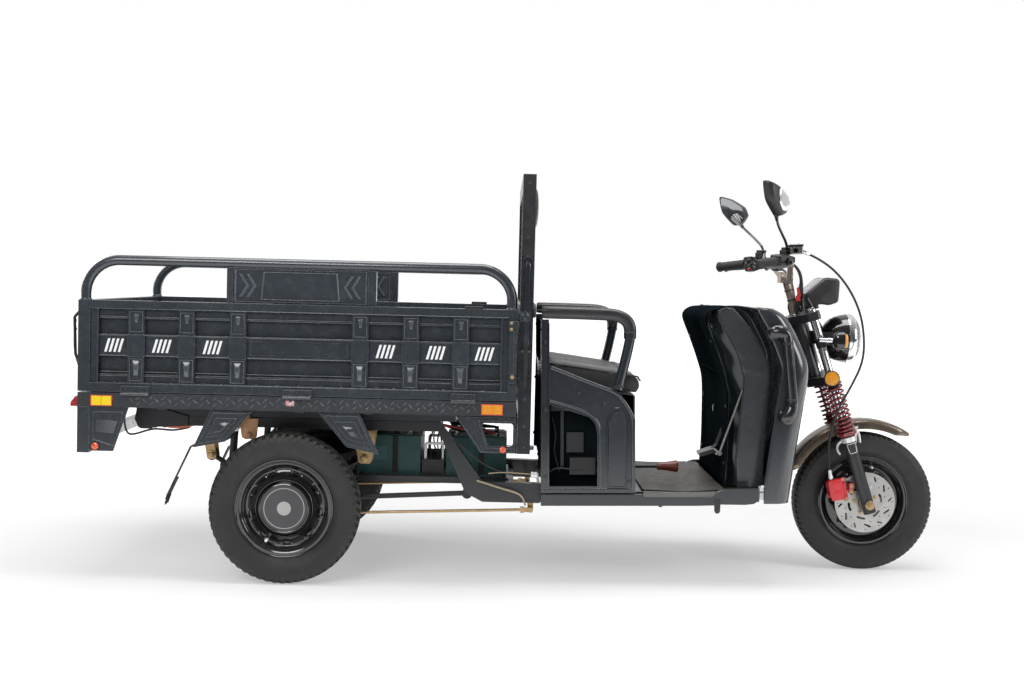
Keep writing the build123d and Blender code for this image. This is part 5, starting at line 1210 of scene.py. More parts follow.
def brake_parts():
    """Slotted and drilled disc, with its centre plate and bolts."""
    disc_y = front_hub.y - 0.062
    outer, inner = 0.111, 0.060
    plate = Shape()
    segments = 180
    profile = [(-0.0020, inner), (-0.0020, outer - 0.0006), (-0.0014, outer), (0.0014, outer),
               (0.0020, outer - 0.0006),
               (0.0020, inner)]
    plate.turned(profile, Vector((front_hub.x, disc_y, front_hub.z)), (0, 1, 0), segments)
    hub_plate = Shape()
    hub_plate.turned([(-0.0018, 0.0260), (-0.0018, 0.0600), (0.0018, 0.0600), (0.0018, 0.0260)],
                     Vector((front_hub.x, disc_y, front_hub.z)), (0, 1, 0), 96)
    holes = Shape()
    for index in range(12):
        angle = 2 * pi * index / 12 + 0.14
        radius = 0.0860 if index % 2 else 0.0920
        spot = front_hub + Vector((cos(angle) * radius, disc_y - front_hub.y, sin(angle) * radius))
        lean = angle + radians(58 if index % 2 else 40)
        along = Vector((cos(lean), 0, sin(lean)))
        across = Vector((-sin(lean), 0, cos(lean)))
        length = 0.0105 if index % 2 else 0.0070
        outline = []
        for end in BOTH:
            for step in range(7):
                turn = pi * step / 6 - pi / 2
                outline.append(along * end * (length + 0.0030 * cos(turn)) + across * end * 0.0030 * sin(turn))
        holes.rings([[spot + p + Vector((0, -0.006, 0)) for p in outline],
                     [spot + p + Vector((0, 0.006, 0)) for p in outline]], cap_start=True, cap_end=True)
    for index in range(24):
        angle = 2 * pi * index / 24 + 0.05
        radius, size = ((0.100, 0.0024), (0.074, 0.0022))[index % 2]
        spot = front_hub + Vector((cos(angle) * radius, disc_y - front_hub.y, sin(angle) * radius))
        holes.turned([(-0.006, 0), (-0.006, size), (0.006, size), (0.006, 0)], spot, (0, 1, 0), 10,
                     closed=False)
    for index in range(6):
        middle_angle = 2 * pi * index / 6 + 0.3
        outline = []
        for radius, order in ((0.0555, 1), (0.0640, -1)):
            for step in range(9):
                angle = middle_angle + order * radians(-15 + 30 * step / 8)
                outline.append(front_hub + Vector((cos(angle) * radius, disc_y - front_hub.y,
                                                   sin(angle) * radius)))
        holes.rings([[p + Vector((0, -0.006, 0)) for p in outline],
                     [p + Vector((0, 0.006, 0)) for p in outline]],
                    cap_start=True, cap_end=True)
    cutter = holes.piece("disc_slots", disc_steel, "front_wheel")
    made = plate.piece("brake_disc_plate", disc_steel, "front_wheel", "disc_steel", ("brake_disc",),
                       smooth=30)
    centre = hub_plate.piece("brake_disc_centre", disc_steel, "front_wheel", smooth=30)
    for target in (made, centre):
        modifier = target.modifiers.new("Slots", "BOOLEAN")
        modifier.object = cutter
        modifier.solver = "EXACT"
    depsgraph = bpy.context.evaluated_depsgraph_get()
    for target in (made, centre):
        mesh = bpy.data.meshes.new_from_object(target.evaluated_get(depsgraph))
        target.modifiers.clear()
        target.data = mesh
        mesh.shade_smooth()
        mesh.set_sharp_from_angle(angle=radians(30))
    bpy.data.objects.remove(cutter)
    bolts = Shape()
    for index in range(5):
        angle = 2 * pi * index / 5 + 0.5
        bolts.bolt(front_hub + Vector((cos(angle) * 0.041, disc_y - 0.0018 - front_hub.y,
                                       sin(angle) * 0.041)),
                   (0, -1, 0), 0.0050)
    bolts.turned([(0, 0.0140), (0, 0.0245), (-0.012, 0.0235), (-0.012, 0.0140)],
                 Vector((front_hub.x, disc_y - 0.0005, front_hub.z)), (0, 1, 0), 36)
    bolts.piece("brake_disc_bolts", brass, "front_wheel")


brake_parts()


def caliper_parts():
    centre = Vector((1.165, -0.083, 0.303))
    tilt_x, tilt_z = Vector((cos(radians(12)), 0, sin(radians(12)))), Vector((-sin(radians(12)), 0,
                                                                              cos(radians(12))))
    cast = Shape()
    cast.box(centre + Vector((-0.004, 0.0, 0)), (0.050, 0.027, 0.078), tilt_x, tilt_z)
    cast.box(centre + Vector((0.022, 0.004, 0.0)), (0.024, 0.020, 0.060), tilt_x, tilt_z)
    cast.box(centre + Vector((-0.026, 0.008, 0)), (0.014, 0.040, 0.060), tilt_x, tilt_z)
    cast.box(centre + Vector((0.0, 0.030, 0)), (0.066, 0.008, 0.062), tilt_x, tilt_z)
    cast.box(Vector((1.2130, -0.0900, 0.3100)), (0.019, 0.0150, 0.0390))
    cast.piece("caliper_castings", caliper_red, "steering", "caliper_red", ("brake_caliper",), bevel=0.005,
               segments=3)
    bosses = Shape()
    for up in (-0.019, 0.019):
        spot = centre + tilt_z * up + Vector((-0.003, -0.0135, 0))
        bosses.turned([(0, 0.0), (0, 0.0165), (0.0012, 0.0165), (0.0014, 0.0140), (0.0014, 0.0)], spot,
                      (0, -1, 0), 32,
                      closed=False)
    for up in (-0.036, 0.036):
        spot = centre + tilt_z * up + tilt_x * 0.022 + Vector((0, -0.010, 0))
        bosses.turned([(0, 0.0), (0, 0.0085), (0.006, 0.0080), (0.006, 0.0)], spot, (0, -1, 0), 24,
                      closed=False)
    bosses.piece("caliper_bosses", caliper_red, "steering", "caliper_red", smooth=40, bevel=0.0008)
    bolts = Shape()
    for up in (-0.036, 0.036):
        spot = centre + tilt_z * up + tilt_x * 0.022 + Vector((0, -0.0155, 0))
        bolts.turned([(0, 0.0062), (0.0022, 0.0060), (0.0022, 0.0)], spot, (0, -1, 0), 6, closed=False)
    bolts.bolt((1.2130, -0.0978, 0.320), (0, -1, 0), 0.0052)
    bolts.bolt((1.2130, -0.0978, 0.300), (0, -1, 0), 0.0052)
    bolts.piece("caliper_bolts", brass, "steering")
    banjo = Shape()
    end = Vector((1.1365, -0.0880, 0.3505))
    banjo.turned([(-0.006, 0.0), (-0.006, 0.0068), (0.000, 0.0072), (0.012, 0.0066), (0.026, 0.0056),
                  (0.028, 0.0046),
                  (0.028, 0.0)], end, Vector((1.118 - 1.136, -0.112 + 0.088, 0.424 - 0.352)), 20,
                 closed=False)
    banjo.bolt(end + Vector((0.0, -0.004, -0.002)), (0, -1, 0), 0.0055)
    banjo.piece("hose_caliper_fitting", white_plate, "steering", smooth=45)


caliper_parts()


# ---------------------------------------------------------------- brake hose
hose_route = (
    (0.9736, -0.243, 1.164), (1.050, -0.230, 1.136), (1.139, -0.200, 1.062), (1.204, -0.165, 0.960),
    (1.230, -0.140, 0.855), (1.226, -0.138, 0.770), (1.186, -0.152, 0.690), (1.140, -0.156, 0.606),
    (1.116, -0.146, 0.520), (1.118, -0.112, 0.424), (1.136, -0.088, 0.352),
)


def brake_hose():
    data = bpy.data.curves.new("brake_hose_cable", "CURVE")
    data.dimensions = "3D"
    data.bevel_depth = 0.004
    data.bevel_resolution = 5
    data.resolution_u = 16
    data.use_fill_caps = True
    spline = data.splines.new("NURBS")
    spline.points.add(len(hose_route) - 1)
    for point, place in zip(spline.points, hose_route):
        point.co = (*place, 1.0)
    spline.order_u = 3
    spline.use_endpoint_u = True
    data.materials.append(rubber)
    hose = bpy.data.objects.new("brake_hose_cable", data)
    bpy.context.scene.collection.objects.link(hose)
    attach(hose, "steering")
    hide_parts("brake_hose")


brake_hose()


# ---------------------------------------------------------------- leg shield and front shell
def sheet_grid(name, rows, finish, body, slot=None, replaces=(), thickness=0.0025, level=1, direction=1.0):
    """A pressed sheet through rows of points, thickened and smoothed."""
    shape = Shape()
    shape.rings(rows, closed_round=False)
    made = shape.piece(name, finish, body, slot, replaces, smooth=60)
    if level:
        smoother = made.modifiers.new("Subdivision", "SUBSURF")
        smoother.levels = smoother.render_levels = level
    thick = made.modifiers.new("Solidify", "SOLIDIFY")
    thick.thickness = thickness
    thick.offset = direction
    return made


def between(first, second, share):
    return tuple(a + (b - a) * share for a, b in zip(first, second))


def along_line(points, count):
    """Evenly spaced points along a run of straight lines."""
    lengths = [0.0]
    for a, b in zip(points, points[1:]):
        lengths.append(lengths[-1] + sqrt(sum((q - p) ** 2 for p, q in zip(a, b))))
    found = []
    for step in range(count):
        target = lengths[-1] * step / (count - 1)
        index = 0
        while index < len(points) - 2 and lengths[index + 1] < target:
            index += 1
        span = lengths[index + 1] - lengths[index]
        found.append(between(points[index], points[index + 1], (target - lengths[index]) / span))
    return found


def inner_shield():
    """The rider's side of the leg shield: folded top, waist crease and two upright flutes."""
    profile = [(0.642, 0.0455), (0.649, 0.110), (0.652, 0.165), (0.654, 0.270), (0.6545, 0.375),
               (0.650, 0.412),
               (0.640, 0.445), (0.6240, 0.495), (0.606, 0.545), (0.590, 0.585), (0.577, 0.618),
               (0.573, 0.636),
               (0.578, 0.652), (0.592, 0.664), (0.614, 0.673), (0.650, 0.6735), (0.718, 0.6735)]
    rows = []
    for index, (u, w) in enumerate(profile):
        row = []
        for step in range(41):
            y = -0.2995 + 0.599 * step / 40
            away = abs(y)
            flute = 0.007 * max(0.0, 1 - abs(away - 0.135) / 0.030) if 2 <= index <= 11 else 0.0
            lip = 0.006 * max(0.0, (away - 0.270) / 0.030) ** 2
            row.append(cab_point(u + flute - lip, w, y))
        rows.append(row)
    sheet_grid("leg_shield_inner", rows, panel_black, "chassis", "trim_black", ("leg_shield",), 0.003, 1,
               -1.0)
    ridge = Shape()
    for side in BOTH:
        path = [cab_point(u - 0.003, w, side * (0.224 + 0.03 * (1 - w / 0.6))) for u, w in profile[1:12]]
        ridge.tube(along_curve(path, 3), 0.0045, 10)
    cross = [cab_point(0.6405 - 0.002, 0.4450, y / 100) for y in range(-27, 28, 3)]
    ridge.tube(cross, 0.0035, 8)
    ridge.piece("leg_shield_ribs", panel_black, "chassis")
    knob = Shape()
    knob.turned([(0, 0.0), (0, 0.013), (-0.003, 0.0135), (-0.005, 0.011), (-0.006, 0.0)],
                cab_point(0.652, 0.300, 0.0),
                cab_forward, 28, closed=False)
    for side in BOTH:
        for u, w in ((0.648, 0.130), (0.652, 0.330), (0.600, 0.560)):
            knob.bolt(cab_point(u, w, side * 0.282), -cab_forward, 0.005)
    knob.piece("leg_shield_screws", trim_black, "chassis")


inner_shield()

flank_rear = [(0.686, 0.0445), (0.680, 0.150), (0.694, 0.280), (0.708, 0.430), (0.684, 0.518), (0.618, 0.636),
              (0.616, 0.664), (0.650, 0.676)]
flank_front = [(0.778, 0.0445), (0.781, 0.130), (0.789, 0.262), (0.801, 0.440), (0.797, 0.484),
               (0.738, 0.600),
               (0.690, 0.655), (0.672, 0.674)]


def flank(side, side_name):
    """One blue-grey flank beside the leg shield, crowned and creased at the shoulder."""
    rear = along_line(flank_rear[:-1], 40) + [flank_rear[-1]]
    front = along_line(flank_front[:-1], 40) + [flank_front[-1]]
    steps = 12
    rows = []
    for (u_a, w_a), (u_b, w_b) in zip(rear, front):
        row = [cab_point(u_a + 0.004, w_a, side * 0.3010)]
        for step in range(steps + 1):
            share = step / steps
            u, w = between((u_a, w_a), (u_b, w_b), share)
            crown = 0.3135 - 0.0035 * share - 0.0022 * (2 * share - 0.9) ** 2
            slope = w + 0.25 * (u - 0.70)
            for crease, depth in ((0.470, 0.0022), (0.520, 0.0016)):
                crown += depth * max(0.0, 1 - abs(slope - crease) / 0.010)
            if slope > 0.520:
                crown -= 0.030 * (slope - 0.520)
            row.append(cab_point(u, w, side * crown))
        row.append(cab_point(u_b - 0.003, w_b, side * 0.3020))
        rows.append(row)
    # the flank takes the lighter copy of the body paint: painted light
    sheet_grid("leg_shield_flank_" + side_name, rows, flank_lit_paint, "chassis", "body_paint",
               ("leg_shield_sides",) if side < 0 else (), 0.0022, 1, -1.0 if side < 0 else 1.0)
    edge = Shape()
    edge.tube([cab_point(u + 0.001, w, side * 0.3118) for u, w in rear], 0.0026, 8)
    edge.piece("leg_shield_flank_edge_" + side_name, trim_black, "chassis")
    fill = Shape()
    fill.prism([(0.700, 0.050), (0.774, 0.050), (0.778, 0.150), (0.796, 0.440), (0.756, 0.545),
                (0.700, 0.640),
                (0.690, 0.560), (0.712, 0.440)], *span(side, 0.2965, 0.2990), cab_point)
    fill.piece("leg_shield_inner_flank_" + side_name, panel_black, "chassis")


for side, side_name in SIDES:
    flank(side, side_name)

wing_rear = [(0.7700, 0.002), (0.7705, 0.070), (0.798, 0.259), (0.8194, 0.3855), (0.8300, 0.455),
             (0.8290, 0.474),
             (0.8208, 0.4965), (0.777, 0.6098), (0.7420, 0.670)]
wing_front = [(0.860, 0.002), (0.875, 0.107), (0.889, 0.203), (0.908, 0.320), (0.925, 0.425), (0.9265, 0.446),
              (0.9210, 0.4965), (0.895, 0.557), (0.863, 0.620), (0.835, 0.655), (0.7995, 0.6715)]


def front_shell(side, side_name):
    """One half of the front shell: the wing, a wide rolled corner and the face up to the steering slot."""
    rear = along_line(wing_rear, 36)
    front = along_line(wing_front, 36)
    rows = []
    for (u_a, w_a), (u_b, w_b) in zip(rear, front):
        row = [cab_point(u_a + 0.0035, w_a, side * 0.3740), cab_point(u_a, w_a, side * 0.3785)]
        corner = min(0.052, (u_b - u_a) * 0.62)
        for share in (0.15, 0.45, 0.8, 1.0):
            u, w = between((u_a, w_a), (u_b - corner, w_b), share)
            row.append(cab_point(u, w, side * (0.3795 - 0.0015 * share)))
        for step in range(1, 9):
            angle = pi / 2 * step / 8
            row.append(cab_point(u_b - corner + corner * sin(angle), w_b,
                                 side * (0.378 - corner * (1 - cos(angle)))))
        inner_edge = 0.034 if w_b < 0.560 else 0.0
        last = 0.378 - corner
        for step in range(1, 11):
            y = last + (inner_edge - last) * step / 10
            swell = 0.0035 * (1 - (y / 0.33) ** 2) - 0.006 * max(0.0, 1 - abs(y - 0.20) / 0.016)
            row.append(cab_point(u_b + min(0.0, swell), w_b, side * y))
        rows.append(row)
    sheet_grid("front_shell_" + side_name, rows, body_paint, "chassis", "body_paint",
               ("front_apron",) if side < 0 else (), 0.0025, 1, 1.0 if side < 0 else -1.0)
    trim = Shape()
    trim.tube([cab_point(u + 0.001, w, side * 0.3770) for u, w in rear], 0.0024, 8)
    trim.piece("front_shell_edge_" + side_name, trim_black, "chassis")
    brace = Shape()
    brace.box(cab_point(0.764, 0.036, side * 0.360), (0.018, 0.026, 0.046), cab_forward, cab_up)
    brace.box(cab_point(0.768, 0.060, side * 0.372), (0.020, 0.008, 0.010), cab_forward, cab_up)
    brace.piece("shell_bracket_" + side_name, white_plate, "chassis", bevel=0.002)


for side, side_name in SIDES:
    front_shell(side, side_name)


def crash_bar_feet():
    """Moulded boots where the grab bar meets the shell, with collars on the bar whose edges are lightened as
    painted glint broken by wear.
    """
    feet, collars = Shape(), Shape()
    for side in BOTH:
        top = [(0.800, 0.590, 0.3800), (0.806, 0.594, 0.3900), (0.822, 0.594, 0.3965), (0.838, 0.584, 0.3970),
               (0.843, 0.566, 0.3970)]
        low = [(0.840, 0.300, 0.3800), (0.844, 0.302, 0.3900), (0.851, 0.312, 0.3965), (0.858, 0.335, 0.3970),
               (0.860, 0.352, 0.3970)]
        for path in (top, low):
            points = along_curve([cab_point(u, w, side * y) for u, w, y in path], 5)
            widths = [0.030 - 0.0105 * min(1.0,
                                           index / (len(points) - 1) * 1.25) for index in range(len(points))]
            flat = Shape()
            flat.tube(points, widths, 28)
            wall, reach = side * 0.3792, 0.0215
            for point in flat.points:
                if abs(point.y) < abs(wall):
                    point.y = wall
                if abs(point.y) > 0.397 + reach:
                    point.y = side * (0.397 + reach)
            feet.add(flat.points, flat.faces)
        for (u, w), way in (((0.8435, 0.556), -1), ((0.8590, 0.362), 1)):
            collars.turned([(-0.005, 0.0171), (-0.004, 0.0186), (0.004, 0.0186), (0.005, 0.0171)],
                           cab_point(u, w, side * 0.397), cab_up * way + cab_forward * -0.06 * way, 28,
                           closed=False)
    feet.piece("crash_bar_feet", bar_black, "chassis", smooth=60)
    collars.piece("crash_bar_collars", leaf_steel, "chassis", smooth=40)


crash_bar_feet()


def shield_side(side, side_name):
    """The moulded wall between the inner panel and the flank, with the dents of thin plastic."""
    rear = [(0.646, 0.050), (0.655, 0.165), (0.657, 0.375), (0.643, 0.445), (0.609, 0.545), (0.580, 0.618),
            (0.590, 0.664)]
    front = [(0.704, 0.050), (0.700, 0.165), (0.722, 0.375), (0.714, 0.445), (0.690, 0.530), (0.640, 0.628),
             (0.640, 0.6735)]
    rows = []
    for place, ((u_a, w_a), (u_b, w_b)) in enumerate(zip(along_line(rear, 36), along_line(front, 36))):
        row = []
        for step in range(9):
            share = step / 8
            u, w = between((u_a, w_a), (u_b, w_b), share)
            dent = 0.0045 * sin(place * 0.62 + share * 3.1) * sin(place * 0.21 + 1.0) * sin(pi * share)
            y = 0.2960 - 0.016 * sin(pi * share) + dent
            row.append(cab_point(u, w, side * y))
        rows.append(row)
    sheet_grid("leg_shield_wall_" + side_name, rows, panel_gloss, "chassis", "trim_black", (), 0.002, 1,
               1.0 if side < 0 else -1.0)


for side, side_name in SIDES:
    shield_side(side, side_name)


def footboard_parts():
    """Pan with a bowed rubber mat, side channels ending short of the wings, bolts and side lugs."""
    pan, edges, channels, marks = Shape(), Shape(), Shape(), Shape()
    pan.prism([(0.0, 0.040), (0.771, 0.040), (0.771, 0.0435), (0.0, 0.0435)], -0.374, 0.374, cab_point)
    pan.prism([(0.771, 0.040), (0.850, 0.040), (0.850, 0.0435), (0.771, 0.0435)], -0.368, -0.036, cab_point)
    pan.prism([(0.771, 0.040), (0.850, 0.040), (0.850, 0.0435), (0.771, 0.0435)], 0.036, 0.368, cab_point)
    for u in (0.36, 0.50, 0.64):
        pan.prism([(u, 0.006), (u + 0.030, 0.006), (u + 0.030, 0.040), (u, 0.040)], -0.370, 0.370, cab_point)
    for side in BOTH:
        rear = [(0.0, -0.0005), (0.540, -0.0005), (0.600, 0.0010), (0.600, 0.030), (0.560, 0.0285),
                (0.349, 0.0285),
                (0.349, 0.0390), (0.0, 0.0390)]
        channels.prism(rear, *span(side, cab_half - 0.020, cab_half), cab_point)
        front = [(0.590, 0.0045), (0.700, 0.0030), (0.728, 0.0060), (0.744, 0.0150), (0.746, 0.0240),
                 (0.746, 0.0560),
                 (0.740, 0.0590), (0.628, 0.0550), (0.606, 0.0480), (0.590, 0.0300)]
        channels.prism(front, *span(side, cab_half - 0.018, cab_half + 0.0015), cab_point)
        rolled = [cab_point(u, 0.0445 + 0.0025 * sin(u * 22), side * (cab_half - 0.009)) for u in
                  (0.352, 0.40, 0.46, 0.52, 0.575, 0.600)]
        edges.prism([(0.350, 0.0290), (0.604, 0.0290), (0.604, 0.0450), (0.350, 0.0450)],
                    *span(side, cab_half - 0.016, cab_half - 0.004), cab_point)
        edges.tube(along_curve(rolled, 4), 0.0030, 8)
        u = 0.603
        marks.prism([(u - 0.0115, 0.022), (u + 0.0115, 0.022), (u + 0.0100, -0.018), (u + 0.0055, -0.0255),
                     (u - 0.0055, -0.0255), (u - 0.0100, -0.018)],
                    *span(side, cab_half + 0.0018, cab_half + 0.0060), cab_point)
        marks.bolt(cab_point(u, -0.0135, side * (cab_half + 0.0060)), (0, side, 0), 0.0055)
        marks.bolt(cab_point(0.410, -0.0010, side * (cab_half - 0.012)), -cab_up, 0.0060)
    pan.piece("footboard_pan", frame_black, "chassis", "frame_black", ("footboard",), bevel=0.001)
    edges.piece("footboard_edges", floor_edge, "chassis", smooth=40)
    channels.piece("footboard_channels", beam_black, "chassis", bevel=0.0025)
    marks.piece("footboard_lugs", frame_black, "chassis", bevel=0.001)
    rows = []
    for line in range(33):
        u = 0.352 + 0.285 * line / 32
        row = []
        for step in range(49):
            y = -0.372 + 0.744 * step / 48
            bow = 0.0035 + 0.0030 * sin(u * 21 + 0.6) * (0.35 + 0.65 * (abs(y) / 0.372) ** 2)
            stud = 0.0012 if (line + step) % 2 else 0.0
            row.append(cab_point(u, 0.0440 + bow + stud, y))
        rows.append(row)
    sheet_grid("footboard_mat", rows, mat_rubber, "chassis", None, (), 0.0022, 1, -1.0)


footboard_parts()


def pedal_and_lever():
    """The pedal's rod outside the shield's wall, and the parking lever's red handle."""
    rod = Shape()
    rod.tube([cab_point(u, w, -0.3035) for u, w in ((0.722, 0.436), (0.6275, 0.172), (0.612, 0.164))], 0.0038,
             12)
    rod.tube([cab_point(0.626, 0.168, y) for y in (-0.3035, -0.250, -0.185)], 0.0045, 12)
    rod.bolt(cab_point(0.626, 0.168, -0.3070), (0, -1, 0), 0.006)
    rod.piece("pedal_rod", rod_grey, "chassis", smooth=50)
    lever_y = -0.120
    lever = Shape()
    lever.tube([cab_point(u, w, lever_y) for u, w in ((0.075, 0.094), (0.200, 0.096), (0.430, 0.098))], 0.006,
               16)
    lever.box(cab_point(0.081, 0.075, lever_y), (0.030, 0.024, 0.060), cab_forward, cab_up)
    lever.bolt(cab_point(0.081, 0.094, lever_y - 0.012), (0, -1, 0), 0.007)
    lever.piece("parking_lever_arm", frame_black, "chassis", "frame_black", ("parking_brake_lever",),
                smooth=40)
    handle = Shape()
    handle.turned([(-0.002, 0.0), (-0.002, 0.0120), (0.002, 0.0135), (0.020, 0.0142), (0.044, 0.0175),
                   (0.066, 0.0212),
                   (0.071, 0.0208), (0.074, 0.0165), (0.074, 0.0)], cab_point(0.430, 0.098, lever_y),
                  cab_forward, 36,
                  closed=False)
    handle.piece("parking_lever_handle", handle_red, "chassis", smooth=50)


pedal_and_lever()


# ---------------------------------------------------------------- seat
def seat_pad():
    """The bench cushion: a crowned pad blown up as cloth, then its seams pulled in."""
    outline = [(0.014, 0.4270), (0.014, 0.4840), (0.030, 0.4870), (0.150, 0.4700), (0.322, 0.4430),
               (0.338, 0.4340),
               (0.345, 0.4250), (0.347, 0.4020), (0.340, 0.3880), (0.328, 0.3835), (0.318, 0.3850)]
    shape = Shape()
    shape.prism(outline, -0.3600, 0.3600, cab_point)
    made = shape.piece("seat_pad", seat_vinyl, "chassis", "seat_leather", ("seat_cushion",))
    remesh = made.modifiers.new("Remesh", "REMESH")
    remesh.mode = "VOXEL"
    remesh.voxel_size = 0.006
    depsgraph = bpy.context.evaluated_depsgraph_get()
    mesh = bpy.data.meshes.new_from_object(made.evaluated_get(depsgraph))
    made.modifiers.clear()
    made.data = mesh
    start = [v.co.copy() for v in mesh.vertices]
    cloth = made.modifiers.new("Cloth", "CLOTH")
    cloth.settings.use_pressure = True
    cloth.settings.uniform_pressure_force = 4.0
    cloth.settings.effector_weights.gravity = 0.0
    for number in range(1, 21):
        bpy.context.scene.frame_set(number)
    depsgraph = bpy.context.evaluated_depsgraph_get()
    blown = [v.co.copy() for v in made.evaluated_get(depsgraph).data.vertices]
    made.modifiers.clear()
    bpy.context.scene.frame_set(1)
    normals = [v.normal.copy() for v in mesh.vertices]
    for vertex, before, after, normal in zip(mesh.vertices, start, blown, normals):
        move = after - before
        if move.length > 0.007:
            move = move.normalized() * 0.007
        place = before + move
        local = place - cab_origin
        u, w = local.dot(cab_forward), local.dot(cab_up)
        if w < 0.425 - 0.12 * max(0.0, u - 0.014):
            place = before
        sink = 0.0
        if normal.dot(cab_up) > 0.3:
            for seam_y in (-0.122, 0.122):
                sink += 0.0055 * 2.718 ** (-((place.y - seam_y) / 0.007) ** 2)
            sink += 0.0045 * 2.718 ** (-((u - 0.285) / 0.007) ** 2)
        if u > 0.29:
            wave = noise.noise(Vector((place.x * 18, place.y * 26, place.z * 60)))
            sink += 0.0032 * max(0.0, wave)
        sink += 0.0010 * max(0.0, noise.noise(place * 30))
        vertex.co = place - normal * sink
    mesh.materials.clear()
    mesh.materials.append(seat_vinyl)
    mesh.shade_smooth()
    smoother = made.modifiers.new("Subdivision", "SUBSURF")
    smoother.levels = smoother.render_levels = 1
    piping = Shape()
    edge = [(0.0160, 0.4830), (0.030, 0.4860), (0.150, 0.4690), (0.318, 0.4425), (0.336, 0.4330),
            (0.3435, 0.4240)]
    for side in BOTH:
        piping.tube(along_curve([cab_point(u, w, side * 0.3585) for u, w in edge], 6), 0.0030, 8)
    piping.piece("seat_piping", seat_vinyl, "chassis")
    stitches = Shape()
    for seam_y in (-0.128, -0.116, 0.116, 0.128):
        for step in range(34):
            u = 0.030 + step * 0.0078
            w = 0.4925 - (u - 0.030) * 0.1467
            stitches.tube([cab_point(u, w, seam_y), cab_point(u + 0.0045, w - 0.0007, seam_y)], 0.0006, 6)
    stitches.piece("seat_stitching", grey_rubber, "chassis")


seat_pad()


def seat_frame():
    """Tube frames and pressed ridges on the seat's flanks, and the dark panels inside its windows."""
    for side, side_name in SIDES:
        frame_y = side * 0.4065
        tubes = Shape()
        outer = [(0.0335, 0.474), (0.140, 0.432), (0.246, 0.391), (0.276, 0.366), (0.300, 0.332),
                 (0.3145, 0.292),
                 (0.3155, 0.200), (0.3155, 0.052)]
        tubes.tube(along_curve([cab_point(u, w, frame_y) for u, w in outer], 6), 0.0065, 12)
        window = [(0.030, 0.360), (0.090, 0.343), (0.150, 0.323), (0.184, 0.300), (0.2015, 0.262),
                  (0.2040, 0.200),
                  (0.2040, 0.060)]
        tubes.tube(along_curve([cab_point(u, w, frame_y) for u, w in window], 6), 0.0050, 12)
        tubes.tube([cab_point(0.0255, 0.060, frame_y), cab_point(0.0255, 0.625, frame_y)], 0.0035, 10)
        tubes.tube([cab_point(0.012, 0.0560, frame_y), cab_point(0.310, 0.0560, frame_y)], 0.0050, 10)
        tubes.piece("seat_frame_tubes_" + side_name, gloss_paint, "chassis", smooth=60)
        swell = Shape()
        drop = [(0.228, 0.072), (0.228, 0.270), (0.236, 0.310), (0.252, 0.332), (0.268, 0.332),
                (0.283, 0.306),
                (0.291, 0.268), (0.291, 0.072)]
        ridge_frame(swell, [cab_point(u, w, side * 0.4085) for u, w in drop], 0.010, 0.0042, (0, side, 0),
                    0.001)
        inner = [(0.246, 0.095), (0.246, 0.262), (0.253, 0.292), (0.260, 0.303), (0.268, 0.292),
                 (0.275, 0.262),
                 (0.275, 0.095)]
        raised_patch(swell, [cab_point(u, w, side * 0.4120) for u, w in inner], -0.002, 0.0030, 0.25,
                     (0, side, 0))
        swell.piece("seat_flank_pressing_" + side_name, gloss_paint, "chassis", bevel=0.002, segments=3)
        back = Shape()
        back.prism([(0.010, 0.046), (0.312, 0.046), (0.310, 0.300), (0.270, 0.366), (0.010, 0.455)],
                   *span(side, 0.330, 0.333), cab_point)
        back.piece("seat_inner_panel_" + side_name, panel_black, "chassis")
        inside = Shape()
        inside.box(cab_point(0.110, 0.330, side * 0.345), (0.150, 0.014, 0.020), cab_forward, cab_up)
        inside.box(cab_point(0.075, 0.220, side * 0.340), (0.012, 0.012, 0.200), cab_forward, cab_up)
        inside.box(cab_point(0.145, 0.130, side * 0.350), (0.090, 0.024, 0.060), cab_forward, cab_up)
        inside.box(cab_point(0.120, 0.210, side * 0.3375), (0.060, 0.006, 0.070), cab_forward, cab_up)
        inside.tube(along_curve([cab_point(0.030, 0.110, side * 0.352), cab_point(0.060, 0.122, side * 0.354),
                                 cab_point(0.120, 0.118, side * 0.360),
                                 cab_point(0.200, 0.112, side * 0.356)], 8),
                    0.0040, 8)
        inside.tube(along_curve([cab_point(0.040, 0.300, side * 0.340), cab_point(0.052, 0.240, side * 0.343),
                                 cab_point(0.048, 0.180, side * 0.341),
                                 cab_point(0.066, 0.110, side * 0.345)], 8),
                    0.0028, 8)
        inside.piece("seat_inner_brackets_" + side_name, trim_black, "chassis", bevel=0.001)
        bolts = Shape()
        for u, w in ((0.0135, 0.100), (0.0135, 0.330), (0.0135, 0.560), (0.261, 0.086), (0.215, 0.350),
                     (0.130, 0.385),
                     (0.300, 0.085)):
            bolts.bolt(cab_point(u, w, side * 0.4085), (0, side, 0), 0.0045)
        bolts.piece("seat_flank_bolts_" + side_name, frame_black, "chassis")


seat_frame()


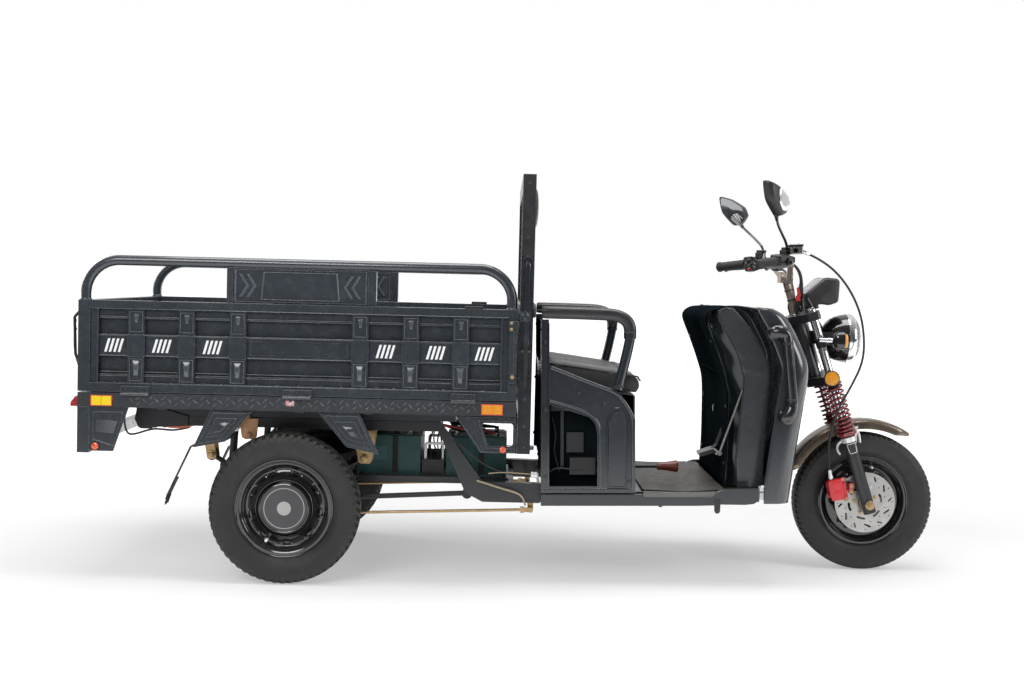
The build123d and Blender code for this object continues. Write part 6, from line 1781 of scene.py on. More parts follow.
def arm_parts():
    for side, side_name in SIDES:
        pad_y = side * 0.395
        section = [(0.022, -0.004), (0.0225, 0.006), (0.019, 0.014), (0.012, 0.0185), (0.0, 0.0200),
                   (-0.012, 0.0185),
                   (-0.019, 0.014), (-0.0225, 0.006), (-0.022, -0.004), (-0.0205, -0.008), (-0.0235, -0.011),
                   (-0.021, -0.019), (-0.010, -0.0225), (0.010, -0.0225), (0.021, -0.019), (0.0235, -0.011),
                   (0.0205, -0.008)]
        points = [Vector((u, w, 0)) for u, w in ((0.003, 0.6630), (0.060, 0.6615), (0.150, 0.6590),
                                                 (0.240, 0.6545),
                                                 (0.276, 0.6450), (0.296, 0.6290), (0.3045, 0.6080),
                                                 (0.3055, 0.5870))]
        route = along_curve(points, 5)
        rings = []
        for index, point in enumerate(route):
            before, after = route[max(0, index - 1)], route[min(len(route) - 1, index + 1)]
            ahead = (after - before).normalized()
            above = Vector((-ahead.y, ahead.x, 0))
            swell = 1.0 - 0.10 * (index < 1) - 0.06 * (index > len(route) - 3)
            rings.append([cab_point((point + above * lift * swell).x, (point + above * lift * swell).y,
                                    pad_y + across * swell) for across, lift in section])
        pad = Shape()
        pad.rings(rings, cap_start=True, cap_end=True)
        pad.piece("armrest_pad_" + side_name, arm_finish, "chassis", "arm_pad",
                  ("armrests",) if side < 0 else (), smooth=35)
        rod = Shape()
        path = along_curve([cab_point(0.3050, 0.6050, pad_y), cab_point(0.3040, 0.5750, pad_y),
                            cab_point(0.2930, 0.5200, pad_y), cab_point(0.2760, 0.4500, pad_y),
                            cab_point(0.2630, 0.3980, pad_y)], 6)
        rod.tube(path, 0.0175, 24)
        rod.turned([(0, 0.0178), (0, 0.0215), (0.020, 0.0215), (0.022, 0.0178)],
                   cab_point(0.3035, 0.5720, pad_y),
                   cab_up, 32)
        rod.turned([(0, 0.0178), (0, 0.0225), (0.006, 0.0225), (0.006, 0.0178)],
                   cab_point(0.2655, 0.4060, pad_y),
                   cab_up, 32)
        rod.piece("armrest_upright_" + side_name, gloss_paint, "chassis", smooth=60)


arm_parts()


# ---------------------------------------------------------------- handlebar, mirrors and instruments
grip_inner = Vector((0.896, 0.258, 1.128))
grip_aim = Vector((0.780 - 0.896, 0.392 - 0.258, 1.110 - 1.128)).normalized()


def mirrored(point, side):
    return Vector((point[0], side * point[1], point[2]))


def rounded(points, passes=3, share=0.78):
    """Cuts a polygon's corners until it is round; a greater share keeps them tighter."""
    for _ in range(passes):
        cut = []
        for a, b in zip(points, points[1:] + points[:1]):
            cut.append((a[0] * share + b[0] * (1 - share), a[1] * share + b[1] * (1 - share)))
            cut.append((a[0] * (1 - share) + b[0] * share, a[1] * (1 - share) + b[1] * share))
        points, share = cut, 0.78
    return points


def mirror_parts():
    """Diamond heads leaning outward, with a bright plate let into each back, on bent stems with rubber boots."""
    outline = rounded([(0.071, 0.060), (0.010, 0.046), (-0.052, 0.014), (-0.071, -0.023), (-0.046, -0.055),
                       (-0.010, -0.061), (0.052, -0.008)], 3, 0.86)
    plate = rounded([(0.014, 0.040), (-0.046, 0.008), (-0.058, -0.020), (-0.036, -0.044), (-0.010, -0.044),
                     (0.016, -0.012)], 2, 0.88)
    turn = radians(42)
    backs, glasses, stems, plates = Shape(), Shape(), Shape(), Shape()
    for side in BOTH:
        centre = Vector((0.832, side * 0.428, 1.336))
        facing = Vector((-cos(turn), -side * sin(turn), 0))
        outward_aim = Vector((-sin(turn), side * cos(turn), 0))

        def ring(line, scale, back):
            return [centre + outward_aim * (a * scale) + Vector((0, 0, b * scale)) + facing * back for a,
                    b in line]
        backs.rings([ring(outline, scale, back) for scale, back in (
            (0.91, 0.0040), (0.955, 0.0056), (1.0, 0.0045), (1.01, -0.003), (0.99, -0.012), (0.90, -0.024),
            (0.80, -0.0285), (0.40, -0.0300), (0.05, -0.0300))], cap_end=True)
        glasses.rings([ring(outline, scale, back) for scale, back in (
            (0.915, 0.0036), (0.60, 0.0040), (0.30, 0.0042), (0.05, 0.0043))], cap_end=True)
        plates.rings([ring(plate, scale, back) for scale, back in (
            (0.93, -0.0280), (0.94, -0.0310), (0.88, -0.0322), (0.50, -0.0330), (0.05, -0.0332))],
                     cap_end=True)
        root = [(0.925, 0.224, 1.146), (0.922, 0.227, 1.172), (0.914, 0.238, 1.196), (0.893, 0.272, 1.224),
                (0.872, 0.312, 1.250), (0.858, 0.352, 1.272), (0.852, 0.378, 1.288)]
        stems.tube(along_curve([mirrored(p, side) for p in root], 6), 0.0050, 12)
        stems.turned([(0, 0.0), (0, 0.0085), (0.012, 0.0085), (0.018, 0.0064), (0.030, 0.0060), (0.034, 0.0)],
                     mirrored((0.925, 0.224, 1.138), side), (0, 0, 1), 6, closed=False)
        boot = [(0.860, 0.344, 1.2680), (0.853, 0.368, 1.2820), (0.846, 0.390, 1.2960),
                (0.838, 0.410, 1.3100)]
        stems.tube([mirrored(p, side) for p in boot], [0.0066, 0.0095, 0.0135, 0.0165], 16)
    backs.piece("mirror_shells", trim_black, "steering", "trim_black", ("mirrors",), smooth=50)
    glasses.piece("mirror_glasses", mirror_glass, "steering", smooth=60)
    plates.piece("mirror_back_plates", chrome, "steering", smooth=40)
    stems.piece("mirror_stems", bar_black, "steering", smooth=50)


mirror_parts()


def bar_point(side, along, radius=0.0, angle=0.0):
    """A point by the straight grip part of one side's bar; angle 0 faces forward and 90 up."""
    aim = mirrored(grip_aim, side)
    start = mirrored(grip_inner, side)
    ahead = (Vector((1, 0, 0)) - aim * aim.x).normalized()
    above = (Vector((0, 0, 1)) - aim * aim.z - ahead * ahead.z).normalized()
    return start + aim * along + ahead * radius * cos(radians(angle)) + above * radius * sin(radians(angle))


def grip_parts():
    grips, blades, boxes, buttons, red_button, marks = Shape(), Shape(), Shape(), Shape(), Shape(), Shape()
    for side in BOTH:
        aim = mirrored(grip_aim, side)
        profile = [(0.042, 0.0115), (0.042, 0.0208), (0.0465, 0.0210), (0.0480, 0.0165)]
        step = 0.0056
        place = 0.050
        while place < 0.168:
            profile += [(place, 0.0163), (place + step * 0.25, 0.0176), (place + step * 0.7, 0.0176),
                        (place + step * 0.95, 0.0163)]
            place += step
        profile += [(0.1715, 0.0170), (0.1730, 0.0200), (0.1780, 0.0198), (0.1785, 0.0150), (0.1785, 0.0115)]
        grips.turned(profile, mirrored(grip_inner, side), aim, 40)
        marks.turned([(0.1786, 0.0), (0.1786, 0.0110), (0.1860, 0.0115), (0.1880, 0.0090), (0.1880, 0.0)],
                     mirrored(grip_inner, side), aim, 28, closed=False)
        # lever blade curving out ahead of the grip to a ball end
        path = [bar_point(side, -0.022, 0.030, -6), bar_point(side, 0.004, 0.048, -8),
                bar_point(side, 0.045, 0.058, -8),
                bar_point(side, 0.100, 0.055, -8), bar_point(side, 0.150, 0.049, -8),
                bar_point(side, 0.186, 0.052, -8)]
        curve = along_curve(path, 6)
        blades.tube(curve, [0.0055 - 0.0012 * i / len(curve) for i in range(len(curve))], 12)
        blades.turned([(-0.006, 0.0), (-0.005, 0.0052), (0, 0.0072), (0.005, 0.0052), (0.006, 0.0)],
                      bar_point(side, 0.186, 0.052, -8), aim, 16, closed=False)
        # switch pod in two halves with its rounded nose
        centre = bar_point(side, 0.019)
        ahead = (bar_point(side, 0.0, 1.0, 0) - bar_point(side, 0.0)).normalized()
        above = (bar_point(side, 0.0, 1.0, 90) - bar_point(side, 0.0)).normalized()
        boxes.box(centre + above * 0.013, (0.046, 0.040, 0.022), ahead, above)
        boxes.box(centre - above * 0.012, (0.044, 0.038, 0.022), ahead, above)
        boxes.box(centre - ahead * 0.004 - above * 0.026, (0.030, 0.032, 0.014), ahead, above)
        boxes.box(bar_point(side, -0.0215, 0.014, 10), (0.030, 0.028, 0.030), ahead, above)
        for angle, along in ((150, 0.010), (180, 0.022), (205, 0.012)):
            spot = bar_point(side, along, 0.024, angle)
            outward_aim = (spot - bar_point(side, along)).normalized()
            buttons.turned([(0, 0.0), (0, 0.0052), (0.003, 0.0050), (0.0035, 0.0)], spot, outward_aim, 18,
                           closed=False)
        spot = bar_point(side, 0.012, 0.027, 236)
        red_button.turned([(0, 0.0), (0, 0.0075), (0.006, 0.0070), (0.008, 0.0050), (0.0085, 0.0)], spot,
                          (spot - bar_point(side, 0.012)).normalized(), 24, closed=False)
    grips.piece("grip_sleeves", rubber, "steering", "rubber_black", ("handlebar_grips",), smooth=50)
    marks.piece("bar_end_plugs", bar_black, "steering", smooth=50)
    blades.piece("lever_blades", bar_black, "steering", smooth=50)
    boxes.piece("switch_pods", trim_black, "steering", "trim_black", ("control_housings",), bevel=0.005,
                segments=3)
    buttons.piece("switch_buttons", grey_rubber, "steering", smooth=40)
    red_button.piece("horn_buttons", red_wire, "steering", smooth=40)
    perches = Shape()
    for side in BOTH:
        perches.turned([(-0.036, 0.0115), (-0.036, 0.0170), (-0.034, 0.0180), (-0.010, 0.0180),
                        (-0.008, 0.0170),
                        (-0.008, 0.0115)], mirrored(grip_inner, side), mirrored(grip_aim, side), 32)
        perches.turned([(0, 0.0), (0, 0.0060), (0.020, 0.0060), (0.022, 0.0)],
                       bar_point(side, -0.022, 0.030, -40),
                       (0, 0, 1), 20, closed=False)
        perches.box(mirrored((0.938, 0.204, 1.136), side), (0.030, 0.030, 0.018))
        perches.turned([(-0.014, 0.0112), (-0.014, 0.0165), (0.014, 0.0165), (0.014, 0.0112)],
                       mirrored((0.936, 0.207, 1.1325), side), mirrored((-0.55, 0.80, -0.02), side), 28)
    perches.piece("lever_perches", bar_black, "steering", smooth=40, bevel=0.001)
    # extra lighting and starter switches on the inner bar
    cluster = Shape()
    for side in BOTH:
        cluster.box(mirrored((0.912, 0.236, 1.156), side), (0.030, 0.026, 0.024),
                    mirrored((0.6, -0.7, 0.05), side))
        cluster.box(mirrored((0.916, 0.233, 1.172), side), (0.040, 0.016, 0.010),
                    mirrored((0.6, -0.7, 0.05), side))
    cluster.piece("accessory_switches", trim_black, "steering", bevel=0.003)


grip_parts()


def reservoir_parts():
    tank = Shape()
    tank.box((0.949, -0.244, 1.166), (0.045, 0.045, 0.026), (1, 0, 0.06), (-0.06, 0, 1))
    tank.piece("brake_reservoir", warm_metal, "steering", "trim_black", bevel=0.004, segments=3)
    lid = Shape()
    lid.box((0.9482, -0.244, 1.1835), (0.047, 0.046, 0.009), (1, 0, 0.06), (-0.06, 0, 1))
    lid.piece("brake_reservoir_lid", bar_black, "steering", bevel=0.002)
    sight = Shape()
    sight.turned([(0, 0.0), (0, 0.0085), (0.0015, 0.0085), (0.0020, 0.0065), (0.0020, 0.0)],
                 (0.945, -0.2665, 1.166),
                 (0, -1, 0), 28, closed=False)
    sight.piece("reservoir_sight_glass", clear_glass, "steering", smooth=50)
    fitting = Shape()
    fitting.turned([(-0.010, 0.0), (-0.010, 0.0062), (0.0, 0.0070), (0.012, 0.0066), (0.024, 0.0055),
                    (0.026, 0.0044),
                    (0.026, 0.0)], (0.9760, -0.2430, 1.1632), Vector((0.0764, 0.013, -0.028)), 20,
                   closed=False)
    for y in (-0.258, -0.230):
        fitting.bolt((0.935, y, 1.1890), (-0.06, 0, 1), 0.0024, 12, False)
        fitting.bolt((0.962, y, 1.1906), (-0.06, 0, 1), 0.0024, 12, False)
    fitting.piece("hose_reservoir_fitting", chrome, "steering", smooth=50)


reservoir_parts()


def clamp_and_cables():
    bar_centre = fork_point(-0.040, 0.872)
    clamp = Shape()
    for side in BOTH:
        clamp.turned([(0, 0.0112), (0, 0.0205), (0.022, 0.0205), (0.022, 0.0112)],
                     bar_centre + Vector((0, side * 0.012 if side > 0 else -0.034, 0)), (0, 1, 0), 28)
        for front in (-0.016, 0.016):
            clamp.bolt(bar_centre + Vector((front, side * 0.022, 0.0205)), (0, 0, 1), 0.0050)
    clamp.piece("bar_clamp_caps", chrome, "steering", smooth=40)
    ties = Shape()
    for up in (0.785, 0.822):
        ties.turned([(0, 0.0152), (0, 0.0172), (0.004, 0.0172), (0.004, 0.0152)], fork_point(-0.040, up),
                    fork_up, 24)
    ties.box(fork_point(-0.040, 0.787) + Vector((0.018, -0.004, 0)), (0.008, 0.004, 0.003))
    ties.piece("riser_ties", rubber, "steering")
    loom = Shape()
    for shift, start_y in ((0.000, -0.186), (0.007, -0.176), (-0.006, -0.168)):
        path = [(0.936, start_y, 1.124), (0.972, -0.150, 1.110), (1.000, -0.105, 1.070 + shift),
                (1.006 + shift, -0.070, 1.010), (0.998 + shift, -0.056, 0.965),
                (1.000, -0.050 + shift, 0.935)]
        loom.tube(along_curve(path, 8), 0.0048, 10)
        path = [(x, -y, z) for x, y, z in path]
        loom.tube(along_curve(path, 8), 0.0044, 10)
    path = [(1.004, -0.060, 1.000), (1.030, -0.052, 0.955), (1.062, -0.050, 0.930), (1.086, -0.040, 0.905),
            (1.104, -0.018, 0.878), (1.112, 0.0, 0.865)]
    loom.tube(along_curve(path, 8), 0.0070, 12)
    path = [(1.006, 0.050, 0.985), (1.040, 0.060, 0.945), (1.075, 0.055, 0.915), (1.100, 0.030, 0.885)]
    loom.tube(along_curve(path, 8), 0.0060, 12)
    loom.piece("bar_cable_loom", rubber, "steering", smooth=60)
    pale = Shape()
    path = [(1.030, -0.090, 1.000), (1.056, -0.100, 0.952), (1.066, -0.098, 0.905), (1.058, -0.090, 0.870)]
    pale.tube(along_curve(path, 8), 0.0030, 10)
    pale.tube(along_curve([(1.016, -0.080, 0.998), (1.020, -0.092, 0.952), (1.044, -0.100, 0.912),
                           (1.070, -0.104, 0.884)], 8), 0.0024, 10)
    pale.piece("bar_fine_cables", grey_rubber, "steering", smooth=60)
    key = Shape()
    key.box((0.998, -0.085, 1.020), (0.011, 0.005, 0.034), (1, 0, 0.2), (-0.2, 0, 1))
    key.box((0.996, -0.085, 0.998), (0.016, 0.004, 0.020), (1, 0, 0.2), (-0.2, 0, 1))
    key.piece("key_fob", red_wire, "steering", bevel=0.002)
    ring = Shape()
    ring.tube([Vector((1.000 + 0.006 * cos(a * pi / 8), -0.085,
                       1.041 + 0.006 * sin(a * pi / 8))) for a in range(16)],
              0.0009, 8, closed=True)
    ring.tube([(1.004, -0.083, 1.046), (1.014, -0.074, 1.052)], 0.0015, 8)
    ring.piece("key_ring", chrome, "steering")
    lock = Shape()
    lock.turned([(0, 0.0), (0, 0.0165), (0.012, 0.0165), (0.014, 0.0140), (0.014, 0.0)],
                fork_point(0.032, 0.7300), fork_up, 32, closed=False)
    lock.piece("yoke_lock_barrel", trim_black, "steering", smooth=40)


clamp_and_cables()


def instrument_parts():
    side_line = [(1.0215, 1.010), (1.0415, 0.962), (1.080, 0.980), (1.113, 0.976), (1.146, 0.988),
                 (1.149, 1.062), (1.140, 1.072), (1.095, 1.0755)]
    side_round = rounded(side_line, 2, 0.90)
    shell = Shape()
    rings = []
    centre_a = sum(a for a, _ in side_round) / len(side_round)
    centre_b = sum(b for _, b in side_round) / len(side_round)
    for y, scale in ((-0.0838, 0.86), (-0.0810, 0.95), (-0.0740, 1.0), (0.0740, 1.0), (0.0810, 0.95),
                     (0.0838, 0.86)):
        rings.append([Vector((centre_a + (a - centre_a) * scale, y, centre_b + (b - centre_b) * scale))
                      for a, b in side_round])
    shell.rings(rings, cap_start=True, cap_end=True)
    shell.piece("instrument_shell", box_black, "steering", "box_black", ("instrument_box",), smooth=40)
    rear_low, rear_high = Vector((1.0215, 0, 1.0105)), Vector((1.095, 0, 1.0755))
    along = (rear_high - rear_low).normalized()
    normal = Vector((-along.z, 0, along.x))
    lid = Shape()
    lid.box((rear_low + rear_high) / 2 + normal * 0.0002, (0.088, 0.140, 0.0045), along, normal)
    lid.piece("instrument_bezel", grey_plastic, "steering", bevel=0.0018)
    pane = Shape()
    pane.box((rear_low + rear_high) / 2 + normal * 0.0022 + along * 0.002, (0.060, 0.104, 0.0025), along,
             normal)
    pane.piece("instrument_window", dark_glass, "steering", bevel=0.0008)
    seams = Shape()
    line = [Vector((a, 0, b)) for a, b in side_round]
    for y in (-0.070, 0.070):
        seams.tube([p + Vector((0, y, 0)) + (p - Vector((centre_a, 0,
                                                         centre_b))).normalized() * 0.0002 for p in line],
                   0.0012, 6, closed=True)
    seams.piece("instrument_seams", grey_rubber, "steering")
    stay = Shape()
    stay.box((1.050, 0, 0.972), (0.010, 0.040, 0.040))
    stay.bolt((1.0445, -0.010, 0.966), (-1, 0, 0), 0.004)
    stay.bolt((1.0445, 0.010, 0.966), (-1, 0, 0), 0.004)
    stay.piece("instrument_stay", trim_black, "steering", bevel=0.001)


instrument_parts()


# ---------------------------------------------------------------- headboard
def headboard_parts():
    for side, side_name in SIDES:
        shape = Shape()
        normal = Vector((0, side, 0))
        tongue = [(-0.010, 0.800), (0.024, 0.800), (0.024, 1.100), (0.0205, 1.113), (0.012, 1.120),
                  (0.002, 1.120),
                  (-0.0065, 1.113), (-0.010, 1.100)]
        ridge_frame(shape, at_depth(tongue, side * 0.4980), 0.007, 0.0030, normal, 0.0005)
        inner = [(-0.002, 0.820), (0.016, 0.820), (0.016, 1.095), (0.012, 1.106), (0.002, 1.106),
                 (-0.002, 1.095)]
        raised_patch(shape, at_depth(inner, side * 0.4980), -0.001, 0.0040, 0.12, normal)
        shape.piece("headboard_tongue_" + side_name, gloss_paint, "bed", bevel=0.0015)
        cover = Shape()
        cover.box((0.006, side * 0.4985, 1.255), (0.0425, 0.0035, 0.272))
        cover.piece("headboard_post_cover_" + side_name, trim_black, "bed", bevel=0.0012)
        lock = Shape()
        lock.box((0.006, side * 0.5005, 0.760), (0.014, 0.005, 0.165))
        lock.box((0.006, side * 0.5025, 0.735), (0.009, 0.004, 0.030))
        lock.piece("headboard_side_strap_" + side_name, trim_black, "bed", bevel=0.0015)
        plate = Shape()
        plate.box((0.001, side * 0.5000, 0.918), (0.034, 0.0045, 0.032))
        for x, z in ((-0.008, 0.924), (0.010, 0.924), (0.001, 0.908)):
            plate.bolt((x, side * 0.5022, z), (0, side, 0), 0.0030)
        plate.piece("headboard_catch_plate_" + side_name, gate_paint, "bed", bevel=0.001)
        bolts = Shape()
        for z in (1.360, 1.180, 0.640, 0.550, 0.480):
            bolts.bolt((0.006, side * (0.5002 if z > 1.12 else 0.4980), z), (0, side, 0), 0.0040)
        bolts.piece("headboard_post_bolts_" + side_name, frame_black, "bed")
    badge = Shape()
    rings = []
    for depth, wide, high in ((0.0, 0.110, 0.076), (0.006, 0.1085, 0.0745), (0.011, 0.104, 0.070),
                              (0.015, 0.096, 0.062),
                              (0.0165, 0.089, 0.055), (0.0150, 0.086, 0.052)):
        rings.append([Vector((0.0284 + depth, wide * cos(2 * pi * s / 72),
                              1.304 + high * sin(2 * pi * s / 72)))
                      for s in range(72)])
    badge.rings(rings)
    badge.piece("headboard_badge_rim", trim_black, "bed", "box_black", ("headboard_badge",), smooth=50)
    face = Shape()
    rings = []
    for depth, share in ((0.0152, 1.0), (0.0178, 0.86), (0.0194, 0.62), (0.0200, 0.32), (0.0202, 0.05)):
        rings.append([Vector((0.0284 + depth, 0.086 * share * cos(2 * pi * s / 72),
                              1.304 + 0.052 * share * sin(2 * pi * s / 72))) for s in range(72)])
    face.rings(rings, cap_end=True)
    face.piece("headboard_badge_face", warm_chrome, "bed", "box_black", smooth=60)
    panel = Shape()
    for face_x, direction in ((0.0085, 1), (0.0035, -1)):
        normal = Vector((direction, 0, 0))
        for index in range(4):
            y_low = -0.320 + index * 0.160 + 0.018
            y_high = y_low + 0.124
            for z_low, z_high in ((0.640, 0.905), (0.975, 1.215)):
                ridge_frame(panel, [(face_x, y_low, z_low), (face_x, y_high, z_low), (face_x, y_high, z_high),
                                    (face_x, y_low, z_high)], 0.008, 0.0035, normal, 0.0005)
    panel.piece("headboard_panel_ridges", headboard_paint, "bed")
    back_pad = Shape()
    for y_low, y_high in ((-0.300, -0.012), (0.012, 0.300)):
        outline = rounded([(y_low, 0.958), (y_high, 0.958), (y_high, 0.906), (y_low, 0.906)], 2)
        rings = [[Vector((x, (y_low + y_high) / 2 + (a - (y_low + y_high) / 2) * s, 0.932 + (b - 0.932) * s))
                  for a, b in outline] for x, s in ((0.0285, 0.96), (0.0340, 1.0), (0.0400, 0.97),
                                                    (0.0430, 0.86))]
        back_pad.rings(rings, cap_start=True, cap_end=True)
    pad = back_pad.piece("headboard_back_pads", seat_vinyl, "bed", smooth=50)


headboard_parts()


# ---------------------------------------------------------------- underneath: batteries, cables and bed fittings
def battery_parts():
    low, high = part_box("battery_pack")
    straps, labels, posts, wires, hot = Shape(), Shape(), Shape(), Shape(), Shape()
    top = high.z
    for side in BOTH:
        face_y = side * max(abs(low.y), abs(high.y))
        for x_low, x_high in ((low.x, low.x + 0.218), (high.x - 0.218, high.x)):
            mid = (x_low + x_high) / 2
            straps.box((mid + 0.018, face_y + side * 0.0012, (low.z + top) / 2),
                       (0.020, 0.0024, top - low.z - 0.010))
            straps.box((mid + 0.018, face_y - side * 0.050, top + 0.0014), (0.020, 0.100, 0.0028))
            labels.box((mid - 0.052, face_y + side * 0.0006, low.z + 0.075), (0.080, 0.0012, 0.050))
            for shift in (-0.072, 0.072):
                posts.turned([(0, 0.0), (0, 0.0090), (0.010, 0.0080), (0.012, 0.0050), (0.016, 0.0050),
                              (0.016, 0.0)],
                             (mid + shift, face_y - side * 0.030, top - 0.004), (0, 0, 1), 20, closed=False)
        start = low.x + 0.035
        path = [(start, face_y - side * 0.030, top + 0.010),
                (start + 0.060, face_y - side * 0.034, top + 0.034),
                (start + 0.150, face_y - side * 0.020, top + 0.028),
                (start + 0.230, face_y - side * 0.030, top + 0.040),
                (start + 0.330, face_y - side * 0.022, top + 0.026),
                (high.x - 0.040, face_y - side * 0.030, top + 0.012)]
        hot.tube(along_curve(path, 8), 0.0038, 10)
        path = [(x + 0.010, y - side * 0.012, z - 0.004 + 0.010 * sin(x * 40)) for x, y, z in path]
        wires.tube(along_curve(path, 8), 0.0042, 10)
    straps.piece("battery_straps", rubber, "chassis", bevel=0.0008)
    labels.piece("battery_blank_labels", battery_label, "chassis", bevel=0.0004)
    posts.piece("battery_posts", chrome, "chassis", smooth=40)
    wires.piece("battery_leads_black", rubber, "chassis", smooth=60)
    hot.piece("battery_leads_red", red_wire, "chassis", smooth=60)
    gap_x = (low.x + 0.218 + high.x - 0.218) / 2
    for side, side_name in SIDES:
        face_y = side * (max(abs(low.y), abs(high.y)) - 0.006)
        block = Shape()
        block.box((gap_x + 0.004, face_y, low.z + 0.112), (0.066, 0.010, 0.010))
        block.box((gap_x + 0.034, face_y, low.z + 0.066), (0.008, 0.010, 0.090))
        block.box((gap_x - 0.028, face_y, low.z + 0.066), (0.010, 0.010, 0.090))
        block.box((gap_x + 0.004, face_y, low.z + 0.024), (0.066, 0.010, 0.010))
        block.piece("battery_fuse_frame_" + side_name, white_plate, "chassis", bevel=0.0015)
        loop = Shape()
        path = [(gap_x - 0.004, face_y, top + 0.018), (gap_x - 0.012, face_y, low.z + 0.118),
                (gap_x - 0.008, face_y, low.z + 0.070), (gap_x + 0.006, face_y, low.z + 0.054),
                (gap_x + 0.018, face_y, low.z + 0.072), (gap_x + 0.014, face_y, low.z + 0.120),
                (gap_x + 0.020, face_y, top + 0.024)]
        loop.tube(along_curve(path, 8), 0.0028, 10)
        loop.piece("battery_fuse_loop_" + side_name, rubber, "chassis", smooth=60)


battery_parts()


def underside_parts():
    nuts, tan_cable, lamp_lead, orange, end_blocks = Shape(), Shape(), Shape(), Shape(), Shape()
    hangers, mounts, dampers = Shape(), Shape(), Shape()
    for side in BOTH:
        for x, z in ((-0.541, 0.413), (-1.066, 0.413)):
            for y in (0.296, 0.354):
                nuts.turned([(0, 0.0), (0, 0.0135), (0.009, 0.0135), (0.010, 0.0100), (0.014, 0.0070),
                             (0.014, 0.0)],
                            (x, side * y, z), (0, side, 0), 6, closed=False)
        path = [(-0.210, side * 0.372, 0.470), (-0.150, side * 0.376, 0.420), (-0.090, side * 0.378, 0.388),
                (-0.020, side * 0.380, 0.370), (0.050, side * 0.384, 0.366)]
        lamp_lead.tube(along_curve(path, 8), 0.0030, 10)
        path = [(-0.110, side * 0.388, 0.374), (-0.060, side * 0.390, 0.379), (0.000, side * 0.390, 0.377),
                (0.052, side * 0.388, 0.374)]
        tan_cable.tube(along_curve(path, 6), 0.0020, 8)
        tan_cable.tube(along_curve([(-0.150, side * 0.362, 0.345), (-0.070, side * 0.366, 0.322),
                                    (0.000, side * 0.368, 0.300), (0.020, side * 0.360, 0.262)], 6), 0.0034,
                       10)
        end_blocks.turned([(0, 0.0), (0, 0.0105), (0.022, 0.0105), (0.026, 0.0070), (0.026, 0.0)],
                          (0.036, side * 0.387, 0.373), (1, 0, 0), 20, closed=False)
        path = [(-1.2528, side * 0.30, 0.5134), (-1.2439, side * 0.30, 0.4990),
                (-1.2050, side * 0.30, 0.5060),
                (-1.1745, side * 0.30, 0.5090), (-1.1549, side * 0.30, 0.4996),
                (-1.2107, side * 0.30, 0.4878),
                (-1.2803, side * 0.30, 0.4896), (-1.3499, side * 0.30, 0.4705),
                (-1.3734, side * 0.30, 0.4804),
                (-1.380, side * 0.305, 0.520), (-1.372, side * 0.310, 0.560)]
        lamp_lead.tube(along_curve(path, 8), 0.0034, 10)
        orange.tube(along_curve([(-1.2441, side * 0.322, 0.5130), (-1.2200, side * 0.322, 0.5050),
                                 (-1.1750, side * 0.322, 0.5050), (-1.1329, side * 0.322, 0.5140)], 6),
                    0.0075, 12)
        hangers.box((-1.304, side * 0.300, 0.516), (0.040, 0.030, 0.048))
        hangers.box((-1.276, side * 0.296, 0.512), (0.014, 0.020, 0.034))
        mounts.prism([(-0.969, 0.540), (-0.907, 0.540), (-0.912, 0.478), (-0.922, 0.468), (-0.954, 0.468),
                      (-0.962, 0.478)], *span(side, 0.343, 0.347))
        mounts.bolt((-0.9380, side * 0.347, 0.484), (0, side, 0), 0.0075)
        dampers.turned([(-0.050, 0.0), (-0.050, 0.013), (0.044, 0.013), (0.046, 0.009), (0.060, 0.009),
                        (0.060, 0.0)],
                       (-0.990, side * 0.352, 0.452), (0.06, 0, 1), 20, closed=False)
    nuts.piece("shackle_nuts", brass, "chassis", smooth=35)
    tan_cable.piece("brake_cables", cable_tan, "chassis", smooth=60)
    lamp_lead.piece("chassis_leads", rubber, "bed", smooth=60)
    orange.piece("lamp_lead_sleeves", orange_cap, "bed", smooth=60)
    hangers.piece("bed_lead_boxes", box_black, "chassis", bevel=0.002)
    mounts.piece("damper_mounts", copper, "chassis", bevel=0.001)
    dampers.piece("damper_sleeves", leaf_steel, "chassis", smooth=40)
    end_blocks.piece("brake_cable_ends", white_plate, "chassis", smooth=40)
    flaps = Shape()
    for side in BOTH:
        for index in range(14):
            y = side * (0.4830 - 0.052 * index / 13)
            length = 0.014 + 0.020 * abs(sin(index * 2.4))
            flaps.box(Vector((-1.189, y, 0.288 - length / 2)), (0.0035, 0.0028, length), (1, 0, -0.35),
                      (0.35, 0, 1))
    flaps.piece("mud_flap_frays", rubber, "bed")
    panel = Shape()
    panel.box((0.0640, 0, 0.660), (0.003, 0.640, 0.470))
    for y in (-0.20, 0.0, 0.20):
        panel.box((0.0618, y, 0.660), (0.004, 0.060, 0.400))
    for side in BOTH:
        panel.box((0.0655, side * 0.345, 0.640), (0.010, 0.060, 0.500))
        for z in (0.440, 0.660, 0.870):
            panel.bolt((0.0605, side * 0.345, z), (-1, 0, 0), 0.0050)
    panel.piece("cab_back_panel", panel_black, "chassis", bevel=0.0015)
    sticker = Shape()
    sticker.box((-0.778, -0.4999, 0.6090), (0.030, 0.0006, 0.0185))
    sticker.piece("beam_sticker", sticker_red, "bed")


underside_parts()


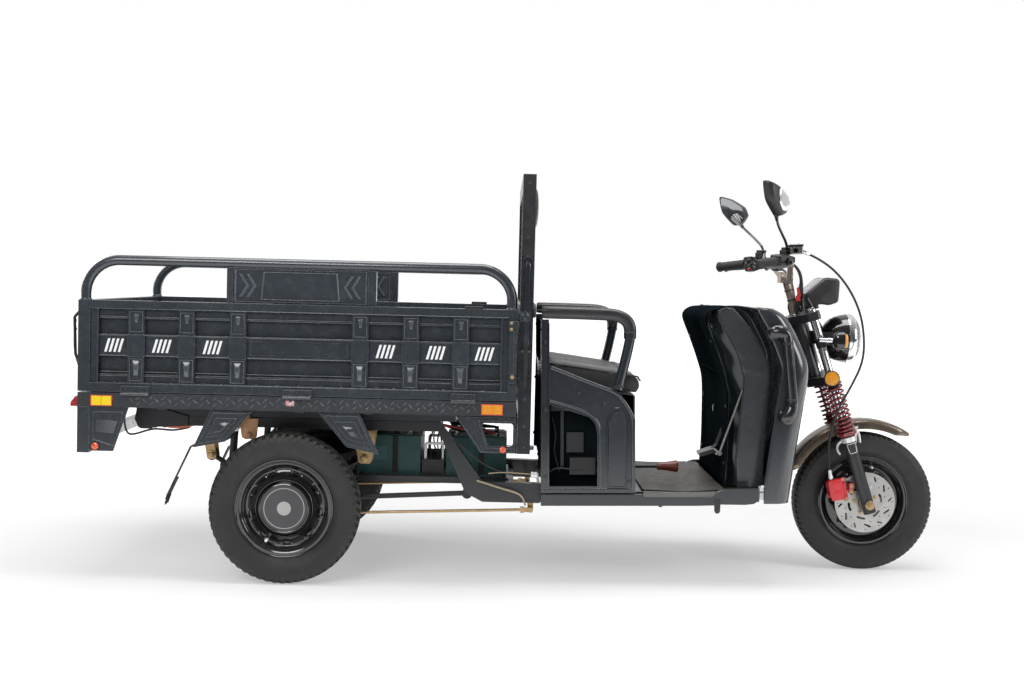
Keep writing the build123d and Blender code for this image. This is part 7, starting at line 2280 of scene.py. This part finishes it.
# ---------------------------------------------------------------- camera, floor and light
def set_camera():
    yaw, pitch, roll = radians(-0.3969), radians(2.5191), radians(-1.4126)
    right = Vector((cos(yaw), sin(yaw), 0))
    ahead = Vector((-sin(yaw), cos(yaw), 0))
    above = Vector((0, 0, 1))
    aim = ahead * cos(pitch) - above * sin(pitch)
    above = above * cos(pitch) + ahead * sin(pitch)
    side = right * cos(roll) - above * sin(roll)
    top = above * cos(roll) + right * sin(roll)
    data = bpy.data.cameras.new("camera")
    data.sensor_width = 36.0
    data.lens = 49.28
    data.clip_end = 100.0
    camera = bpy.data.objects.new("camera", data)
    place = Matrix((side, top, -aim)).transposed().to_4x4()
    place.translation = Vector((-0.0733, -5.1710, 1.0393))
    camera.matrix_world = place
    bpy.context.scene.collection.objects.link(camera)
    bpy.context.scene.camera = camera


def add_floor():
    reach = 60.0
    mesh = bpy.data.meshes.new("floor")
    mesh.from_pydata([(-reach, -reach, 0), (reach, -reach, 0), (reach, reach, 0), (-reach, reach, 0)], [],
                     [(0, 1, 2, 3)])
    tree = Tree("pale_floor")
    tree.set(Roughness=1.0, Specular_IOR_Level=0.0)
    parts = tree.add("SeparateXYZ")
    tree.link(tree.place, parts.inputs[0])
    # behind the camera the floor is in the dark part of the studio, which only reflections show
    lit = tree.spread(parts.outputs["Y"], 0.05, 1.0, -4.4, -1.8)
    path = tree.add("LightPath")
    straight = tree.math("MAXIMUM", path.outputs["Is Camera Ray"], path.outputs["Is Transmission Ray"])
    # seen straight on, part of the floor's white is glow, so its shadow is as pale and soft as on a lit sweep
    bounced = tree.blend(lit, (0.10, 0.10, 0.10), (0.84, 0.84, 0.84))
    tree.link(tree.blend(straight, bounced, (0.50, 0.50, 0.50)), tree.shader.inputs["Base Color"])
    mirrored_glow = tree.math("MULTIPLY", path.outputs["Is Glossy Ray"], lit)
    seen = tree.math("MAXIMUM", straight, mirrored_glow)
    glow = tree.add("Emission")
    glow.inputs["Color"].default_value = (1, 1, 1, 1)
    flat = tree.add("VectorMath", operation="MULTIPLY")
    tree.link(tree.place, flat.inputs[0])
    flat.inputs[1].default_value = (0.62, 1.0, 0.0)
    away = tree.add("VectorMath", operation="LENGTH")
    tree.link(flat.outputs["Vector"], away.inputs[0])
    tree.link(tree.math("MULTIPLY", seen, tree.spread(away.outputs["Value"], 0.38, 1.0, 1.5, 4.2)),
              glow.inputs["Strength"])
    both = tree.add("AddShader")
    output = [n for n in tree.nodes if n.bl_idname == "ShaderNodeOutputMaterial"][0]
    tree.link(tree.shader.outputs[0], both.inputs[0])
    tree.link(glow.outputs[0], both.inputs[1])
    tree.link(both.outputs[0], output.inputs["Surface"])
    mesh.materials.append(tree.material)
    floor = bpy.data.objects.new("floor", mesh)
    bpy.context.scene.collection.objects.link(floor)


def set_world():
    world = bpy.data.worlds.new("studio")
    world.use_nodes = True
    bpy.context.scene.world = world
    made = world.node_tree.nodes
    links = world.node_tree.links
    made.clear()
    output = made.new("ShaderNodeOutputWorld")
    path = made.new("ShaderNodeLightPath")
    lamp = made.new("ShaderNodeBackground")
    lamp.inputs["Strength"].default_value = 0.62
    place = made.new("ShaderNodeTexCoord")
    split = made.new("ShaderNodeSeparateXYZ")
    links.new(place.outputs["Generated"], split.inputs[0])
    fade = made.new("ShaderNodeMapRange")
    fade.inputs["From Min"].default_value = -0.9
    fade.inputs["From Max"].default_value = 0.5
    fade.inputs["To Min"].default_value = 0.16
    fade.inputs["To Max"].default_value = 1.0
    links.new(split.outputs["Y"], fade.inputs["Value"])
    glossy = made.new("ShaderNodeBackground")
    links.new(fade.outputs["Result"], glossy.inputs["Strength"])
    white = made.new("ShaderNodeBackground")
    white.inputs["Color"].default_value = (1, 1, 1, 1)
    direct = made.new("ShaderNodeMath")
    direct.operation = "MAXIMUM"
    links.new(path.outputs["Is Camera Ray"], direct.inputs[0])
    links.new(path.outputs["Is Transmission Ray"], direct.inputs[1])
    first = made.new("ShaderNodeMixShader")
    links.new(path.outputs["Is Glossy Ray"], first.inputs[0])
    links.new(lamp.outputs[0], first.inputs[1])
    links.new(glossy.outputs[0], first.inputs[2])
    last = made.new("ShaderNodeMixShader")
    links.new(direct.outputs[0], last.inputs[0])
    links.new(first.outputs[0], last.inputs[1])
    links.new(white.outputs[0], last.inputs[2])
    links.new(last.outputs[0], output.inputs["Surface"])


def softbox(name, place, aim, size, power):
    data = bpy.data.lights.new(name, "AREA")
    data.shape = "RECTANGLE"
    data.size, data.size_y = size
    data.energy = power
    lamp = bpy.data.objects.new(name, data)
    lamp.location = place
    lamp.rotation_mode = "QUATERNION"
    lamp.rotation_quaternion = (Vector(aim) - Vector(place)).to_track_quat("-Z", "Y")
    bpy.context.scene.collection.objects.link(lamp)


set_camera()
add_floor()
set_world()
softbox("top_light", (0.0, -0.3, 3.6), (0.0, 0.0, 0.6), (3.6, 1.6), 110)
softbox("key_light", (-1.6, -3.6, 2.6), (-0.2, 0.0, 0.6), (2.0, 1.4), 70)
softbox("front_light", (3.6, -1.6, 1.8), (0.9, 0.0, 0.6), (1.2, 1.8), 45)
softbox("rear_light", (-3.4, 1.8, 2.2), (-0.6, 0.0, 0.7), (1.6, 1.6), 40)
